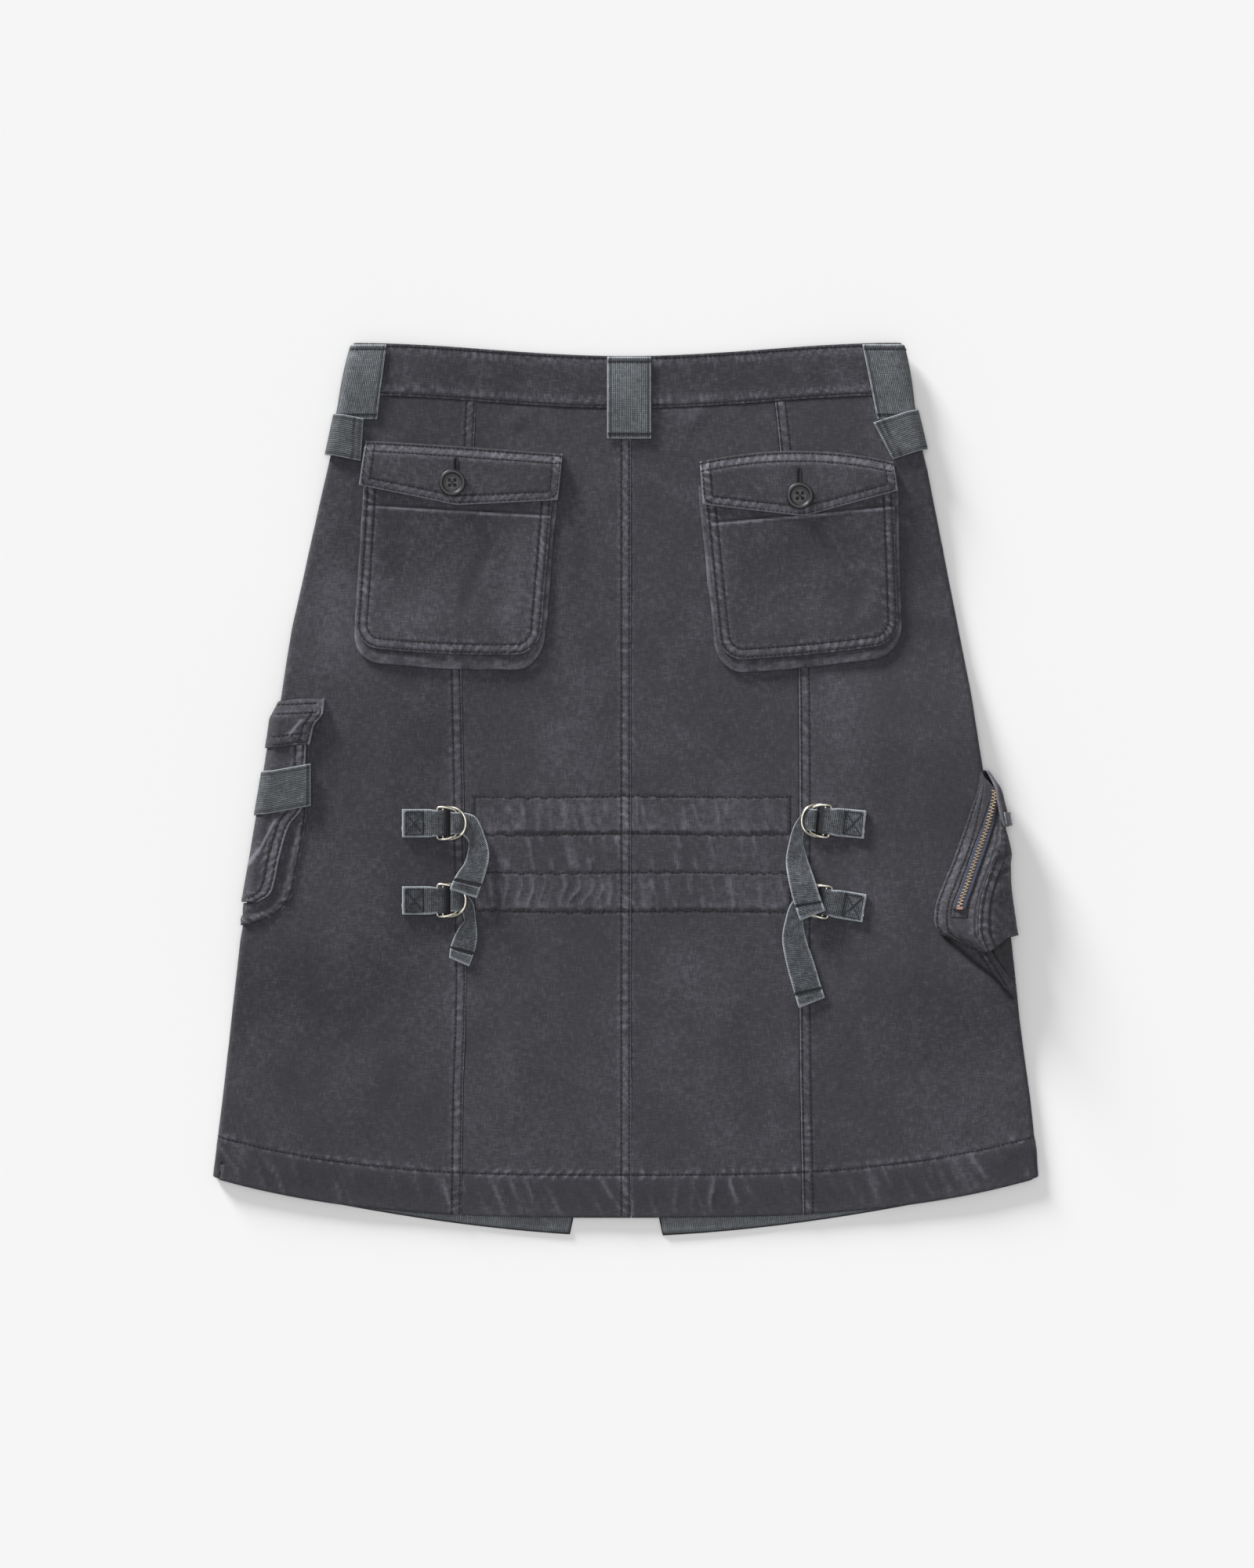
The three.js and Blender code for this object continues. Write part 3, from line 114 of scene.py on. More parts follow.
# How far the side seam comes round to the back: height, left, right
SIDE_SEAM = np.array([
    (-40, 0, 0), (-92, 0, 19), (-109, 0, 18), (-121, 0, 11), (-134, 0, 1.5), (-146, 0, 0), (-160, 0, 0),
])

# Half of the front slit's opening: height, half width
SLIT = np.array([(-140, 0.15), (-152, 0.15), (-190, 9.5), (-240, 20), (-288, 28.7), (-301, 31.5)])

# Pieces that pass under the front and carry the cloth: side, top, bottom, reach from the edge, height
CARRIED = (
    (-1, 262, 214, 46, 4.5), (1, 280, 216, 46, 4.5), (-1, 68, -96, 68, 6.6), (1, 24, -114, 66, 6.6),
)

# Long soft ridges of the back: x1, y1, x2, y2, width, height
RIDGES = (
    (-40.3, 200, -40.3, 106, 15, 1.2), (219.7, -107, 266, -143, 17, 1.5), (60, -120, 74, -235, 22, 1.0),
    (-66, -112, -78, -240, 22, 0.9), (-150, -150, -190, -235, 26, 1.0), (150, 40, 168, -20, 22, 0.8),
    (181, 224, 200, 186, 7, 0.9), (58, 258, 34, 238, 9, 0.8), (-62, 256, -84, 240, 9, 0.7),
    (86, 250, 100, 240, 6, 0.5), (-190, 200, -203, 150, 14, 0.8),
)

# Nominal rows at which the princess seams are read
CENTRE_ROWS = np.array([
    264, 240, 205, 165, 120, 82, 30, -1, -5.5, -11, -17.5, -24, -29.5, -34, -43, -52, -56.5, -62, -69,
    -76, -81.5, -86, -120, -160, -200, -235, -259, -266, -274, -282, -288,
], dtype=float)


class Ribs(Enum):
    """Which way the ribs of a webbing run on its piece."""

    NONE = "none"
    DOWN = "down"
    ACROSS = "across"


class Ring(Enum):
    """The rings of a buckle, by their column in its height table."""

    REAR = 1
    FRONT = 2


class Held(Enum):
    """How a sheet of the skirt is held."""

    LAID = "laid"
    FOLDED = "folded"
    GATHERED = "gathered"


def smooth(value: Array) -> Array:
    """Eases a number from 0 to 1, flat at both ends."""
    held = np.clip(value, 0, 1)
    return held * held * (3 - 2 * held)


def mix(first: Array, second: Array, share: Array) -> Array:
    """Goes from the first to the second value by a share."""
    return first + (second - first) * share


def dab(gap: Array, width: float, power: int = 2) -> Array:
    """A soft mark: 1 in its middle and nearly gone at twice its width."""
    return np.exp(-(gap / width) ** power)


def swing(turns: Array) -> Array:
    """Goes from 1 to 0 and back once to each turn."""
    return 0.5 + 0.5 * np.cos(2 * np.pi * turns)


def summed(steps: Array) -> Array:
    """Running total of steps, from 0."""
    return np.concatenate([[0], np.cumsum(steps)])


def line_of(x: Array, y: Array) -> Array:
    """A line of places from their two columns."""
    return np.stack([x, y], axis=1)


def read(table: Array, height: Array, column: int, held: bool = False) -> Array:
    """Reads a column of a table at a height, in straight lines between rows.

    Args:
        table: Rows that start with their height.
        height: Where to read.
        column: Which column to read.
        held: Whether the ends are kept past the table, and not carried on.

    Returns:
        The column's values at those heights.
    """
    order = np.argsort(table[:, 0])
    heights, values = table[order, 0].astype(float), table[order, column].astype(float)
    at = np.clip(height, heights[0], heights[-1]) if held else np.asarray(height, dtype=float)
    i = np.clip(np.searchsorted(heights, at), 1, len(heights) - 1)
    share = (at - heights[i - 1]) / (heights[i] - heights[i - 1])
    return mix(values[i - 1], values[i], share)


def column_of(side: int) -> int:
    """The table column of a side."""
    return 1 if side < 0 else 2


def side_name(side: int) -> str:
    """The word for a side."""
    return "left" if side < 0 else "right"


def spaced(*stretches: tuple[float, float, float]) -> Array:
    """Places along a line, from stretches of start, end and step."""
    places: list[float] = []
    for start, end, step in stretches:
        count = max(1, round(abs(end - start) / step))
        places.extend(np.linspace(start, end, count, endpoint=False))
    return np.array([*places, stretches[-1][1]])


def fitted(places: Array, coarse: int) -> Array:
    """Adds places in the widest gaps until they divide evenly for the coarser inner face."""
    values = list(places)
    while (len(values) - 1) % coarse:
        gaps = np.abs(np.diff(values))
        widest = int(np.argmax(gaps))
        values.insert(widest + 1, (values[widest] + values[widest + 1]) / 2)
    return np.array(values)


class Creases:
    """Seeded unevenness of washed cloth, the same on each run."""

    cells = 61

    def __init__(self, seed: int) -> None:
        """Fills the lattice that the noise reads, from the piece's own number."""
        self.lattice = np.random.default_rng(seed).random((self.cells, self.cells))

    def noise(self, u: Array, v: Array) -> Array:
        """Smooth noise between -1 and 1, one swell to each unit."""
        i, j = np.floor(u).astype(int), np.floor(v).astype(int)
        a, b = smooth(u - i), smooth(v - j)
        here, there, near, far = (part % self.cells for part in (i, i + 1, j, j + 1))
        low = mix(self.lattice[here, near], self.lattice[there, near], a)
        high = mix(self.lattice[here, far], self.lattice[there, far], a)
        return 2 * mix(low, high, b) - 1

    def crumple(self, u: Array, v: Array, pitch: float, depth: float) -> Array:
        """Soft swells with a few sharper creases between them.

        Args:
            u: Place across, in millimetres.
            v: Place down, in millimetres.
            pitch: Size of the swells.
            depth: Their height.

        Returns:
            The height of the cloth's surface there.
        """
        swell = self.noise(u / pitch, v / (1.7 * pitch))
        swell = swell + 0.5 * self.noise(u / pitch * 2.3 + 7, v / pitch * 1.6)
        slanted = self.noise(u / pitch * 1.3 + 0.3 * v / pitch + 20, v / pitch * 0.7 + 9)
        crease = 1 - np.abs(slanted) * 6
        return depth * (0.45 * swell + 0.35 * np.clip(crease, 0, 1))


@dataclass
class SeamLine:
    """A row of sewing in a piece's own places: it pulls the cloth down and puckers it."""

    points: Array
    gap: float = 0.0
    groove: float = 0.22
    pucker: float = 0.3
    pitch: float = 6.5
    reach: float = 4.0
    wear: float = 0.45
    step: float = 3.0
    sewn: bool = True
    # Tone along the row itself: below zero it is painted shade in the row's groove, above zero a pale line.
    line: float = -0.3
    width: float = 0.75

    def near(self, u: Array, v: Array) -> tuple[Array, Array, Array]:
        """How far each place lies from the row.

        Args:
            u: Places across.
            v: Places down.

        Returns:
            A mask of the places in reach, their distance, negative to the left, and how far along they are.
        """
        steps = np.hypot(*np.diff(self.points, axis=0).T)
        sums = summed(steps)
        count = max(2, int(sums[-1] / 2.0))
        at = np.linspace(0, sums[-1], count)
        line = np.stack([np.interp(at, sums, self.points[:, i]) for i in (0, 1)], axis=1)
        low, high = line.min(axis=0) - 3 * self.reach, line.max(axis=0) + 3 * self.reach
        mask = (u > low[0]) & (u < high[0]) & (v > low[1]) & (v < high[1])
        places = line_of(u[mask], v[mask])
        distance, along = np.full(len(places), 1e9), np.zeros(len(places))
        for start in range(0, len(places), 4000):
            part = places[start:start + 4000]
            delta = part[:, None, :] - line[None, :-1, :]
            run = np.diff(line, axis=0)
            length = np.maximum((run ** 2).sum(axis=1), 1e-9)
            share = np.clip((delta * run).sum(axis=2) / length, 0, 1)
            gap = np.linalg.norm(delta - share[..., None] * run, axis=2)
            best = gap.argmin(axis=1)
            pick = np.arange(len(part))
            sign = np.sign(delta[pick, best, 0] * run[best, 1] - delta[pick, best, 1] * run[best, 0])
            distance[start:start + 4000] = gap[pick, best] * np.where(sign == 0, 1, sign)
            along[start:start + 4000] = at[best] + share[pick, best] * np.sqrt(length[best])
        return mask, distance, along

    def shape(self, u: Array, v: Array, creases: Creases) -> tuple[Array, Array]:
        """The row's effect on the surface.

        Args:
            u: Places across.
            v: Places down.
            creases: The piece's unevenness.

        Returns:
            Height and tone to add at each place.
        """
        height, tone = np.zeros_like(u), np.zeros_like(u)
        mask, offset, along = self.near(u, v)
        distance = np.abs(offset)
        slant = offset * (0.5 + 0.9 * creases.noise(along / 41, along * 0 + 13.5))
        phase = (along + slant) / self.pitch + 1.1 * creases.noise(along / 23, along * 0 + 3.5)
        phase = phase + 0.16 * creases.noise(u[mask] / 4, v[mask] / 4)
        crest = swing(phase) ** 3
        uneven = np.clip(0.55 + 0.6 * creases.noise(along / 9, along * 0 + 8.5), 0.15, 1.1)
        reach = self.reach + self.gap / 2
        fall = dab(distance, reach, 4)
        row = dab(distance - self.gap / 2, self.width)
        height[mask] = self.pucker * fall * (crest * uneven - 0.2) - self.groove * row
        # Wear pales the puckers' crests; the row's line, below zero, is painted shade in its groove.
        tone[mask] = self.wear * fall * (0.85 * crest * uneven + 0.14) + self.line * row * (0.45 + uneven)
        return height, tone

    def rows(self) -> list[Array]:
        """The rows of stitches: the line itself, or one each side of it."""
        if self.gap == 0:
            return [self.points]
        run = np.gradient(self.points, axis=0)
        run = run / np.maximum(np.linalg.norm(run, axis=1, keepdims=True), 1e-9)
        out = line_of(-run[:, 1], run[:, 0]) * self.gap / 2
        return [self.points + out, self.points - out]


def mark(points: Array, groove: float, line: float, **sizes: float) -> SeamLine:
    """A fold or crease mark: a row without stitches, wear or puckers unless its sizes say so."""
    return SeamLine(points, groove=groove, line=line, sewn=False, **{"pucker": 0, "wear": 0, **sizes})


class Skirt:
    """The folded body that every piece lies on."""

    def edge(self, side: int, y: Array) -> Array:
        """Half width of the folded body."""
        return read(OUTLINE, y, column_of(side))

    def flat(self, side: int, y: Array) -> Array:
        """Girth where the side fold begins."""
        return self.edge(side, y) - FOLD_RADIUS

    def carried(self, side: int, x: Array, y: Array) -> Array:
        """Height that pieces underneath give the cloth."""
        total = 0.0
        for its_side, top, bottom, reach, height in CARRIED:
            if its_side == side:
                down = smooth((top + RAMP - y) / RAMP)
                up = smooth((y - bottom + RAMP) / RAMP)
                across = smooth((x - self.edge(side, y) + reach + RAMP) / RAMP)
                total = total + (height * down * up * across) ** 3
        return np.cbrt(total)

    def ridges(self, x: Array, y: Array) -> Array:
        """Height of the long soft ridges."""
        height = np.zeros(np.broadcast(x, y).shape)
        for x1, y1, x2, y2, width, rise in RIDGES:
            length = math.hypot(x2 - x1, y2 - y1)
            ux, uy = (x2 - x1) / length, (y2 - y1) / length
            along = ((x - x1) * ux + (y - y1) * uy) / length
            off = np.abs((x - x1) * uy - (y - y1) * ux) / width
            inside = (along > 0) & (along < 1) & (off < 1)
            height += np.where(inside, rise * np.sin(np.pi * along) * (1 - smooth(off)), 0)
        return height

    def place(self, side: int, girth: Array, y: Array, lift: Array, relief: Array = 0.0) -> Array:
        """Where a point lies.

        Args:
            side: Which half of the skirt.
            girth: Distance from the middle of the back.
            y: Height up the skirt.
            lift: Distance out of the back's outer face.
            relief: Crease height to add; underneath it goes inwards, so that the skirt lies flat.

        Returns:
            Points with three coordinates.
        """
        girth, y, lift, relief = np.broadcast_arrays(
            *(np.asarray(value, dtype=float) for value in (girth, y, lift, relief)))
        flat = self.flat(side, y)
        loft = mix(LOFT, 2 * FOLD_RADIUS, smooth((girth / flat - 0.5) / 0.5))
        top = self.carried(side, girth, y) + loft + self.ridges(side * girth, y) + lift + relief
        turn = (girth - flat) / FOLD_RADIUS
        under = self.carried(side, flat, y)
        reach = FOLD_RADIUS + lift + relief
        front = 2 * flat + math.pi * FOLD_RADIUS - girth
        below = np.maximum(self.carried(side, front, y) - lift + np.abs(relief), 0.02)
        on_top, on_fold = girth <= flat, (girth > flat) & (turn < math.pi)
        x = np.where(on_top, girth, np.where(on_fold, flat + reach * np.sin(turn), front))
        rounded = np.maximum(under + FOLD_RADIUS + reach * np.cos(turn), 0.02)
        z = np.where(on_top, top, np.where(on_fold, rounded, below))
        return np.stack([side * x, y, z], axis=-1)

    def on_back(self, x: Array, y: Array, lift: Array, relief: Array = 0.0) -> Array:
        """Where a point over the back lies, given its place across."""
        x = np.asarray(x, dtype=float)
        left = self.place(-1, np.abs(x), y, lift, relief)
        right = self.place(1, np.abs(x), y, lift, relief)
        return np.where((x < 0)[..., None] if x.shape else x < 0, left, right)

    def round_end(self, side: int, y: Array) -> Array:
        """Girth where the side fold ends underneath."""
        return self.flat(side, y) + math.pi * FOLD_RADIUS

    def side_seam(self, side: int, y: Array) -> Array:
        """Girth of the side seam."""
        bend = read(SIDE_SEAM, y, column_of(side), held=True)
        return self.flat(side, y) + SEAM_TURN * FOLD_RADIUS - bend

    def around(self, side: int, start: Array, y: Array, share: Array, front: float) -> Array:
        """Girth of a place on a piece that goes round the side.

        Args:
            side: Which side.
            start: Girth of its edge on the back.
            y: Height up the skirt.
            share: 0 at that edge, 1 at the fold, 2 at the fold's end and 3 at the far edge.
            front: How far it goes on underneath.

        Returns:
            The girth.
        """
        flat = self.flat(side, y)
        first = np.minimum(start, flat)
        begin = np.maximum(start, flat)
        end = self.round_end(side, y)
        girth = mix(first, flat, np.clip(share, 0, 1))
        girth = np.where(share > 1, mix(begin, end, np.clip(share - 1, 0, 1)), girth)
        return np.where(share > 2, end + (share - 2) * front, girth)


def back_waist(x: Array) -> Array:
    """Height of the waist's edge at the back."""
    return mix(BACK_WAIST, SIDE_WAIST, smooth(np.abs(x) / HALF_WAIST))


def front_waist(x: Array) -> Array:
    """Height of the waist's edge at the front."""
    return mix(FRONT_WAIST, SIDE_WAIST, smooth(np.abs(x) / HALF_WAIST))


def back_hem(x: Array) -> Array:
    """Height of the back's hem."""
    return BACK_HEM + BACK_HEM_RISE * (np.abs(x) / HALF_HEM) ** 3


def front_hem(x: Array) -> Array:
    """Height of the front's hem."""
    return FRONT_HEM + FRONT_HEM_RISE * (np.abs(x) / HALF_HEM) ** 1.7


def row_height(x: Array, row: Array, waist: Edge, hem: Edge) -> Array:
    """Height of a nominal row: the top and bottom rows follow the waist and the hem."""
    top = waist(x) - BAND_DEPTH - BAND_GAP - TOP_ROW
    bottom = hem(x) - LAST_ROW
    high = smooth(1 - (TOP_ROW - row) / ROW_BEND)
    return row + top * high + bottom * smooth(1 - (row - LAST_ROW) / ROW_BEND)


def princess(side: int, row: Array) -> Array:
    """Place across of the seam between the side and centre panels of the back."""
    heights = row_height(PRINCESS_AT, CENTRE_ROWS, back_waist, back_hem)
    at = read(PRINCESS, heights, column_of(side))
    return np.interp(row, CENTRE_ROWS[::-1], at[::-1])


def gather_turn(x: Array, top: float) -> Array:
    """Counts the gathers of a casing from the middle."""
    return x / PUCKER_PITCH + 0.3 * np.sin(x / 23 + top)


def gathers(x: Array, y: Array, creases: Creases) -> tuple[Array, Array]:
    """The gathers of the two casings and the ropes of the hem.

    Args:
        x: Places across.
        y: Heights.
        creases: The panel's unevenness.

    Returns:
        Their height and their tone: wear pales the gathers' crests, and painted shadow darkens the scallops over
            the lower rows of stitches.
    """
    x, y = np.broadcast_arrays(x, y)
    height, tone = np.zeros(x.shape), np.zeros(x.shape)
    ends = smooth((x - GATHERED[0]) / 8) * smooth((GATHERED[1] - x) / 8)
    for top, bottom in CASINGS:
        share = np.clip((top - y) / (top - bottom), 0, 1)
        swell = np.sin(np.pi * share) ** 0.6
        lean = 0.75 * creases.noise(x / 21 + top, y / 16)
        lean = lean + 0.7 * (share - 0.5) * creases.noise(x / 9, 0 * y + top)
        uneven = np.clip(0.42 + 0.8 * creases.noise(x / 8 + 3, y / 40 + top), 0.06, 1.1)
        wave = swing(gather_turn(x, top) + lean) ** 5 * uneven
        small = np.clip(creases.noise(x / 3.1 + y / 17, y / 13 + 5), 0, 1) ** 2
        near = dab(share - 0.9, 0.1) + 0.6 * dab(share - 0.07, 0.07)
        lip = near * swell * (0.5 + 0.5 * creases.noise(x / 4.5, 0 * y + top))
        height += ends * (swell * (0.62 * wave + 0.42 * small) + lip)
        # Painted shadow in scallops just above each casing's lower row of stitches, where the cloth bulges over it.
        scallop_shadow = swell * dab(share - 0.93, 0.05)
        scallop_shadow = scallop_shadow * smooth(0.5 + 1.2 * creases.noise(x / 3.7, 0 * y + top + 4))
        tone += ends * (swell * (0.24 * wave + 0.24 * small + 0.03) + 0.22 * lip - 0.6 * scallop_shadow)
    between = smooth((-30 - y) / 3) * smooth((y + 56) / 3) * ends
    tick = np.clip(creases.noise(x / 4.2 + y / 23, y / 17 + 15), 0, 1) ** 2
    height += between * 0.4 * tick
    tone += between * 0.25 * tick
    rope, worn = roping(x, y, creases)
    return height + rope, tone + worn


def roping(x: Array, y: Array, creases: Creases) -> tuple[Array, Array]:
    """The slanting ropes that washing leaves in the hem.

    Args:
        x: Places across.
        y: Heights.
        creases: The panel's unevenness.

    Returns:
        Their height and tone.
    """
    above = y - back_hem(x)
    swell = np.sin(np.pi * np.clip(above / HEM_DEPTH, 0, 1)) ** 0.7
    lean = 0.55 + 0.4 * creases.noise(x / 70 + 3, 0 * y)
    slant = (x + lean * above) / 13 + 0.6 * creases.noise(x / 29, above / 40)
    rope = swing(slant) ** 5 * np.clip(0.3 + 1.0 * creases.noise(x / 12 + 5, above / 34), 0, 1.1)
    fine = np.clip(creases.noise((x + 0.4 * above) / 3.6, above / 19 + 31), 0, 1) ** 2
    return swell * (0.75 * rope + 0.3 * fine), swell * (0.34 * rope + 0.24 * fine - 0.12)


class Mesh:
    """Makes Blender objects from grids of points."""

    @staticmethod
    def rim(outer: Array, inner: Array, coarse: int) -> list[tuple[int, ...]]:
        """Closes the gap between a fine line of points and a coarse one.

        Args:
            outer: Vertex numbers of the fine line.
            inner: Vertex numbers of the coarse line.
            coarse: How many fine steps there are to a coarse one.

        Returns:
            Triangles between them.
        """
        faces: list[tuple[int, ...]] = []
        for i in range(len(inner) - 1):
            for j in range(coarse):
                k = i * coarse + j
                if j < coarse // 2:
                    faces.append((outer[k], outer[k + 1], inner[i]))
                else:
                    if j == coarse // 2:
                        faces.append((outer[k], inner[i + 1], inner[i]))
                    faces.append((outer[k], outer[k + 1], inner[i + 1]))
        return faces

    @staticmethod
    def quads(numbers: Array) -> Array:
        """Four-sided faces of a grid of vertex numbers."""
        corners = (numbers[:-1, :-1], numbers[1:, :-1], numbers[1:, 1:], numbers[:-1, 1:])
        return np.stack([corner.ravel() for corner in corners], axis=1)

    @classmethod
    def shell(cls, name: str, outer: Array, inner: Array, uv: Array, tone: Array) -> Thing:
        """A closed thin wall between a fine outer and a coarse inner grid.

        Args:
            name: The piece's name.
            outer: Rows of outer points, in millimetres.
            inner: Rows of inner points, fewer by a whole factor.
            uv: Distances across and down for each outer point, in millimetres.
            tone: Tone of each outer point: paler with wear, negative where it is darker, mostly with painted shade
                in creases, grooves and folds.

        Returns:
            The new object.
        """
        rows, columns = outer.shape[:2]
        coarse_rows = (rows - 1) // (inner.shape[0] - 1)
        coarse_columns = (columns - 1) // (inner.shape[1] - 1)
        first = np.arange(rows * columns).reshape(rows, columns)
        second = np.arange(inner.shape[0] * inner.shape[1]).reshape(inner.shape[:2]) + rows * columns
        faces = [tuple(face) for face in cls.quads(first).tolist()]
        faces += [tuple(face[::-1]) for face in cls.quads(second).tolist()]
        faces += cls.rim(first[0], second[0], coarse_columns)
        faces += cls.rim(first[-1][::-1], second[-1][::-1], coarse_columns)
        faces += cls.rim(first[::-1, 0], second[::-1, 0], coarse_rows)
        faces += cls.rim(first[:, -1], second[:, -1], coarse_rows)
        points = np.concatenate([outer.reshape(-1, 3), inner.reshape(-1, 3)])
        inner_uv = uv[::coarse_rows, ::coarse_columns].reshape(-1, 2)
        flat_uv = np.concatenate([uv.reshape(-1, 2), inner_uv])
        tones = np.concatenate([tone.ravel(), np.zeros(len(inner_uv))])
        return cls.build(name, points, faces, flat_uv, tones)

    @staticmethod
    def build(name: str, points: Array, faces: Sequence[tuple[int, ...]], uv: Array, tone: Array) -> Thing:
        """Makes an object and turns its faces outwards.

        Args:
            name: The piece's name.
            points: Vertices, in millimetres.
            faces: Vertex numbers of each face.
            uv: Cloth distances of each vertex, in millimetres.
            tone: Tone of each vertex: paler with wear, darker with painted shade.

        Returns:
            The new object.
        """
        mesh = bpy.data.meshes.new(name)
        mesh.from_pydata((points * METRE).tolist(), [], faces)
        mesh.update()
        volume = sum(face.center.dot(face.normal) * face.area for face in mesh.polygons)
        if volume < 0:
            mesh.flip_normals()
        layer = mesh.uv_layers.new(name="cloth")
        corners = np.empty(len(mesh.loops), dtype=np.int32)
        mesh.loops.foreach_get("vertex_index", corners)
        layer.data.foreach_set("uv", (uv * METRE)[corners].astype(np.float32).ravel())
        attribute = mesh.attributes.new("tone", "FLOAT", "POINT")
        attribute.data.foreach_set("value", tone.astype(np.float32))
        mesh.polygons.foreach_set("use_smooth", np.ones(len(mesh.polygons), dtype=bool))
        thing = bpy.data.objects.new(name, mesh)
        bpy.context.scene.collection.objects.link(thing)
        return thing


def lengths(grid: Array) -> Array:
    """Distances across and down for each point of a grid, in millimetres."""
    across = np.linalg.norm(np.diff(grid, axis=1), axis=2)
    down = np.linalg.norm(np.diff(grid, axis=0), axis=2)
    u = np.concatenate([np.zeros((len(grid), 1)), np.cumsum(across, axis=1)], axis=1)
    v = np.concatenate([np.zeros((1, grid.shape[1])), np.cumsum(down, axis=0)], axis=0)
    middle = grid.shape[1] // 2
    return np.stack([u - u[:, middle:middle + 1], np.repeat(v[:, middle:middle + 1], grid.shape[1], 1)], axis=-1)


@dataclass(frozen=True)
class ClothFinish:
    """Washed cotton cloth: colours as 0 to 255, worn where it is raised, with painted shade darkening its creases.
    """

    name: str
    colour: tuple[int, int, int]
    worn: tuple[int, int, int]
    deep: tuple[int, int, int]
    slot: str
    ribs: Ribs = Ribs.NONE
    pitch: float = 1.0
    grain: float = 0.42
    mottle: float = 0.26
    speckle: float = 0.32
    rib_shade: float = 0.55

    def material(self) -> bpy.types.Material:
        """Makes the finish's material, or finds it if it is made already."""
        found = bpy.data.materials.get(self.name)
        if found is not None:
            return found
        material = bpy.data.materials.new(self.name)
        nodes = Nodes(material)
        uv = nodes.add("ShaderNodeUVMap", uv_map="cloth").outputs["UV"]
        place = nodes.add("ShaderNodeTexCoord").outputs["Object"]
        tone = nodes.add("ShaderNodeAttribute", attribute_name="tone").outputs["Fac"]
        warp = nodes.noise(nodes.stretch(uv, (1500, 160, 1)), 1.0, 2.0, 0.6)
        weft = nodes.noise(nodes.stretch(uv, (160, 1500, 1)), 1.0, 2.0, 0.6)
        threads = nodes.maths("ADD", warp, weft)
        cloud = nodes.noise(place, 22.0, 5.0, 0.62)
        speck = nodes.noise(place, 260.0, 3.0, 0.6)
        amount = nodes.about(threads, 1.0, self.grain)
        amount = nodes.maths("ADD", amount, nodes.about(cloud, 0.5, self.mottle))
        amount = nodes.maths("ADD", amount, nodes.about(speck, 0.5, self.speckle))
        broken = nodes.maths("MULTIPLY", tone, nodes.maths("ADD", nodes.maths("MULTIPLY", speck, 0.9), 0.55))
        amount = nodes.maths("ADD", nodes.maths("ADD", amount, broken), 0.5)
        height = nodes.maths("MULTIPLY", threads, 0.5)
        if self.ribs is not Ribs.NONE:
            rib = nodes.ribs(uv, self.pitch, self.ribs)
            amount = nodes.maths("ADD", amount, nodes.about(rib, 0.5, self.rib_shade))
            height = nodes.maths("ADD", nodes.maths("MULTIPLY", height, 0.4), rib)
        colour = nodes.ramp(amount, (self.deep, self.colour, self.worn))
        bump = nodes.bump(height, 0.6, 0.0003 if self.ribs is Ribs.NONE else 0.0005)
        shader = nodes.shader(roughness=0.93, specular=0.18)
        nodes.link(colour, shader.inputs["Base Color"])
        nodes.link(bump, shader.inputs["Normal"])
        shader.inputs["Sheen Weight"].default_value = 0.06
        shader.inputs["Sheen Roughness"].default_value = 0.6
        return material


@dataclass(frozen=True)
class HardFinish:
    """Metal or plastic: colour as 0 to 255, with fine wear in its colour and roughness."""

    name: str
    colour: tuple[int, int, int]
    slot: str
    metallic: float = 0.0
    roughness: float = 0.4
    blotch: float = 0.2

    def material(self) -> bpy.types.Material:
        """Makes the finish's material, or finds it if it is made already."""
        found = bpy.data.materials.get(self.name)
        if found is not None:
            return found
        material = bpy.data.materials.new(self.name)
        nodes = Nodes(material)
        place = nodes.add("ShaderNodeTexCoord").outputs["Object"]
        cloud = nodes.noise(place, 420.0, 4.0, 0.6)
        fine = nodes.noise(place, 2400.0, 2.0, 0.5)
        dark = tuple(int(value * (1 - self.blotch)) for value in self.colour)
        bright = tuple(min(255, int(value * (1 + self.blotch))) for value in self.colour)
        colour = nodes.ramp(cloud, (dark, self.colour, bright))
        shader = nodes.shader(roughness=self.roughness, specular=0.5)
        shader.inputs["Metallic"].default_value = self.metallic
        rough = nodes.maths("ADD", nodes.maths("MULTIPLY", cloud, 0.16), self.roughness - 0.08)
        nodes.link(colour, shader.inputs["Base Color"])
        nodes.link(rough, shader.inputs["Roughness"])
        nodes.link(nodes.bump(fine, 0.15, 0.0001), shader.inputs["Normal"])
        return material


def linear(colour: Sequence[int]) -> tuple[float, float, float, float]:
    """Turns a colour of 0 to 255 into the renderer's own values."""
    values = [value / 255 for value in colour]
    kept = [value / 12.92 if value <= 0.04045 else ((value + 0.055) / 1.055) ** 2.4 for value in values]
    return (kept[0], kept[1], kept[2], 1.0)


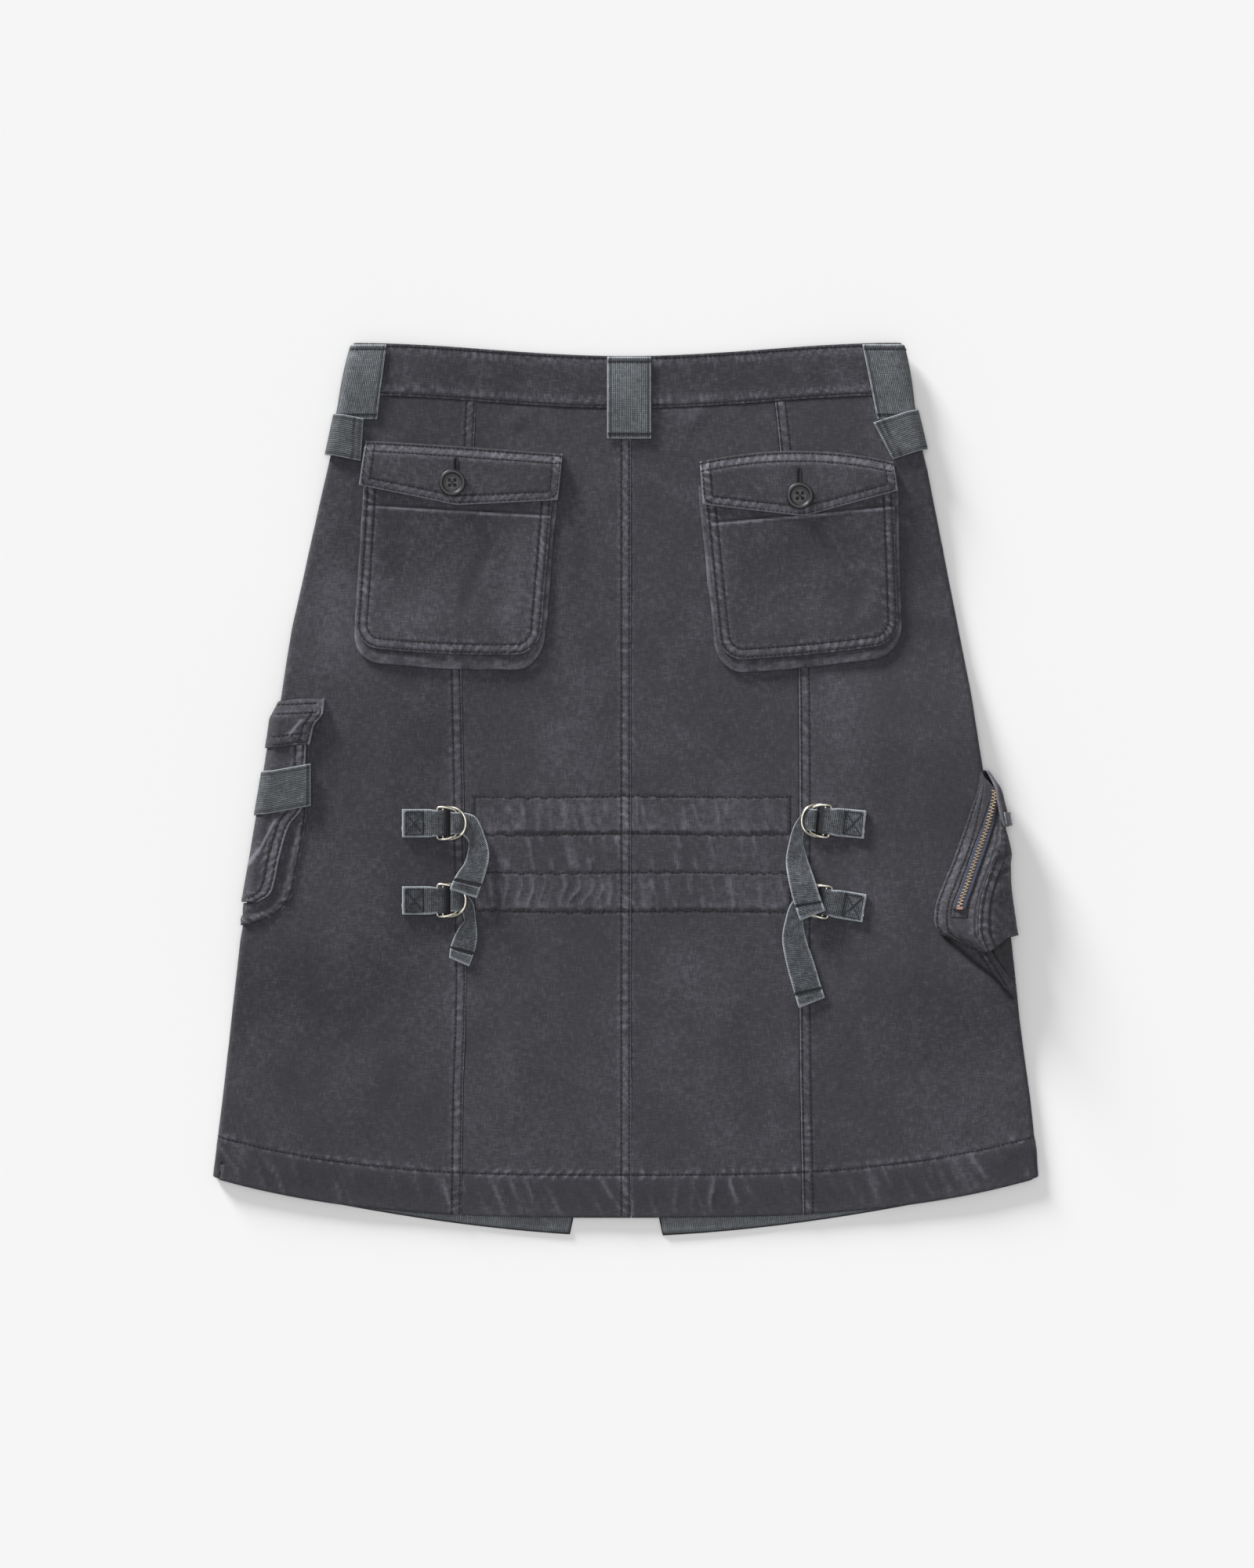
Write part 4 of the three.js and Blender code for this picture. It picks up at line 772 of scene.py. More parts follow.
class Nodes:
    """Short names for the shader nodes that the finishes share."""

    def __init__(self, material: bpy.types.Material) -> None:
        """Starts the material's tree afresh."""
        material.use_nodes = True
        self.tree = material.node_tree
        self.tree.nodes.clear()

    def add(self, kind: str, **settings: object) -> bpy.types.Node:
        """Adds a node and sets its properties."""
        node = self.tree.nodes.new(kind)
        for name, value in settings.items():
            setattr(node, name, value)
        return node

    def link(self, start: Socket, end: Socket) -> None:
        """Joins an output to an input."""
        self.tree.links.new(start, end)

    def stretch(self, vector: Socket, scale: tuple[float, float, float]) -> Socket:
        """Scales coordinates."""
        node = self.add("ShaderNodeMapping")
        node.inputs["Scale"].default_value = scale
        self.link(vector, node.inputs["Vector"])
        return node.outputs["Vector"]

    def noise(self, vector: Socket, scale: float, detail: float, rough: float) -> Socket:
        """Adds noise of one value."""
        node = self.add("ShaderNodeTexNoise")
        node.inputs["Scale"].default_value = scale
        node.inputs["Detail"].default_value = detail
        node.inputs["Roughness"].default_value = rough
        self.link(vector, node.inputs["Vector"])
        return node.outputs["Fac"]

    def maths(self, operation: str, first: Socket, second: object) -> Socket:
        """Adds a sum of two values, the second of which may be a number."""
        node = self.add("ShaderNodeMath", operation=operation)
        self.link(first, node.inputs[0])
        if isinstance(second, (int, float)):
            node.inputs[1].default_value = second
        else:
            self.link(second, node.inputs[1])
        return node.outputs[0]

    def about(self, value: Socket, middle: float, depth: float) -> Socket:
        """How far a value lies from its middle, times a depth."""
        return self.maths("MULTIPLY", self.maths("SUBTRACT", value, middle), depth)

    def ribs(self, uv: Socket, pitch: float, way: Ribs) -> Socket:
        """Ribs of webbing and the finer grooves between their threads, from 0 to 1.

        Args:
            uv: The cloth's own coordinates.
            pitch: Distance between ribs, in millimetres.
            way: Which way the ribs run.

        Returns:
            The ribs' height.
        """
        parts = self.add("ShaderNodeSeparateXYZ")
        self.link(uv, parts.inputs[0])
        main, cross = ("X", "Y") if way is Ribs.DOWN else ("Y", "X")
        turn = 2 * math.pi * 1000 / pitch
        ridge = self.maths("SINE", self.maths("MULTIPLY", parts.outputs[main], turn), 0)
        thread = self.maths("SINE", self.maths("MULTIPLY", parts.outputs[cross], turn * 1.45), 0)
        both = self.maths("ADD", self.maths("MULTIPLY", ridge, 0.34), self.maths("MULTIPLY", thread, 0.12))
        return self.maths("ADD", both, 0.5)

    def ramp(self, amount: Socket, colours: Sequence[Sequence[int]]) -> Socket:
        """Colours spread evenly over 0 to 1."""
        node = self.add("ShaderNodeValToRGB")
        steps = node.color_ramp.elements
        steps[0].position, steps[0].color = 0.0, linear(colours[0])
        steps[1].position, steps[1].color = 1.0, linear(colours[-1])
        for i, colour in enumerate(colours[1:-1], start=1):
            steps.new(i / (len(colours) - 1)).color = linear(colour)
        self.link(amount, node.inputs["Fac"])
        return node.outputs["Color"]

    def bump(self, height: Socket, strength: float, distance: float) -> Socket:
        """Surface relief from a height."""
        node = self.add("ShaderNodeBump")
        node.inputs["Strength"].default_value = strength
        node.inputs["Distance"].default_value = distance
        self.link(height, node.inputs["Height"])
        return node.outputs["Normal"]

    def shader(self, roughness: float, specular: float) -> bpy.types.Node:
        """The surface shader and the output."""
        node = self.add("ShaderNodeBsdfPrincipled")
        node.inputs["Roughness"].default_value = roughness
        node.inputs["Specular IOR Level"].default_value = specular
        output = self.add("ShaderNodeOutputMaterial")
        self.link(node.outputs["BSDF"], output.inputs["Surface"])
        return node


CANVAS_BACK = ClothFinish("charcoal_canvas", (58, 57, 62), (104, 103, 111), (27, 27, 30), "canvas")
CANVAS_FRONT = ClothFinish("charcoal_canvas_under", (52, 52, 56), (84, 84, 90), (27, 27, 30), "canvas_inside")
POCKET_CANVAS = ClothFinish("charcoal_pocket_cloth", (58, 57, 62), (112, 111, 119), (25, 25, 28), "pocket_canvas")
BAND_CANVAS = ClothFinish("charcoal_band_cloth", (53, 52, 57), (106, 105, 113), (26, 26, 29), "waistband")
LOOP_WEBBING = ClothFinish("ribbed_loop_webbing", (75, 77, 80), (158, 165, 170), (36, 38, 41), "webbing",
                           ribs=Ribs.DOWN, pitch=1.25)
WRAP_WEBBING = ClothFinish("ribbed_wrap_webbing", (68, 70, 73), (140, 146, 150), (33, 34, 37), "webbing",
                           ribs=Ribs.ACROSS, pitch=1.25)
STRAP_WEBBING = ClothFinish("ribbed_strap_webbing", (46, 47, 51), (152, 158, 164), (27, 28, 31), "strap_webbing",
                            ribs=Ribs.ACROSS, pitch=0.9)
HEM_WEBBING = ClothFinish("ribbed_hem_webbing", (88, 91, 95), (152, 156, 161), (44, 46, 49), "hem_tape",
                          ribs=Ribs.DOWN, pitch=1.25)
ZIP_CLOTH = ClothFinish("slate_zip_cloth", (62, 66, 80), (108, 114, 128), (34, 36, 44), "zip_tape",
                        ribs=Ribs.DOWN, pitch=0.8)
THREAD = HardFinish("charcoal_thread", (27, 27, 31), "canvas", roughness=0.85, blotch=0.4)
NICKEL = HardFinish("aged_nickel", (208, 203, 190), "nickel_wire", metallic=1.0, roughness=0.34)
HORN = HardFinish("dark_horn", (34, 33, 36), "button", roughness=0.42, blotch=0.35)
COPPER = HardFinish("copper_pink", (186, 150, 138), "zip_stop", metallic=0.9, roughness=0.42)
BRASS = HardFinish("worn_brass", (194, 172, 142), "zip_stop", metallic=0.85, roughness=0.42)


def select_only(thing: Thing) -> None:
    """Makes an object the active one, and the only one that is selected."""
    bpy.ops.object.select_all(action="DESELECT")
    thing.select_set(True)
    bpy.context.view_layer.objects.active = thing


def dress(thing: Thing, finish: ClothFinish | HardFinish, node: str = "") -> None:
    """Gives an object its finish and its body, and hides the CAD node that it stands for.

    Args:
        thing: The object.
        finish: Its finish.
        node: The node that it stands for, if there is one.
    """
    thing.data.materials.clear()
    thing.data.materials.append(finish.material())
    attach(thing, "root")
    if node:
        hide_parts(node)


class Sewing:
    """Stitches, modelled once and copied along the rows of every piece."""

    # A stitch's thread, in metres: its radius, its straight part and the length of each rounded end
    thread = 0.00036
    straight = 0.0013
    end = 0.0005

    def __init__(self) -> None:
        """Starts with no rows."""
        self.laid: list[tuple[Array, Array, Array, float]] = []
        self.dice = np.random.default_rng(7)

    @staticmethod
    def surface(thing: Thing) -> BVHTree:
        """A piece's surface, to lay stitches on."""
        mesh = thing.data
        return BVHTree.FromPolygons([v.co.copy() for v in mesh.vertices], [p.vertices[:] for p in mesh.polygons])

    def lay(self, tree: BVHTree, x: float, y: float, dx: float, dy: float, size: float = 1.0) -> None:
        """Lays one stitch where a line from above meets a piece.

        Args:
            tree: The piece's surface.
            x: Place across, in millimetres.
            y: Place up the skirt.
            dx: Its direction across.
            dy: Its direction up.
            size: Its length against a common stitch.
        """
        spot, normal, _, _ = tree.ray_cast(Vector((x * METRE, y * METRE, 0.2)), Vector((0, 0, -1)))
        if spot is None or normal.z < 0.25:
            return
        along = Vector((dx, dy, 0))
        along = (along - normal * along.dot(normal)).normalized()
        self.laid.append((np.array(spot) / METRE, np.array(along), np.array(normal), size))

    def row(self, thing: Thing, points: Array, step: float = 3.0) -> None:
        """Sews a row along a line of places.

        Args:
            thing: The piece that is sewn.
            points: Places in millimetres.
            step: Distance from stitch to stitch.
        """
        tree = self.surface(thing)
        sums = summed(np.hypot(*np.diff(points, axis=0).T))
        at = np.arange(step / 2, sums[-1], step)
        for x, y, x2, y2 in zip(*(np.interp(at + move, sums, points[:, i]) for move in (0, 0.3) for i in (0, 1))):
            turn = self.dice.normal(0, 0.07)
            dx, dy = x2 - x, y2 - y
            self.lay(tree, x, y, dx - turn * dy, dy + turn * dx, 0.9 + 0.2 * self.dice.random())

    def hole(self, thing: Thing, x: float, top: float, bottom: float) -> None:
        """Sews a buttonhole: close stitches across both edges of its slit."""
        tree = self.surface(thing)
        for y in np.arange(bottom, top, 0.55):
            for side in (-1, 1):
                self.lay(tree, x + side * 1.05, y, 1, 0.05 * self.dice.normal(), 0.72)
        for shift in (-1.1, -0.4, 0.4, 1.1):
            self.lay(tree, x + shift, top + 0.5, 0, 1, 0.7)
            self.lay(tree, x + shift, bottom - 0.5, 0, 1, 0.7)

    def stitch(self) -> tuple[Array, Array]:
        """Models one stitch as a short thread with rounded ends.

        Returns:
            Its vertices in millimetres, along X, and its faces.
        """
        bpy.ops.object.select_all(action="DESELECT")
        bpy.ops.mesh.primitive_cylinder_add(vertices=6, radius=self.thread, depth=self.straight)
        thing = bpy.context.active_object
        bpy.ops.object.mode_set(mode="EDIT")
        bpy.ops.mesh.select_mode(type="FACE")
        for end in (-1, 1):
            bpy.ops.mesh.select_all(action="DESELECT")
            bpy.ops.object.mode_set(mode="OBJECT")
            for face in thing.data.polygons:
                face.select = face.center.z * end > 0.45 * self.straight
            bpy.ops.object.mode_set(mode="EDIT")
            bpy.ops.mesh.extrude_region_move(TRANSFORM_OT_translate={"value": (0, 0, end * self.end)})
            bpy.ops.transform.resize(value=(0.45, 0.45, 1))
        bpy.ops.object.mode_set(mode="OBJECT")
        points = np.array([vertex.co for vertex in thing.data.vertices]) / METRE
        faces = [tuple(face.vertices) for face in thing.data.polygons]
        bpy.data.objects.remove(thing, do_unlink=True)
        return points[:, [2, 0, 1]], faces

    def make(self, most: int = 3000) -> None:
        """Makes the stitches, so many to an object."""
        shape, faces = self.stitch()
        for number, start in enumerate(range(0, len(self.laid), most), start=1):
            part = self.laid[start:start + most]
            spots, along, normal, sizes = (np.array(values) for values in zip(*part))
            across = np.cross(normal, along)
            points = (spots + 0.12 * normal)[:, None] + shape[None, :, :1] * along[:, None] * sizes[:, None, None]
            points = points + shape[None, :, 1:2] * across[:, None] + shape[None, :, 2:] * normal[:, None]
            count = len(shape)
            every = [tuple(v + i * count for v in face) for i in range(len(part)) for face in faces]
            thing = Mesh.build(f"stitches_{number}", points.reshape(-1, 3), every,
                               np.zeros((len(part) * count, 2)), np.zeros(len(part) * count))
            dress(thing, THREAD)
            log.info("%s: %d stitches", thing.name, len(part))


SEWING = Sewing()


@dataclass
class Piece:
    """A sheet of cloth or webbing, laid on the body."""

    name: str
    finish: ClothFinish
    held: Held
    seed: int = 1
    swell: float = 0.25
    pitch: float = 34.0
    lines: list[SeamLine] = field(default_factory=list)
    mirror: int = 1

    def relief(self, u: Array, v: Array) -> tuple[Array, Array]:
        """Crease height and tone of the piece.

        Args:
            u: Places across.
            v: Places down.

        Returns:
            Height and tone.
        """
        creases = Creases(self.seed)
        height = creases.crumple(u, v, self.pitch, self.swell)
        height = height + creases.crumple(u + 40, v + 11, self.pitch / 3.4, self.swell * 0.3)
        # The tone follows the crease height: paler where the cloth is raised, as wear, and darker in its hollows,
        # which is painted shade.
        tone = 0.25 * height / max(self.swell, 0.05) * 0.3
        # Each row adds wear on its puckers and, through its line, painted shade in its groove.
        for line in self.lines:
            rise, worn = line.shape(u, v, creases)
            height, tone = height + rise, tone + worn
        return height, tone

    def make(self, outer: Array, inner: Array, tone: Array) -> Thing:
        """Builds the piece, dresses it, hides the CAD node that it stands for and sews its rows.

        Args:
            outer: Grid of its outer face.
            inner: Grid of its inner face.
            tone: Tone of its outer face: paler with wear, darker with painted shade.

        Returns:
            The new object.
        """
        thing = Mesh.shell(self.name + "_cloth", outer, inner, lengths(outer), tone)
        dress(thing, self.finish, self.name)
        for line in self.lines:
            if line.sewn:
                for row in line.rows():
                    SEWING.row(thing, row * [self.mirror, 1], line.step)
        return thing


def rimmed(grid_lift: Array, depth: float = 0.22) -> Array:
    """Rounds a sheet's edges a little by pressing its outermost points down."""
    lift = np.array(grid_lift, dtype=float)
    for edge in (np.s_[0, :], np.s_[-1, :], np.s_[:, 0], np.s_[:, -1]):
        lift[edge] -= depth
    return lift


def worn_edge_and_shade(gap: Array) -> Array:
    """A webbing's edge: a selvedge worn pale, with a line of painted shade inside it."""
    return 0.55 * dab(gap, 0.85) - 0.3 * dab(gap - 1.9, 0.7)


def straight(*points: tuple[float, float]) -> Array:
    """A line of places through points."""
    return np.array(points, dtype=float)


def hem_row(start: float, end: float) -> SeamLine:
    """The row of stitches over the back's hem, between two places across."""
    x = np.linspace(start, end, 40)
    return SeamLine(line_of(x, back_hem(x) + HEM_DEPTH), pucker=0.35, pitch=8, reach=3.4)


@dataclass
class Panels:
    """The skirt's panels: four of the back and two of the front underneath."""

    skirt: Skirt
    stitch_gap: float = 5.5
    coarse: int = 4

    def close(self, piece: Piece, outer: Array, tone: Array, place: Place, u: Array, y: Array) -> None:
        """Makes a panel, whose inner face has fewer rows and columns.

        Args:
            piece: The panel.
            outer: Grid of its outer face.
            tone: Tone of its outer face: paler with wear, darker with painted shade.
            place: Gives the points for places across, heights and a lift.
            u: Places across.
            y: Heights.
        """
        columns = fitted_columns(u.shape[1], self.coarse)
        inner = place(u[::self.coarse][:, columns], y[::self.coarse][:, columns], -CLOTH)
        piece.make(*trimmed(outer, inner, tone, self.coarse, columns))

    def back_side(self, side: int) -> None:
        """Side panel of the back, from the princess seam to the side seam."""
        skirt = self.skirt
        rows = fitted(spaced((TOP_ROW, 250, 2.0), (250, -255, 2.4), (-255, LAST_ROW, 1.4)), self.coarse)
        near = spaced((0, 0.5, 0.5), (0.5, 12, 0.9))
        far = spaced((9, 0.5, 1.2), (0.5, 0.15, 0.5))
        middle = np.linspace(0, 1, 62)[1:-1]
        row = rows[:, None]
        nominal = row_height(150.0, row, back_waist, back_hem)
        start = princess(side, row) + 0.15
        seam = skirt.side_seam(side, nominal)
        at = np.concatenate([start + near, mix(start + 12, seam - 9, middle), seam - far], axis=1)
        x = np.minimum(at, skirt.edge(side, nominal))
        y = row_height(x, row, back_waist, back_hem)
        girth = at.copy()
        girth[:, -len(far):] = skirt.side_seam(side, y[:, -len(far):]) - far
        piece = Piece(f"back_side_{side_name(side)}", CANVAS_BACK, Held.LAID, seed=11 + side, swell=0.42, pitch=46,
                      mirror=side)
        heights = row_height(PRINCESS_AT, CENTRE_ROWS, back_waist, back_hem)
        piece.lines = [
            SeamLine(line_of(princess(side, CENTRE_ROWS) + 4.1, heights), gap=self.stitch_gap, reach=2.0),
            hem_row(100, 276),
        ]
        if side > 0:
            piece.lines += [
                SeamLine(straight((239.5, -110.5), (246.5, -121.5), (254.5, -134.0)), gap=3.4, reach=1.4, wear=0.4),
                # A long crease, darkened along its valley with painted shade.
                mark(straight((214, -99), (230.7, -113.9), (246.8, -126), (258.5, -139.7)), 0.8, -0.6, reach=3,
                     width=1.5),
            ]
        relief, tone = piece.relief(girth, y)
        # The gathers' tone: wear on their crests and painted shadow in their scallops.
        fold, worn = gathers(side * np.minimum(girth, skirt.edge(side, y)), y, Creases(30 + side))
        distance = girth - start
        rise = 0.3 * (1 - smooth((distance - 6.5) / 3))
        tone = tone + worn + 0.4 * dab(distance, 0.7)
        grid = rimmed(relief + fold + rise)
        outer = skirt.place(side, girth, y, 0.0, np.maximum(grid, -0.5))
        self.close(piece, outer, tone, partial(skirt.place, side), girth, y)

    def back_centre(self, side: int) -> None:
        """Centre panel of the back, with its two gathered casings."""
        skirt = self.skirt
        rows = spaced((TOP_ROW, 4, 2.4), (4, -90, 1.3), (-90, -255, 2.4), (-255, LAST_ROW, 1.3))
        rows = fitted(rows, self.coarse)
        near = spaced((0, 0.5, 0.5), (0.5, 9, 1.0))
        seam_x = side * (princess(side, rows[:, None]) - 0.15)
        middle = CENTRE_BACK + side * 0.15
        width = np.abs(seam_x - middle)
        shares = np.linspace(0, 1, 78)[1:-1]
        across = np.concatenate([near + 0 * width, mix(9.0, width - 0.5, shares), width - 0.5, width], axis=1)
        x = middle + side * across
        y = row_height(x, rows[:, None], back_waist, back_hem)
        piece = Piece(f"back_centre_{side_name(side)}", CANVAS_BACK, Held.GATHERED, seed=15 + side, swell=0.34,
                      pitch=40)
        heights = np.linspace(256, -286, 60)
        edge = CENTRE_BACK + 0 * heights
        span = np.linspace(*GATHERED, 240)
        piece.lines = [
            SeamLine(line_of(edge - 4.15, heights), gap=self.stitch_gap, reach=2.0, wear=0.5),
            hem_row(-120, 120),
        ]
        for level in (-5.0, -30.0, -56.0, -82.0):
            drift = 0.5 * np.sin(span / 23 + level) + 0.4 * np.sin(span / 1.5 + 3 * np.sin(span / 17 + level))
            piece.lines.append(SeamLine(line_of(span, level + drift), groove=0.4, pucker=0.28, pitch=4.6,
                                        reach=2.4, wear=0.16))
        for end in (GATHERED[0] + 1, GATHERED[1] - 1):
            for top, bottom in CASINGS:
                piece.lines.append(SeamLine(straight((end, top - 1), (end, bottom + 1)), pucker=0.15, wear=0.15))
        relief, tone = piece.relief(x, y)
        # The gathers' tone: wear on their crests and painted shadow in their scallops.
        fold, worn = gathers(x, y, Creases(40 + side))
        rise = 0.3 * (1 - smooth((across - 6.5) / 3)) if side < 0 else 0.0 * across
        tone = tone + worn + (0.4 * dab(across, 0.7) if side < 0 else 0)
        outer = skirt.on_back(x, y, 0.0, np.maximum(rimmed(relief + fold + rise), -0.5))
        self.close(piece, outer, tone, skirt.on_back, x, y)

    def front(self, side: int) -> None:
        """Front panel, which lies underneath and comes round the side fold."""
        skirt = self.skirt
        rows = fitted(spaced((TOP_ROW, -255, 4.0), (-255, LAST_ROW, 2.0)), self.coarse)[:, None]
        turns = np.linspace(0, 1, 10)
        shares = spaced((0, 1, 1 / 62))[1:]
        share = np.concatenate([0 * turns, shares])
        guess = skirt.flat(side, rows) * (1 - share)
        nominal = row_height(guess, rows, front_waist, front_hem)
        start = skirt.side_seam(side, nominal) + 0.3
        flat_start = skirt.round_end(side, nominal)
        inset = side * CENTRE_FRONT + read(SLIT, nominal, 1, held=True)
        end = flat_start + skirt.flat(side, nominal) - inset
        on_turn = np.concatenate([turns, 0 * shares])
        is_turn = np.arange(len(share)) < len(turns)
        girth = np.where(is_turn, mix(start, flat_start, on_turn), mix(flat_start, end, share))
        x = np.abs(skirt.place(side, girth, nominal, 0.0)[..., 0])
        y = row_height(x, rows, front_waist, front_hem)
        shift = skirt.round_end(side, y) - skirt.round_end(side, nominal)
        girth = girth + np.where(is_turn, shift, shift * (2 - 2 * share))
        piece = Piece(f"front_{side_name(side)}", CANVAS_FRONT, Held.FOLDED, seed=21 + side, swell=0.3, pitch=44)
        relief, tone = piece.relief(girth, y)
        fade = smooth((girth - skirt.side_seam(side, y)) / 12)
        outer = skirt.place(side, girth, y, 0.0, np.clip(relief, 0, 0.6) * fade)
        self.close(piece, outer, tone, partial(skirt.place, side), girth, y)

    def hem_tape(self, side: int) -> None:
        """Webbing tape along the inside of the front hem."""
        share, down = np.linspace(0, 1, 121)[None, :], np.linspace(1, 0, 9)[:, None]
        opening = read(SLIT, front_hem(20.0) + down * 20, 1, held=True)
        x = mix(252.0, side * CENTRE_FRONT + opening + 0.6, share)
        y = front_hem(x) + 1.2 + down * 20
        piece = Piece(f"hem_tape_{side_name(side)}", HEM_WEBBING, Held.LAID, seed=25 + side, swell=0.08)
        relief, tone = piece.relief(x, y)
        top = np.stack([side * x, y, 2.1 + relief * 0.5], axis=-1)
        low = np.stack([side * x, y, 1.3 + 0 * x], axis=-1)[::4, ::4]
        piece.make(top, low, tone)

    def build(self) -> None:
        """Makes every panel."""
        for side in (-1, 1):
            self.back_side(side)
            self.back_centre(side)
            self.front(side)
            self.hem_tape(side)


def fitted_columns(count: int, coarse: int) -> Array:
    """Column numbers of the inner face: every few, and always the last."""
    picked = list(range(0, count, coarse))
    if picked[-1] != count - 1:
        picked.append(count - 1)
    return np.array(picked)


def trimmed(outer: Array, inner: Array, tone: Array, coarse: int, columns: Array) -> tuple[Array, Array, Array]:
    """Repeats the outer face's last column until its count suits the inner face.

    Args:
        outer: Fine grid.
        inner: Coarse grid.
        tone: Tone of the fine grid: paler with wear, darker with painted shade.
        coarse: Fine steps to a coarse one.
        columns: Column numbers that the inner face has.

    Returns:
        The outer grid, the inner grid and the tone, with counts that fit.
    """
    missing = (len(columns) - 1) * coarse + 1 - outer.shape[1]
    if missing <= 0:
        return outer, inner, tone
    steps = (np.arange(missing) + 1) / (missing + 1)
    last, before = outer[:, -1:], outer[:, -2:-1]
    extra = mix(before, last, steps[None, :, None])
    tones = np.repeat(tone[:, -1:], missing, axis=1)
    outer = np.concatenate([outer[:, :-1], extra, last], axis=1)
    return outer, inner, np.concatenate([tone[:, :-1], tones, tone[:, -1:]], axis=1)


@dataclass
class Waistband:
    """The waistband, in one piece over the back and two underneath."""

    skirt: Skirt
    rise: float = 0.6
    end_turn: float = 2.31

    def back(self) -> None:
        """Back piece, which goes round both side folds."""
        turns = np.linspace(self.end_turn, 0.0, 8)
        shares = spaced((1.0, 0.0, 1 / 96))
        half_share = np.concatenate([np.ones(len(turns) - 1), shares])
        half_turn = np.concatenate([turns[:-1], 0 * shares])
        down = fitted(spaced((0, 0.02, 0.02), (0.02, 0.98, 0.036), (0.98, 1, 0.02)), 2)[:, None]
        grids, lows, tones = [], [], []
        piece = Piece("waistband_back", BAND_CANVAS, Held.FOLDED, seed=51, swell=0.3, pitch=30)
        span = np.linspace(-182, 182, 120)
        for inset in (1.4, BAND_DEPTH - 1.8):
            piece.lines.append(SeamLine(line_of(span, back_waist(span) - inset), groove=0.25, pucker=0.3,
                                        pitch=5.2, reach=6.0, wear=0.4))
        for side in (-1, 1):
            share = half_share if side < 0 else half_share[::-1][1:]
            turn = half_turn if side < 0 else half_turn[::-1][1:]
            y = back_waist(share[None, :] * HALF_WAIST) - down * BAND_DEPTH
            flat = self.skirt.flat(side, y)
            girth = share * flat + turn * FOLD_RADIUS
            relief, tone = piece.relief(side * girth, y)
            grids.append(self.skirt.place(side, girth, y, self.rise, np.maximum(rimmed_rows(relief), -0.5)))
            lows.append(self.skirt.place(side, girth, y, -CANVAS))
            tones.append(tone)
        outer, low, tone = (np.concatenate(part, axis=1) for part in (grids, lows, tones))
        piece.make(outer, low[::2, ::2], tone)

    def front(self, side: int) -> None:
        """Front piece of one side, which lies underneath."""
        turns = np.linspace(SEAM_TURN + 0.05, math.pi, 5)
        shares = spaced((1, 0, 1 / 48))
        share = np.concatenate([np.ones(len(turns) - 1), shares])
        turn = np.concatenate([turns[:-1], math.pi + 0 * shares])
        down = np.linspace(0, 1, 9)[:, None]
        y = front_waist(share * HALF_WAIST) - down * (BAND_DEPTH - 0.9)
        flat = self.skirt.flat(side, y)
        end = side * CENTRE_FRONT + 0.15
        girth = np.where(turn < math.pi - 1e-6, flat + turn * FOLD_RADIUS,
                         self.skirt.round_end(side, y) + (1 - share) * (flat - end))
        piece = Piece(f"waistband_front_{side_name(side)}", BAND_CANVAS, Held.FOLDED, seed=55 + side, swell=0.2)
        relief, tone = piece.relief(girth, y)
        outer = self.skirt.place(side, girth, y, 0.0, np.clip(relief, 0, 0.4))
        inner = self.skirt.place(side, girth, y, -1.8)
        piece.make(outer, inner[::4, ::4], tone)

    def build(self) -> None:
        """Makes the three pieces."""
        self.back()
        self.front(-1)
        self.front(1)


def rimmed_rows(grid_lift: Array, depth: float = 0.2) -> Array:
    """Rounds only the top and bottom edges of a strip."""
    lift = np.array(grid_lift, dtype=float)
    lift[0] -= depth
    lift[-1] -= depth
    return lift


@dataclass(frozen=True)
class FaceShape:
    """Outline of a back pocket's face: places across and heights of its corners, and how far it bows."""

    left: float
    right: float
    top_left: float
    top_right: float
    low_left: float
    low_right: float
    bottom_left: float
    bottom_right: float
    bow: float


@dataclass(frozen=True)
class FlapShape:
    """Outline of a back pocket's flap, whose lower edge comes to a blunt point."""

    left: float
    right: float
    top_left: float
    top_right: float
    bow: float
    apex: float
    low_left: float
    low_right: float
    bottom_left: float
    bottom_apex: float
    bottom_right: float


@dataclass(frozen=True)
class GussetShape:
    """How far a back pocket's gusset shows beside and below its face."""

    left: float
    bottom: float
    right: float


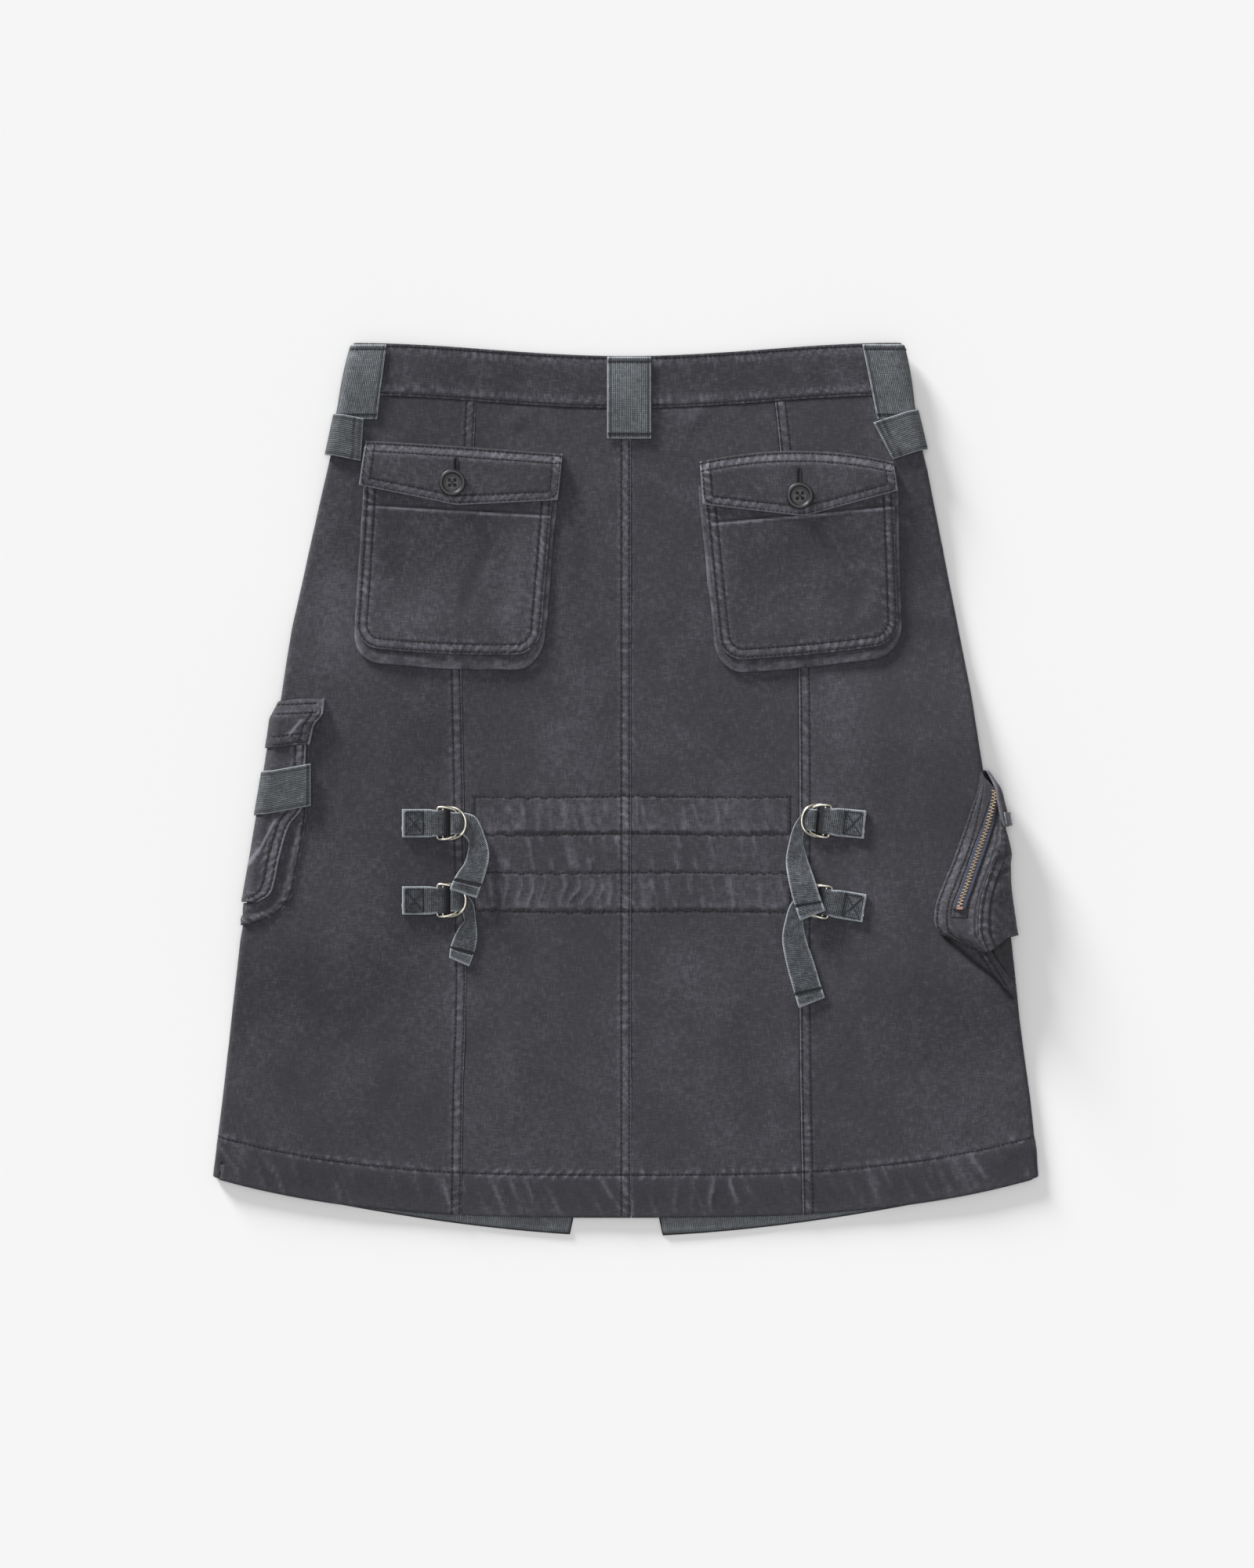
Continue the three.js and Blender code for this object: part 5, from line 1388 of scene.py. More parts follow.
@dataclass
class BackPocket:
    """A buttoned back pocket with a flap and a folded gusset."""

    skirt: Skirt
    side: int
    face: FaceShape
    flap: FlapShape
    gusset: GussetShape
    button: tuple[float, float]
    slit: tuple[float, float]
    hem_line: tuple[tuple[float, float], tuple[float, float]]
    fold: tuple[tuple[float, float], tuple[float, float]]
    corner: float = 16.0
    low_face: float = 3.2
    sag: float = -1.5
    low_button: float = 6.5

    # The button and its holes, in metres
    button_radius: float = 0.009
    button_height: float = 0.0021
    hole_radius: float = 0.00125
    hole_gap: float = 0.00175

    @property
    def name(self) -> str:
        """The pocket's part of its nodes' names."""
        return f"pocket_{side_name(self.side)}"

    def on_face(self, s: Array, t: Array) -> tuple[Array, Array, Array]:
        """Place of a point of the face.

        Args:
            s: Share across, from the left.
            t: Share down, from the top.

        Returns:
            Its x, its y and its height over the pocket's bottom.
        """
        face = self.face
        s, t = np.broadcast_arrays(np.asarray(s, dtype=float), np.asarray(t, dtype=float))
        left = mix(face.left, face.low_left, t)
        right = mix(face.right, face.low_right, t)
        height = mix(face.top_left, face.top_right, s) - mix(face.bottom_left, face.bottom_right, s)
        depth = (1 - t) * height
        short = self.corner - np.minimum(self.corner, depth)
        cut = self.corner - np.sqrt(np.maximum(self.corner ** 2 - short ** 2, 0))
        across = (cut + s * (right - left - 2 * cut)) / (right - left)
        top = mix(face.top_left, face.top_right, across)
        low = mix(face.bottom_left, face.bottom_right, across) - face.bow * 4 * across * (1 - across)
        return mix(left, right, across), mix(top, low, t), depth

    def border(self, inset: float) -> Array:
        """The face's sides and bottom as a line, moved inwards."""
        falls = np.concatenate([np.linspace(0.03, 0.85, 30), 1 - 0.15 * np.linspace(1, 0, 24)[1:] ** 1.6])
        left = line_of(*self.on_face(0.0, falls)[:2])
        low = line_of(*self.on_face(np.linspace(0, 1, 30)[1:-1], 1.0)[:2])
        right = line_of(*self.on_face(1.0, falls[::-1])[:2])
        line = np.concatenate([left, low, right])
        run = np.gradient(line, axis=0)
        run /= np.maximum(np.linalg.norm(run, axis=1, keepdims=True), 1e-9)
        return line + inset * line_of(-run[:, 1], run[:, 0])

    def make_face(self) -> None:
        """The pocket's front, sunk a little in its middle."""
        across = spaced((0, 0.006, 0.006), (0.006, 0.12, 0.012), (0.12, 0.88, 0.017), (0.88, 0.994, 0.012),
                        (0.994, 1, 0.006))
        down = spaced((0, 0.15, 0.018), (0.15, 0.27, 0.008), (0.27, 0.85, 0.018), (0.85, 0.99, 0.01),
                      (0.99, 1, 0.005))
        s, t = fitted(across, 3)[None, :], fitted(down, 3)[:, None]
        x, y, depth = self.on_face(s, t)
        inside = smooth((s - 0.1) / 0.15) * smooth((0.9 - s) / 0.15) * smooth((depth - 14) / 24)
        sag = self.sag * inside * smooth((t - 0.22) / 0.3)
        piece = Piece(self.name + "_face", POCKET_CANVAS, Held.LAID, seed=61 + self.side, swell=0.5, pitch=26)
        (x1, y1), (x2, y2) = self.hem_line
        piece.lines = [
            SeamLine(self.border(4.6), gap=5.3, groove=0.26, pucker=0.34, pitch=5.6, reach=2.4, wear=0.46),
            mark(straight((x1, y1), (x2, y2)), -0.25, 0.4, pucker=0.1, reach=1.6, wear=0.2),
            # The groove over the hem's fold and the long fold's valley are darkened with painted shade, and the
            # ridge beside that fold gets a faint painted highlight.
            mark(straight((x1, y1 + 1.6), (x2, y2 + 1.6)), 0.3, -0.35),
            mark(straight(*self.fold), 0.4, -0.07, reach=8, width=5),
            mark(straight(*self.fold) + [6, 1], -0.4, 0.06, reach=10, width=6),
        ]
        relief, tone = piece.relief(x, y)
        outer = self.skirt.on_back(x, y, self.low_face + CLOTH + sag, np.clip(rimmed(relief), -0.6, 1.2))
        inner = self.skirt.on_back(x[::3, ::3], y[::3, ::3], self.low_face + sag[::3, ::3])
        piece.make(outer, inner, tone)

    def make_gusset(self) -> None:
        """The folded strip between the back and the face, with its loose fold showing below."""
        path = self.border(0.0)
        run = np.gradient(path, axis=0)
        run /= np.linalg.norm(run, axis=1, keepdims=True)
        out = line_of(run[:, 1], -run[:, 0])
        beside = np.where(out[:, 0] < 0, self.gusset.left, self.gusset.right)
        peek = beside * out[:, 0] ** 2 + self.gusset.bottom * out[:, 1] ** 2
        creases = Creases(71 + self.side)
        along = summed(np.linalg.norm(np.diff(path, axis=0), axis=1))
        peek = peek + np.minimum(peek, 3) * 0.16 * creases.noise(along / 13, along * 0 + 2)
        hidden = -5.0
        section = [(hidden, 0.65), (-0.9, 0.65), (-0.3, 1.05), (0.0, 1.75), (-0.3, 2.45), (-0.9, 2.85),
                   (-3.0, 2.9), (hidden, 2.85), (hidden, 1.85), (-2.2, 1.75), (hidden, 1.65)]
        rings = []
        for offset, lift in section:
            free = offset > hidden
            reach = peek + offset if free else hidden + 0 * peek
            crease = 0.22 * creases.noise(along / 9, along * 0 + 5) if lift > 2.4 and free else 0
            rings.append(self.skirt.on_back(path[:, 0] + reach * out[:, 0], path[:, 1] + reach * out[:, 1],
                                            lift + crease))
        grid = np.stack(rings, axis=1)
        count = len(section)
        numbers = np.arange(grid.shape[0] * count).reshape(grid.shape[0], count)
        closed = np.concatenate([numbers, numbers[:, :1]], axis=1)
        faces = [tuple(face) for face in Mesh.quads(closed).tolist()]
        faces += [tuple(int(v) for v in numbers[0]), tuple(int(v) for v in numbers[-1][::-1])]
        uv = np.stack(np.broadcast_arrays(along[:, None], np.linspace(0, 20, count)), axis=-1)
        uneven = (0.6 + 0.6 * creases.noise(along / 7, along * 0 + 1))[:, None]
        tone = 0.35 * dab(np.arange(count) - 4.5, 1.2)[None, :] * uneven
        piece = Piece(self.name + "_gusset", POCKET_CANVAS, Held.FOLDED)
        thing = Mesh.build(piece.name + "_cloth", grid.reshape(-1, 3), faces, uv.reshape(-1, 2), tone.ravel())
        dress(thing, piece.finish, piece.name)

    def flap_place(self, s: Array, t: Array) -> tuple[Array, Array, Array]:
        """Place of a point of the flap.

        Args:
            s: Share across, from the left.
            t: Share down, from the top.

        Returns:
            Its x, y and lift of the lower face.
        """
        flap = self.flap
        s, t = np.broadcast_arrays(np.asarray(s, dtype=float), np.asarray(t, dtype=float))
        high = mix(flap.top_left, flap.top_right, s) + flap.bow * 4 * s * (1 - s)
        apex = flap.apex
        low = np.where(s < apex, mix(flap.bottom_left, flap.bottom_apex, s / apex),
                       mix(flap.bottom_apex, flap.bottom_right, (s - apex) / (1 - apex)))
        x = mix(mix(flap.left, flap.low_left, t), mix(flap.right, flap.low_right, t), s)
        y = mix(high, low, t)
        return x, y, 0.5 + 4.3 * smooth((high - y) / 10.5)

    def flap_border(self, inset: float) -> Array:
        """The flap's sides and lower edge as a line, moved inwards."""
        depth = np.linspace(0.05, 1, 12)
        left = line_of(*self.flap_place(0.0, depth)[:2]) + [inset, 0]
        s = np.linspace(0, 1, 41)
        low = line_of(*self.flap_place(s, 1.0)[:2]) + [0, inset]
        right = line_of(*self.flap_place(1.0, depth[::-1])[:2]) - [inset, 0]
        low = low[(low[:, 0] > left[-1, 0]) & (low[:, 0] < right[0, 0])]
        left = left[left[:, 1] > low[0, 1]]
        right = right[right[:, 1] > low[-1, 1]]
        return np.concatenate([left, low, right])

    def make_flap(self) -> None:
        """The flap, sewn along its top and lifted over the pocket."""
        s = fitted(spaced((0, 0.006, 0.006), (0.006, 0.994, 0.0115), (0.994, 1, 0.006)), 3)[None, :]
        t = fitted(spaced((0, 0.98, 0.028), (0.98, 1, 0.02)), 3)[:, None]
        x, y, lift = self.flap_place(s, t)
        bx, by = self.slit
        piece = Piece(self.name + "_flap", POCKET_CANVAS, Held.LAID, seed=65 + self.side, swell=0.34, pitch=24)
        top = line_of(*self.flap_place(np.linspace(0, 1, 30), 0.0)[:2])
        piece.lines = [
            SeamLine(self.flap_border(3.9), gap=5.0, groove=0.24, pucker=0.26, pitch=6, reach=1.6, wear=0.5),
            SeamLine(top - [0, 4.3], gap=5.4, groove=0.24, pucker=0.26, pitch=5.4, reach=1.6, wear=0.42),
            # The buttonhole's slit, darkened with painted shade.
            mark(straight((bx, by + 3.0), (bx, by + 14.5)), 0.7, -1.4),
        ]
        relief, tone = piece.relief(x, y)
        edge_gap = np.minimum(np.minimum(s, 1 - s) * 128, (1 - t) * 32) + 0 * x
        tone = tone + 0.5 * dab(edge_gap, 1.3)
        outer = self.skirt.on_back(x, y, lift + POCKET_FLAP, np.clip(rimmed(relief, 0.35), -0.7, 1.0))
        inner = self.skirt.on_back(x[::3, ::3], y[::3, ::3], lift[::3, ::3])
        SEWING.hole(piece.make(outer, inner, tone), bx, by + 14.0, by + 3.0)

    def make_button(self) -> None:
        """Four-hole button with a raised rim and a sunk middle."""
        x, y = self.button
        low = float(self.skirt.on_back(x, y, self.low_button)[2]) * METRE
        at = (x * METRE, y * METRE)
        bpy.ops.object.select_all(action="DESELECT")
        bpy.ops.mesh.primitive_cylinder_add(vertices=48, radius=self.button_radius, depth=self.button_height,
                                            location=(*at, low + self.button_height / 2))
        thing = bpy.context.active_object
        thing.name = self.name + "_horn"
        bpy.ops.object.transform_apply(location=True)
        bpy.ops.object.mode_set(mode="EDIT")
        bpy.ops.mesh.select_mode(type="FACE")
        bpy.ops.mesh.select_all(action="DESELECT")
        bpy.ops.object.mode_set(mode="OBJECT")
        for face in thing.data.polygons:
            face.select = face.normal.z > 0.9
        bpy.ops.object.mode_set(mode="EDIT")
        rings = ((0.0007, 0.0007), (0.0013, 0.0002), (0.0009, -0.0011), (0.0006, -0.0002), (0.0008, 0.0003))
        for inset, rise in rings:
            bpy.ops.mesh.inset(thickness=inset, depth=rise)
        bpy.ops.object.mode_set(mode="OBJECT")
        self.finish(thing, "BEVEL", width=0.00022, segments=2, limit_method="ANGLE")
        for dx in (-1, 1):
            for dy in (-1, 1):
                spot = (at[0] + dx * self.hole_gap, at[1] + dy * self.hole_gap, low + 0.001)
                bpy.ops.object.select_all(action="DESELECT")
                bpy.ops.mesh.primitive_cylinder_add(vertices=16, radius=self.hole_radius, depth=0.008,
                                                    location=spot)
                drill = bpy.context.active_object
                self.finish(thing, "BOOLEAN", operation="DIFFERENCE", object=drill, solver="EXACT")
                bpy.data.objects.remove(drill, do_unlink=True)
        select_only(thing)
        bpy.ops.object.shade_smooth_by_angle(angle=math.radians(35))
        dress(thing, HORN, self.name + "_button")
        for turn in (45, 135):
            angle = math.radians(turn)
            for part in (-0.9, 0.9):
                spot = np.array([x + part * math.cos(angle), y + part * math.sin(angle), low / METRE + 2.75])
                way = np.array([math.cos(angle), math.sin(angle), 0.0])
                SEWING.laid.append((spot, way, np.array([0.0, 0.0, 1.0]), 1.2))
        log.info("%s: button", self.name)

    @staticmethod
    def finish(thing: Thing, kind: str, **settings: object) -> None:
        """Adds a modifier with its settings and applies it."""
        select_only(thing)
        modifier = thing.modifiers.new("finish", kind)
        for name, value in settings.items():
            setattr(modifier, name, value)
        bpy.ops.object.modifier_apply(modifier=modifier.name)

    def build(self) -> None:
        """Makes the pocket's pieces."""
        self.make_gusset()
        self.make_face()
        self.make_flap()
        self.make_button()


LEFT_POCKET = dict(
    face=FaceShape(left=-174, right=-47.5, top_left=219, top_right=213, low_left=-182, low_right=-58,
                   bottom_left=95.5, bottom_right=90.5, bow=2.5),
    flap=FlapShape(left=-174.4, right=-42.4, top_left=233.4, top_right=225, bow=0.5, apex=0.49, low_left=-178.7,
                   low_right=-45.5, bottom_left=203.4, bottom_apex=190.3, bottom_right=193.7),
    gusset=GussetShape(left=0.8, bottom=10, right=3),
    button=(-116.2, 205.1),
    slit=(-113.7, 207.0),
    hem_line=((-172.5, 189), (-51, 182.5)),
    fold=((-90, 165), (-108, 124)),
)
RIGHT_POCKET = dict(
    face=FaceShape(left=51, right=179.5, top_left=207.5, top_right=206.5, low_left=63.5, low_right=183.5,
                   bottom_left=86, bottom_right=97.5, bow=1.5),
    flap=FlapShape(left=49.6, right=179.2, top_left=219.8, top_right=219.2, bow=7.4, apex=0.52, low_left=51.6,
                   low_right=182.2, bottom_left=190.8, bottom_apex=182.9, bottom_right=199.7),
    gusset=GussetShape(left=3, bottom=8.5, right=2.6),
    button=(116.6, 196.4),
    slit=(116.1, 200.0),
    hem_line=((57.5, 177.4), (178.5, 188.3)),
    fold=((164, 142), (153, 117)),
)


@dataclass
class Webbing:
    """Belt loops and hip tabs of wide webbing."""

    skirt: Skirt
    loop_turn: float = 1.9
    tab_lift: float = 2.7
    tab_reach: float = 36.0

    def centre_loop(self) -> None:
        """Belt loop at the centre back."""
        s, t = np.linspace(0, 1, 31)[None, :], np.linspace(0, 1, 49)[:, None]
        x, y = mix(-12.5, 17.0, s) + 0 * t, mix(290.2, 235.3, t) + 0 * s
        arch = 1.25 + 1.1 * np.sin(np.pi * t)
        self.strip("belt_loop_centre", x, y, arch, lambda lift: self.skirt.on_back(x, y, lift), s, t)

    def strip(self, name: str, x: Array, y: Array, lift: Array, place: Callable[[Array], Array], s: Array,
              t: Array, mirror: int = 1) -> None:
        """Makes a strip of webbing whose ends and edges are worn pale.

        Args:
            name: The node that it stands for.
            x: Places across, for its creases.
            y: Heights, for its creases.
            lift: Lift of its lower face.
            place: Gives the points for a lift.
            s: Share across the strip.
            t: Share along the strip.
            mirror: The side that its places across are measured to.
        """
        piece = Piece(name, LOOP_WEBBING, Held.FOLDED, seed=len(name) * 7, swell=0.2, pitch=18, mirror=mirror)
        relief, tone = piece.relief(x, y)
        tone = tone + worn_edge_and_shade(np.minimum(s, 1 - s) * 30) + worn_edge_and_shade(np.minimum(t, 1 - t) * 55)
        # Painted shade in a line 3.2 mm in from each end, at each end's fold.
        tone = tone - 0.4 * dab(np.minimum(t, 1 - t) * 55 - 3.2, 0.5)
        piece.lines = [SeamLine(line_of(x[row], y[row]), wear=0) for row in (3, -4)]
        outer = place(lift + WEBBING + np.maximum(rimmed(relief, 0.3), -0.4))
        inner = place(lift + 0 * relief)[::3, ::3]
        piece.make(outer, inner, tone)

    def side_loop(self, side: int, top: float, bottom: float) -> None:
        """Belt loop at a side, which goes over the side fold."""
        s, t = np.linspace(0, 1, 34)[None, :], np.linspace(0, 1, 49)[:, None]
        y = mix(298.0, 248.0, t) + 0 * s
        end = self.skirt.flat(side, y) + self.loop_turn * FOLD_RADIUS
        girth = mix(mix(top, bottom, t), end, s)
        lift = 0.95 + 0.9 * np.sin(np.pi * np.minimum(1, t / 0.8))
        self.strip(f"belt_loop_{side_name(side)}", girth, y, lift,
                   lambda high: self.skirt.place(side, girth, y, high), s, t, side)

    def hip_tab(self, side: int, top: tuple[float, float], low: tuple[float, float], slope: float) -> None:
        """Tab that comes out under a belt loop and goes round the side."""
        s = np.linspace(0, 1, 25)[:, None]
        reach = spaced((0, 1, 1 / 12), (1, 2, 1 / 9), (2, 3, 1 / 12))[None, :]
        inner_girth, inner_y = mix(top[0], low[0], s), mix(top[1], low[1], s)
        flat = self.skirt.flat(side, inner_y + 4)
        turn = math.pi * FOLD_RADIUS
        along = np.where(reach <= 1, (flat - inner_girth) * reach,
                         flat - inner_girth + turn * np.clip(reach - 1, 0, 1)
                         + self.tab_reach * np.clip(reach - 2, 0, 1))
        girth, y = inner_girth + along, inner_y + np.minimum(along, 40) * slope
        piece = Piece(f"hip_tab_{side_name(side)}", WRAP_WEBBING, Held.FOLDED, seed=81 + side, swell=0.18, pitch=18)
        relief, tone = piece.relief(girth, y)
        tone = tone + worn_edge_and_shade(np.minimum(s, 1 - s) * 29) + worn_edge_and_shade(along)
        # Painted shade in a line 6 mm in from the tab's end.
        tone = tone - 0.35 * dab(along - 6.0, 0.6)
        outer = self.skirt.place(side, girth, y, self.tab_lift + WEBBING, np.clip(rimmed(relief, 0.3), -0.4, 0.6))
        inner = self.skirt.place(side, girth, y, self.tab_lift)[::3, ::3]
        piece.make(outer, inner, tone)

    def build(self) -> None:
        """Makes the loops and tabs."""
        self.centre_loop()
        self.side_loop(-1, 160.5, 166.8)
        self.side_loop(1, 158.6, 168.5)
        self.hip_tab(-1, (175.6, 248.2), (177.6, 219.7), 0.2)
        self.hip_tab(1, (165.8, 245.5), (178.7, 220.8), 0.33)


@dataclass
class Buckle:
    """A folded webbing patch, two wire rings and the strap threaded through them."""

    skirt: Skirt
    name: str
    side: int
    x: float
    y: float
    tilt: float
    tail: Array
    patch_length: float = 32.0
    patch_width: float = 19.0
    wire: float = 0.9
    ring_length: float = 15.5
    ring_half: float = 10.9
    square: float = 3.2
    strap_half: float = 0.6

    # Heights of the rings from the bar to the bow: along, rear, front
    ring_heights = np.array([
        (0, 2.65, 2.65), (0.8, 3.0, 2.15), (2.4, 3.75, 1.95), (4.6, 4.35, 1.95), (6.6, 4.4, 2.3),
        (9.5, 4.1, 3.7), (12.5, 3.2, 5.2), (15.5, 3.1, 5.5),
    ])

    # The threaded part of the strap: along, lift, half width, bow
    threading = np.array([
        (11.5, 1.25, 6.6, 0), (8, 1.25, 7.6, 0), (3.2, 1.25, 8.0, 0), (1.5, 1.45, 7.8, 0), (0.98, 2.4, 7.6, 0),
        (0.98, 3.8, 7.6, 0), (1.9, 5.2, 7.6, 0.25), (4.2, 5.55, 7.3, 0.7), (6.8, 5.3, 7.2, 1),
        (8.8, 4.1, 7.2, 1), (10.6, 2.95, 7.4, 1),
    ])

    def place(self, along: Array, across: Array, lift: Array) -> Array:
        """Point by its distance from the patch's fold towards the middle of the skirt."""
        turn = math.radians(self.tilt)
        dx = -self.side * np.asarray(along, dtype=float)
        x = self.x + dx * math.cos(turn) - across * math.sin(turn)
        y = self.y + dx * math.sin(turn) + across * math.cos(turn)
        return self.skirt.on_back(x, y, lift)

    def bow(self, across: Array) -> Array:
        """How far the strap bends with the rings' round end."""
        share = np.minimum(0.98, np.abs(across) / self.ring_half)
        return self.ring_length * (1 - (1 - share * share) ** (1 / self.square))

    def make_patch(self) -> None:
        """The patch, folded over the rings' bars."""
        length = self.patch_length
        outer = [(-length, 0.3), (-13, 0.3), (-2.5, 0.3), (-0.7, 1.0), (0, 2.65), (-0.7, 4.3), (-2.5, 5.0),
                 (-12.5, 5.0), (-20, 3.0), (-length, 3.0)]
        inner = [(-length, 1.5), (-20, 1.5), (-3.3, 1.5), (-2.3, 1.9), (-1.9, 2.65), (-2.3, 3.4), (-3.3, 3.85),
                 (-13, 3.85), (-20, 1.8), (-length, 1.8)]
        outer_line, inner_line = (resampled(np.array(line, dtype=float), 61) for line in (outer, inner))
        across = fitted(spaced((-0.5, 0.5, 1 / 24)), 4)[None, :]
        creases = Creases(91 + len(self.name) + abs(int(self.x)))

        def grid(line: Array, fine: bool) -> Array:
            """Points of the patch over its bent line, uneven where they are fine."""
            u, lift = line[:, 0][:, None], line[:, 1][:, None]
            width = self.patch_width - 1.4 * smooth((u + 14) / 5)
            v = across * width
            uneven = 0.12 * creases.noise(v / 6, u / 6) if fine else 0.0
            frayed = 0.35 * creases.noise(v / 1.7, 0 * u + 3) * dab(u + length, 1.2) if fine else 0.0
            return self.place(u + frayed, v, lift + uneven * (lift > 2.7))

        top, low = grid(outer_line, True), grid(inner_line, False)
        u = outer_line[:, 0][:, None] + 0 * across
        upper = (outer_line[:, 1] > 2.7)[:, None]
        edge_gap = (0.5 - np.abs(across)) * self.patch_width
        tone = 0.8 * dab(u + length, 1.3) + 0.7 * dab(edge_gap, 0.9) * (u < -8)
        # Painted shade where the patch bends round the rings' bars.
        tone = (tone - 0.45 * dab(u, 3.4)) * upper
        piece = Piece(f"buckle_{self.name}_patch", STRAP_WEBBING, Held.FOLDED)
        thing = piece.make(top, low[::4, ::4], tone)
        near, far, half = -18.0, 2.0 - length, 7.6
        corners = [(near, -half), (near, half), (far, half), (far, -half), (near, -half)]
        for first, second in (*zip(corners, corners[1:]), (corners[0], corners[2]), (corners[1], corners[3])):
            line = self.place(np.array([first[0], second[0]]), np.array([first[1], second[1]]), 5.0)[:, :2]
            SEWING.row(thing, line, 2.3)

    def make_strap(self) -> None:
        """The strap, round the rings and hanging down over the skirt."""
        across = self.side * fitted(spaced((-1, 1, 2 / 22)), 2)
        table = self.threading
        threaded = np.stack([self.place(row[0] - row[3] * self.bow(across * row[2]), across * row[2], row[1])
                             for row in table])
        share = (across + 1) / 2
        tail = np.stack([self.skirt.on_back(mix(row[2], row[0], share), mix(row[3], row[1], share), row[4])
                         for row in self.tail])
        middle = curved(np.concatenate([threaded, tail]), 8)
        rows = len(middle)
        steps = np.linalg.norm(np.diff(middle[:, len(across) // 2], axis=0), axis=1)
        along = summed(steps)
        creases = Creases(95 + len(self.name) + abs(int(self.y)))
        free = smooth((along - 34) / 12)[:, None]
        normal = normals_of(middle)
        half = np.full((rows, 1), self.strap_half)
        end_gap = (along[-1] - along)[:, None]
        ripple = 0.18 * creases.noise(along[:, None] / 7, across[None, :] * 1.5) * free
        turned_end = 0.55 * dab(end_gap - 3.0, 4.0, 4) * (end_gap < 8)
        outer = middle + normal * (half + ripple + turned_end + rimmed(0 * ripple, 0.2))[..., None]
        inner = middle - normal * (half + 0 * ripple)[..., None]
        edge_gap = (1 - np.abs(across))[None, :] * 9.5
        tone = 0.7 * dab(edge_gap, 0.8) + 0.8 * dab(end_gap, 1.1) + 0 * ripple
        # Painted shade in a line where the turned end stops, 8.2 mm from the end, beside a pale worn line at its
        # raw edge.
        tone = tone - 0.8 * dab(end_gap - 8.2, 0.8) + 0.4 * dab(end_gap - 6.9, 0.6)
        piece = Piece(f"buckle_{self.name}_strap", STRAP_WEBBING, Held.FOLDED)
        keep = (rows - 1) // 2 * 2 + 1
        thing = piece.make(outer[:keep], inner[:keep:2, ::2], tone[:keep])
        row = int(np.argmin(np.abs(end_gap[:, 0] - 7.2)))
        SEWING.row(thing, outer[row, 1:-1, :2], 2.3)

    def ring_path(self, ring: Ring, bar: float) -> Array:
        """Middle line of a ring.

        Args:
            ring: Which ring.
            bar: Where the ring's straight bar lies along the buckle.

        Returns:
            Points round the ring, in millimetres.
        """
        outline = [(0, -4.5), (0, 0), (0, 4.5), (0, 8.8), (0.4, 10.2), (1.6, self.ring_half - 0.1)]
        for share in (0.24, 0.35, 0.46, 0.55, 0.64, 0.72, 0.79, 0.85, 0.9, 0.94, 0.97, 0.99):
            outline.append((self.ring_length * share, self.ring_half * math.sqrt(1 - share ** self.square)))
        outline.append((self.ring_length, 0))
        mirrored = [(u, -v) for u, v in outline[3:-1]][::-1]
        line = np.array([*outline, *mirrored], dtype=float)
        return self.place(bar + line[:, 0], line[:, 1], read(self.ring_heights, line[:, 0], ring.value))

    def make_ring(self, ring: Ring, bar: float) -> None:
        """One wire ring, made as a round wire along a closed curve."""
        word = ring.name.lower()
        path = self.ring_path(ring, bar)
        curve = bpy.data.curves.new(f"ring_{self.name}_{word}", "CURVE")
        curve.dimensions = "3D"
        curve.bevel_depth = self.wire * METRE
        curve.bevel_resolution = 3
        spline = curve.splines.new("NURBS")
        spline.points.add(len(path) - 1)
        for point, at in zip(spline.points, path * METRE):
            point.co = (*at, 1.0)
        spline.use_cyclic_u = True
        spline.order_u = 3
        spline.resolution_u = 4
        thing = bpy.data.objects.new(f"ring_{self.name}_{word}", curve)
        bpy.context.scene.collection.objects.link(thing)
        select_only(thing)
        bpy.ops.object.convert(target="MESH")
        bpy.ops.object.shade_smooth()
        thing = bpy.context.view_layer.objects.active
        dress(thing, NICKEL, f"buckle_{self.name}_ring_{word}")

    def build(self) -> None:
        """Makes the buckle's pieces."""
        self.make_patch()
        self.make_ring(Ring.REAR, -8.6)
        self.make_ring(Ring.FRONT, -4.9)
        self.make_strap()
        log.info("buckle_%s: patch, two rings and strap", self.name)


def resampled(line: Array, count: int) -> Array:
    """Spreads points evenly along a line."""
    sums = summed(np.linalg.norm(np.diff(line, axis=0), axis=1))
    at = np.linspace(0, sums[-1], count)
    return np.stack([np.interp(at, sums, line[:, i]) for i in range(line.shape[1])], axis=1)


def curved(rows: Array, steps: int) -> Array:
    """Adds rows between rows along smooth curves through them."""
    padded = np.concatenate([2 * rows[:1] - rows[1:2], rows, 2 * rows[-1:] - rows[-2:-1]])
    result = []
    for i in range(1, len(padded) - 2):
        a, b, c, d = padded[i - 1:i + 3]
        for t in np.arange(steps) / steps:
            result.append(0.5 * (2 * b + (c - a) * t + (2 * a - 5 * b + 4 * c - d) * t ** 2
                                 + (3 * b - 3 * c + d - a) * t ** 3))
    return np.stack([*result, padded[-2]])


def normals_of(grid: Array) -> Array:
    """Unit normals of a grid of points."""
    down = np.gradient(grid, axis=0)
    across = np.gradient(grid, axis=1)
    normal = np.cross(across, down)
    return normal / np.maximum(np.linalg.norm(normal, axis=2, keepdims=True), 1e-9)


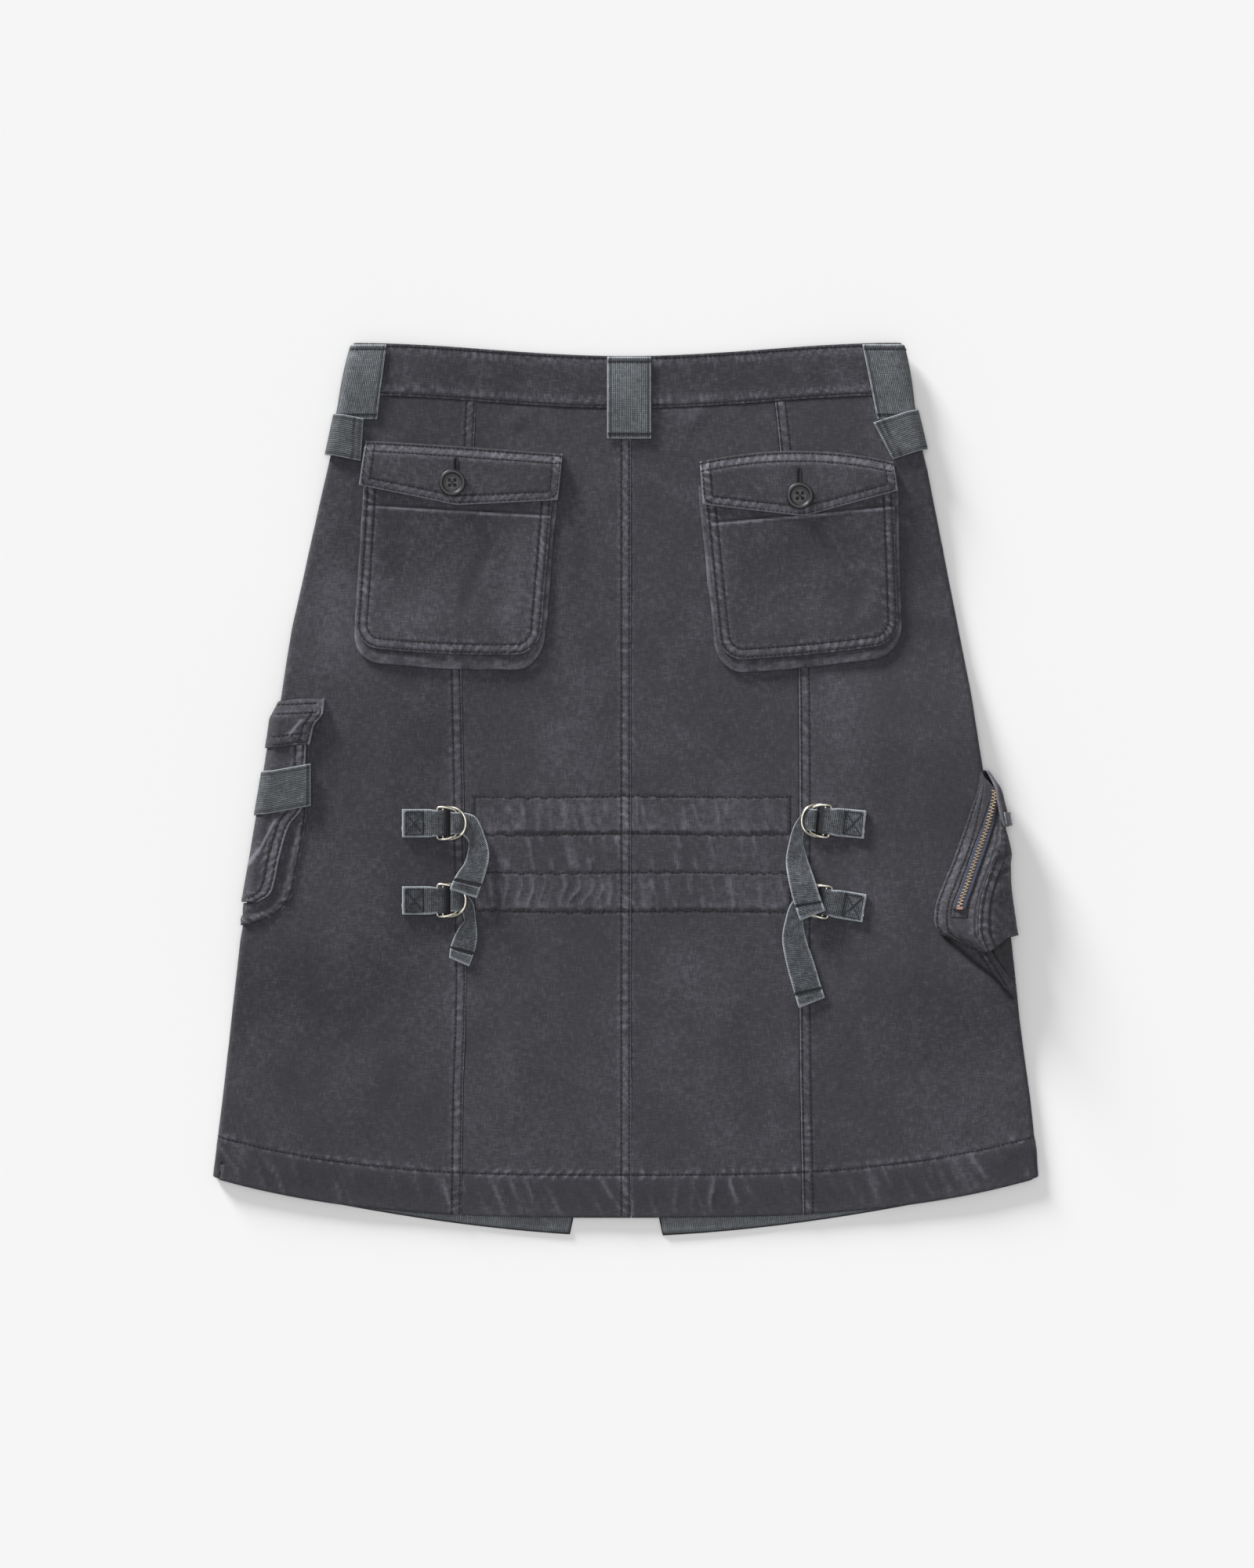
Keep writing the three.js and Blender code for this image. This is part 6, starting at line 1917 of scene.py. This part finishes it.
# Buckles: name, side, place across and height of the patch's fold, tilt in degrees, and the rows of the
# strap's tail as outer x, outer y, inner x, inner y, lift
BUCKLES = (
    ("ul", -1, -118, -22.9, 0, [
        (-100.8, -18.6, -105.6, -35.6, 2.9), (-95.2, -29.7, -106.2, -42.5, 3.0), (-91.6, -43.4, -108.2, -49.6, 3.8),
        (-94.0, -56.6, -112.4, -55.6, 6.2), (-97.1, -65.6, -115.6, -61.0, 7.6),
        (-99.9, -73.2, -118.0, -67.0, 7.7)]),
    ("ll", -1, -118, -74.7, 0, [
        (-102.6, -76.0, -108.6, -88.6, 2.9), (-100.8, -87.0, -111.0, -91.6, 2.6),
        (-99.7, -98.2, -114.2, -96.8, 2.0), (-100.9, -106.6, -116.8, -102.9, 1.7),
        (-102.6, -112.2, -118.0, -107.6, 1.7), (-105.2, -119.2, -118.6, -113.4, 1.7)]),
    ("ur", 1, 128.4, -21.0, -5, [
        (113.2, -23.9, 118.9, -35.4, 2.9), (109.4, -36.1, 120.9, -43.4, 3.0), (107.4, -48.7, 123.9, -52.6, 3.6),
        (109.2, -62.4, 127.3, -62.9, 7.3), (112.4, -75.5, 130.6, -73.4, 8.1), (116.6, -88.2, 133.7, -81.3, 8.1)]),
    ("lr", 1, 128.4, -74.9, -9, [
        (111.0, -76.6, 118.9, -89.2, 2.9), (107.1, -87.6, 119.8, -95.0, 2.6), (105.0, -100.8, 122.1, -104.0, 2.0),
        (107.6, -116.6, 126.3, -115.9, 1.7), (111.8, -132.4, 130.3, -129.3, 1.7),
        (116.1, -147.0, 133.7, -139.9, 1.7)]),
)


@dataclass
class LeftCargoPocket:
    """The left cargo pocket, round the side fold."""

    skirt: Skirt
    reach: float = 60.0
    strap_start: float = 210.8
    strap_top: float = 17.1
    strap_low: float = -11.3
    strap_slope: float = 0.18

    # Face rows: height, girth of its edge
    face_rows = np.array([
        (47, 213.6), (25, 214.0), (0, 215.6), (-13.4, 217.0), (-25, 225.5), (-47, 232.0), (-60, 234.6),
        (-70, 238.0), (-75.6, 246.5),
    ])

    # Gusset rows: girth, height, girth of the face's edge, its height
    gusset_rows = np.array([
        (212.0, 30, 213.8, 30), (212.6, 10, 214.6, 10), (213.6, -13, 217.0, -13), (216.0, -34, 226.5, -27),
        (219.7, -53.4, 232.4, -47), (223.0, -69, 237.6, -66), (229.0, -79.5, 245.0, -73),
        (240.5, -87.0, 246.5, -77), (251.0, -90.6, 252.0, -78), (257.0, -91.2, 258.0, -78),
        (262.5, -91.2, 263.0, -78),
    ])

    # Flap rows: height, girth of its edge, lift
    flap_rows = np.array([
        (60.5, 201.8, 1.7), (55, 202.0, 3.6), (49.5, 203.2, 5.7), (43, 208.2, 5.7), (36, 210.0, 5.7),
        (29.6, 211.4, 5.7),
    ])

    def shares(self) -> Array:
        """Shares across the pieces that go round the side."""
        return fitted(spaced((0, 0.03, 0.03), (0.03, 1, 0.045), (1, 2, 0.1), (2, 3, 0.06)), 3)[None, :]

    def wrap(self, name: str, rows: Array, lift: Array, thickness: float, finish: ClothFinish, seed: int,
             lines: list[SeamLine], droop: float = 0.0, swell: float = 0.4) -> None:
        """A piece that starts on the back and ends underneath.

        Args:
            name: The node that it stands for.
            rows: Height and starting girth of each row.
            lift: Lift of its outer face by row.
            thickness: Its wall.
            finish: Its cloth.
            seed: Its own unevenness.
            lines: Its rows of sewing.
            droop: How far it falls away to the side.
            swell: Depth of its creases.
        """
        share = self.shares()
        y0, start = rows[:, 0][:, None], rows[:, 1][:, None]
        girth = self.skirt.around(-1, start, y0, share, self.reach)
        y = y0 - droop * smooth((girth - 215) / 25)
        piece = Piece(name, finish, Held.FOLDED, seed=seed, swell=swell, pitch=20, lines=lines, mirror=-1)
        relief, tone = piece.relief(girth, y)
        edge_gap = girth - start
        tone = tone + 0.5 * dab(edge_gap, 1.4)
        outer = self.skirt.place(-1, girth, y, lift[:, None], np.clip(rimmed(relief, 0.3), -0.5, 0.9))
        inner = self.skirt.place(-1, girth, y, lift[:, None] - thickness)[::3, ::3]
        piece.make(outer, inner, tone)

    def build(self) -> None:
        """Makes the pocket's four pieces."""
        rows = resampled_rows(self.face_rows, 76)
        edge = line_of(rows[:, 1], rows[:, 0])
        lines = [SeamLine(edge + [2.0, 0.6], groove=0.25, pucker=0.25, pitch=5.5, wear=0.5),
                 SeamLine(edge + [7.2, 2.0], groove=0.25, pucker=0.22, pitch=6.5),
                 mark(straight((235, -22), (241, -33), (250, -51)), -0.5, 0.6, wear=0.2, reach=3)]
        self.wrap("cargo_left_face", rows, np.full(len(rows), 4.1), CANVAS, POCKET_CANVAS, 101, lines)
        flap = resampled_rows(self.flap_rows, 34)
        edge = line_of(flap[:, 1], flap[:, 0])
        along = np.linspace(213, 236, 20)
        low = line_of(along, 29.6 - 2.2 * smooth((along - 215) / 25))
        high = line_of(np.linspace(207, 234, 20), np.linspace(57.6, 56.4, 20))
        lines = [SeamLine(edge[8:] + [2.2, 0], reach=2, wear=0.4), SeamLine(edge[8:] + [7.6, 0], reach=2, wear=0.4),
                 SeamLine(low + [0, 2.2], reach=2, wear=0.4), SeamLine(low + [0, 7.6], reach=2, wear=0.4),
                 SeamLine(high, reach=2, wear=0.3), SeamLine(high - [0, 6.2], reach=2, wear=0.3),
                 mark(straight((217, 46), (225, 36)), -0.4, 0.6, wear=0.2)]
        self.wrap("cargo_left_flap", flap, flap[:, 2], CARGO_FLAP, POCKET_CANVAS, 103, lines, droop=2.2)
        self.gusset()
        self.strap()

    def gusset(self) -> None:
        """The loose gathered cloth between the back and the face."""
        rows = resampled_rows(self.gusset_rows, 61)
        s = fitted(spaced((0, 1.12, 0.045)), 4)[None, :]
        lift = np.interp(s, (0, 0.3, 0.55, 0.8, 1.12), (1.3, 2.5, 1.5, 2.1, 2.35))
        girth = mix(rows[:, 0][:, None], rows[:, 2][:, None] + 1.5, s)
        y = mix(rows[:, 1][:, None], rows[:, 3][:, None], s)
        edge = rows[:, :2]
        piece = Piece("cargo_left_gusset", POCKET_CANVAS, Held.FOLDED, seed=105, swell=0.34, pitch=14, mirror=-1,
                      lines=[SeamLine(edge + [1.4, 0.4], groove=0.2, pucker=0.28, pitch=6, wear=0.6)])
        relief, tone = piece.relief(girth, y)
        outer = self.skirt.place(-1, girth, y, lift, np.clip(rimmed(relief), -0.4, 0.5))
        inner = self.skirt.place(-1, girth, y, lift - CLOTH)[::4, ::4]
        piece.make(outer, inner, tone)

    def strap(self) -> None:
        """Wide webbing across the pocket."""
        down = np.linspace(0, 1, 25)[:, None]
        reach = fitted(spaced((0, 1, 0.04), (1, 2, 0.1), (2, 3, 0.08)), 3)[None, :]

        def level(girth: Array | float) -> Array:
            """Heights of the webbing's rows at a girth."""
            fall = self.strap_slope * np.minimum(40, girth - self.strap_start)
            return mix(self.strap_top, self.strap_low, down) - fall

        flat = self.skirt.flat(-1, level(237.0))
        girth = np.where(reach <= 1, mix(self.strap_start, flat, reach),
                         flat + math.pi * FOLD_RADIUS * np.clip(reach - 1, 0, 1)
                         + self.reach * np.clip(reach - 2, 0, 1))
        y = level(girth)
        gap = girth - self.strap_start
        lift = 3.3 + 1.1 * smooth(gap / 2.8)
        piece = Piece("cargo_left_strap", WRAP_WEBBING, Held.FOLDED, seed=107, swell=0.22, pitch=16)
        relief, tone = piece.relief(girth, y)
        tone = tone + worn_edge_and_shade(np.minimum(down, 1 - down) * 28) + worn_edge_and_shade(gap)
        outer = self.skirt.place(-1, girth, y, lift + WEBBING, np.clip(rimmed(relief, 0.3), -0.4, 0.5))
        inner = self.skirt.place(-1, girth, y, lift)[::3, ::3]
        piece.make(outer, inner, tone)


def resampled_rows(rows: Array, count: int) -> Array:
    """Adds rows between a table's rows along smooth curves, evenly by number."""
    at = np.linspace(0, len(rows) - 1, count)
    fine = curved(rows[:, None, :].astype(float), 12)[:, 0]
    return np.stack([np.interp(at, np.arange(len(fine)) / 12, fine[:, i]) for i in range(rows.shape[1])], axis=1)


@dataclass
class RightCargoPocket:
    """The right cargo pocket, whose standing side carries the zip."""

    skirt: Skirt
    reach: float = 60.0
    tooth_step: float = 1.12

    # A tooth of the zip: across, along and up, in metres
    tooth: tuple[float, float, float] = (0.0023, 0.00075, 0.0011)

    # Rows: base girth, base height, edge's place across, edge height, lift, zip share, rise of the face
    rows = np.array([
        (237.6, 12.0, 240.2, 8, 3.0, 0.95, 0), (236.0, 0, 247.2, -0.9, 8.0, 0.95, 0),
        (231.5, -13, 249.7, -13, 8.5, 0.74, 0), (227.6, -24.4, 250.8, -24.4, 9.0, 0.625, 0),
        (223.5, -36, 249.6, -36, 10.0, 0.56, 0), (218.5, -49.5, 244.8, -50, 11.0, 0.56, 0),
        (212.0, -65, 239.3, -65, 11.6, 0.585, 0.5), (207.3, -79, 236.0, -79, 11.6, 0.555, 1.5),
        (208.5, -94, 235.5, -95.8, 11.6, 0.54, 3), (226.0, -104, 238.3, -104, 11.2, 0.5, 7),
        (240.3, -109.4, 240.3, -108.6, 10.6, 0.5, 11),
    ])

    # Flap rows: height, lift, starting turn
    flap_rows = np.array([
        (12.5, 3.6, 0.9), (7, 6.6, 0.8), (0, 10.0, 0.7), (-9, 10.9, 0.62), (-18, 11.4, 0.62), (-25, 11.2, 0.72),
    ])

    def row_value(self, t: Array, column: int) -> Array:
        """A column of the rows at a number of rows down, eased between them."""
        fine = resampled_rows(self.rows, 201)[:, column]
        return np.interp(t, np.linspace(0, len(self.rows) - 1, 201), fine)

    def zip_share(self, t: Array) -> Array:
        """Share across the standing side at which the zip lies."""
        return self.row_value(t, 5)

    def edge_girth(self, x: Array, y: Array, lift: Array) -> Array:
        """Girth of a place across, also where it stands out over the side fold."""
        flat = self.skirt.flat(1, y)
        past = np.clip((x - flat) / (FOLD_RADIUS + lift), 0, 0.98)
        return np.where(x <= flat, x, flat + FOLD_RADIUS * np.arcsin(past))

    def on_gusset(self, s: Array, t: Array) -> Array:
        """Point of the standing side, from its base to the pocket's edge."""
        s, t = np.broadcast_arrays(np.asarray(s, dtype=float), np.asarray(t, dtype=float))
        at = [self.row_value(t, i) for i in range(5)]
        base = self.skirt.place(1, at[0], at[1], 0.3 + CLOTH)
        top = self.skirt.place(1, self.edge_girth(at[2], at[3], at[4]), at[3], at[4])
        point = mix(base, top, s[..., None])
        point[..., 2] += 1.2 * np.sin(np.pi * s)
        return point

    def gusset(self) -> None:
        """The standing side."""
        s = fitted(spaced((0, 0.03, 0.03), (0.03, 1, 0.03)), 3)[None, :]
        t = fitted(spaced((0, 10, 0.13)), 3)[:, None]
        middle = self.on_gusset(s, t)
        piece = Piece("cargo_right_gusset", POCKET_CANVAS, Held.FOLDED, seed=111, swell=0.3, pitch=16)
        flat = np.stack([s * 30 + 0 * t, t * 12 + 0 * s], axis=-1)
        zip_at = self.zip_share(t)
        # Rows of sewing: place across, groove, pucker, pitch, reach and wear; each darkens its groove with painted
        # shade.
        rows = ((2.0, 0.25, 0.35, 5, 4, 0.36), (8.5, 0.25, 0.3, 6, 3, 0.24), (27.5, 0.2, 0.25, 6, 4, 0.36))
        piece.lines = [
            mark(straight((u, 0), (u, 120)), groove, -0.3, pucker=pucker, pitch=pitch, reach=reach, wear=wear)
            for u, groove, pucker, pitch, reach, wear in rows
        ]
        relief, tone = piece.relief(flat[..., 0], flat[..., 1])
        quiet = 1 - dab(s - zip_at, 0.26, 4)
        normal = -normals_of(middle)
        normal *= np.sign(normal[..., 2:3] + 1e-9)
        outer = middle + normal * (np.clip(relief, -0.5, 0.5) * quiet)[..., None]
        inner = middle[::3, ::3].copy()
        inner[..., 2] -= CLOTH
        inner[-1] = middle[-1, ::3] + [0, 1.1, -0.2]
        thing = piece.make(outer, inner, tone)
        down = np.linspace(1.4, 9.6, 120)
        for inset in (0.065, 0.28):
            SEWING.row(thing, self.on_gusset(inset, down)[:, :2], 3.0)
        down = np.linspace(1.6, 7.35, 90)
        for beside in (-0.19, 0.19):
            SEWING.row(thing, self.on_gusset(self.zip_share(down) + beside, down)[:, :2], 2.6)
        ends = self.zip_share(7.4) + np.linspace(-0.19, 0.19, 9)
        SEWING.row(thing, self.on_gusset(ends, 7.4)[:, :2], 2.3)

    def zip_tape(self) -> None:
        """The tape that the zip's teeth stand on."""
        t = fitted(spaced((1.0, 7.1, 0.08)), 4)[:, None]
        zip_at = self.zip_share(t)
        s = zip_at + np.linspace(-0.15, 0.15, 13)[None, :]
        middle = self.on_gusset(s, t)
        normal = normals_of(middle)
        normal *= np.sign(normal[..., 2:3])
        piece = Piece("zip_tape", ZIP_CLOTH, Held.LAID, seed=113, swell=0.05)
        outer, inner = middle + normal * 1.1, middle[::4, ::4] + normal[::4, ::4] * 0.35
        piece.make(outer, inner, piece.relief(s * 30, t * 12)[1])

    def teeth(self) -> None:
        """The zip's teeth, one modelled and the rest copied, turn about on each side."""
        bpy.ops.object.select_all(action="DESELECT")
        bpy.ops.mesh.primitive_cube_add(size=1)
        tooth = bpy.context.active_object
        bpy.ops.transform.resize(value=self.tooth)
        bpy.ops.object.transform_apply(scale=True)
        BackPocket.finish(tooth, "BEVEL", width=0.00025, segments=1)
        shape = np.array([vertex.co for vertex in tooth.data.vertices]) / METRE
        faces = [tuple(face.vertices) for face in tooth.data.polygons]
        bpy.data.objects.remove(tooth, do_unlink=True)
        t = np.linspace(1.0, 7.0, 400)
        line = self.on_gusset(self.zip_share(t), t)
        sums = summed(np.linalg.norm(np.diff(line, axis=0), axis=1))
        points, every = [], []
        for i, at in enumerate(np.arange(0.4, sums[-1] - 0.4, self.tooth_step)):
            spot = np.array([np.interp(at, sums, line[:, k]) for k in range(3)])
            ahead = np.array([np.interp(at + 0.3, sums, line[:, k]) for k in range(3)])
            run = (ahead - spot) / np.linalg.norm(ahead - spot)
            share = float(np.interp(at, sums, t))
            low, high = (self.on_gusset(np.array(s), np.array(share)) for s in (0.4, 0.6))
            side = (high - low) / np.linalg.norm(high - low)
            up = np.cross(side, run)
            up = up * np.sign(up[2])
            centre = spot + up * 1.35 + side * (0.75 if i % 2 else -0.75)
            every += [tuple(v + len(points) * len(shape) for v in face) for face in faces]
            points.append(centre + shape[:, :1] * side + shape[:, 1:2] * run + shape[:, 2:] * up)
        count = len(points) * len(shape)
        thing = Mesh.build("zip_teeth", np.concatenate(points), every, np.zeros((count, 2)), np.zeros(count))
        thing.data.polygons.foreach_set("use_smooth", np.zeros(len(thing.data.polygons), dtype=bool))
        dress(thing, BRASS)
        log.info("zip: %d teeth", len(points))

    def face(self) -> None:
        """The pocket's front, which goes over the edge and round the side."""
        table = self.rows[2:].copy()
        table[:2, 4] = (7.4, 8.0)
        rows = resampled_rows(table, 70)
        x0, y0, lift0, rise = (rows[:, i][:, None] for i in (2, 3, 4, 6))
        girth0 = self.edge_girth(x0, y0, lift0 + 1.5)
        share = fitted(spaced((0, 0.04, 0.04), (0.04, 1, 0.06), (1, 2, 0.05), (2, 3, 0.06)), 3)[None, :]
        flat = self.skirt.flat(1, y0)
        past = np.where(girth0 > flat, 0.9, 0.0)
        girth = self.skirt.around(1, girth0 + past, y0, share, self.reach - 4)
        girth = np.where((share <= 1) & (past > 0), girth0 + share * past, girth)
        gone = smooth((girth - girth0) / (self.skirt.round_end(1, y0) - girth0))
        y = y0 + rise * smooth((girth - girth0) / 20)
        lift = mix(lift0 + 0.3, 2.9, gone)
        piece = Piece("cargo_right_face", POCKET_CANVAS, Held.FOLDED, seed=115, swell=0.4, pitch=18)
        edge = line_of(girth0[:, 0], y0[:, 0])
        piece.lines = [SeamLine(edge + [2.0, 0.3], groove=0.25, pucker=0.3, pitch=5.5, wear=0.42),
                       SeamLine(edge + [7.4, 1.0], groove=0.25, pucker=0.25, pitch=6.5, wear=0.3)]
        relief, tone = piece.relief(girth, y)
        outer = self.skirt.place(1, girth, y, lift + CANVAS, np.clip(rimmed(relief, 0.3), -0.5, 0.9))
        inner = self.skirt.place(1, girth, y, lift)[::3, ::3]
        piece.make(outer, inner, tone)

    def flap(self) -> None:
        """The flap at the top of the pocket, seen almost edge on."""
        rows = resampled_rows(self.flap_rows, 40)
        y, lift0, start = (rows[:, i][:, None] for i in range(3))
        reach = fitted(spaced((0, 0.04, 0.04), (0.04, 1, 0.05), (1, 2, 0.07)), 3)[None, :]
        flat = self.skirt.flat(1, y)
        turn = mix(start, math.pi, np.clip(reach, 0, 1))
        girth = flat + turn * FOLD_RADIUS + self.reach * np.clip(reach - 1, 0, 1)
        lift = mix(lift0, 4.6, smooth((turn - 1.2) / (math.pi - 1.2)))
        piece = Piece("cargo_right_flap", POCKET_CANVAS, Held.FOLDED, seed=117, swell=0.3, pitch=16)
        relief, tone = piece.relief(girth, y + 0 * girth)
        tone = tone + 0.45 * dab(turn - start, 0.25)
        outer = self.skirt.place(1, girth, y, lift, np.clip(rimmed(relief, 0.3), -0.4, 0.7))
        inner = self.skirt.place(1, girth, y, lift - CARGO_FLAP)[::3, ::3]
        piece.make(outer, inner, tone)

    def flap_tab(self) -> None:
        """Frayed end of webbing on the flap."""
        y, turn = np.linspace(-15.5, -24.5, 13)[:, None], np.linspace(0.8, 1.55, 13)[None, :]
        girth = self.skirt.flat(1, y) + turn * FOLD_RADIUS
        creases = Creases(119)
        fray = 0.5 * creases.noise(y / 1.1, 0 * turn) * (turn > 1.4)
        piece = Piece("cargo_right_flap_tab", LOOP_WEBBING, Held.FOLDED)
        outer = self.skirt.place(1, girth, y, 13.0 + fray)
        inner = self.skirt.place(1, girth, y, 11.8)[::3, ::3]
        piece.make(outer, inner, 0.6 * smooth((turn - 1.0) / 0.5) + 0 * girth)

    def build(self) -> None:
        """Makes the pocket's pieces."""
        self.gusset()
        self.zip_tape()
        self.teeth()
        self.face()
        self.flap()
        self.flap_tab()


@dataclass
class Studio:
    """Pale floor, soft light and the camera straight above."""

    frame_height: float = 1.0526
    lens: float = 100.0
    sky: float = 0.36
    overhead: float = 1.18
    key: float = 5.3
    key_height: float = 13.0
    key_bearing: float = 213.7
    floor_grey: float = 0.826
    sensor: float = 36.0
    aim: tuple[float, float, float] = (0.0008, 0.0034, 0.006)

    def build(self) -> None:
        """Makes the floor, the lights and the camera."""
        bpy.ops.object.select_all(action="DESELECT")
        bpy.ops.mesh.primitive_plane_add(size=30, location=(0, 0, 0))
        floor = bpy.context.active_object
        floor.name = "floor"
        material = bpy.data.materials.new("pale_floor")
        shader = Nodes(material).shader(roughness=0.95, specular=0.0)
        shader.inputs["Base Color"].default_value = (self.floor_grey, self.floor_grey, self.floor_grey, 1)
        floor.data.materials.append(material)
        world = bpy.data.worlds.new("studio")
        world.use_nodes = True
        background = world.node_tree.nodes["Background"]
        background.inputs["Color"].default_value = (1, 1, 1, 1)
        background.inputs["Strength"].default_value = self.sky
        bpy.context.scene.world = world
        self.sun("overhead", self.overhead, 40, 0)
        self.sun("key", self.key, 15, 90 - self.key_height)
        camera = bpy.data.cameras.new("camera")
        camera.lens = self.lens
        camera.clip_end = 50
        thing = bpy.data.objects.new("camera", camera)
        x, y, z = self.aim
        thing.location = (x, y, self.frame_height * self.lens / self.sensor + z)
        bpy.context.scene.collection.objects.link(thing)
        bpy.context.scene.camera = thing
        bpy.context.scene.view_settings.view_transform = "Standard"

    def sun(self, name: str, strength: float, spread: float, lean: float) -> None:
        """A far soft light from the upper left.

        Args:
            name: The light's name.
            strength: Its power.
            spread: How wide it looks, in degrees.
            lean: How far it leans from straight above, in degrees.
        """
        light = bpy.data.lights.new(name, "SUN")
        light.energy = strength
        light.angle = math.radians(spread)
        thing = bpy.data.objects.new(name, light)
        thing.rotation_euler = (math.radians(lean), 0, math.radians(self.key_bearing))
        bpy.context.scene.collection.objects.link(thing)


def carried_over(name: str, finish: HardFinish) -> None:
    """Gives a CAD node that stays its finish."""
    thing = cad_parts[name]
    thing.data.materials.clear()
    thing.data.materials.append(finish.material())


def main() -> None:
    """Builds the skirt piece by piece."""
    logging.basicConfig(level=logging.INFO, format="%(name)s: %(message)s")
    skirt = Skirt()
    Studio().build()
    Panels(skirt).build()
    Waistband(skirt).build()
    BackPocket(skirt, -1, **LEFT_POCKET).build()
    BackPocket(skirt, 1, **RIGHT_POCKET).build()
    Webbing(skirt).build()
    for name, side, x, y, tilt, tail in BUCKLES:
        Buckle(skirt, name, side, x, y, tilt, np.array(tail)).build()
    LeftCargoPocket(skirt).build()
    RightCargoPocket(skirt).build()
    carried_over("zip_stop", COPPER)
    SEWING.make()
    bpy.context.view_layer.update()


if __name__ == "__main__":
    main()
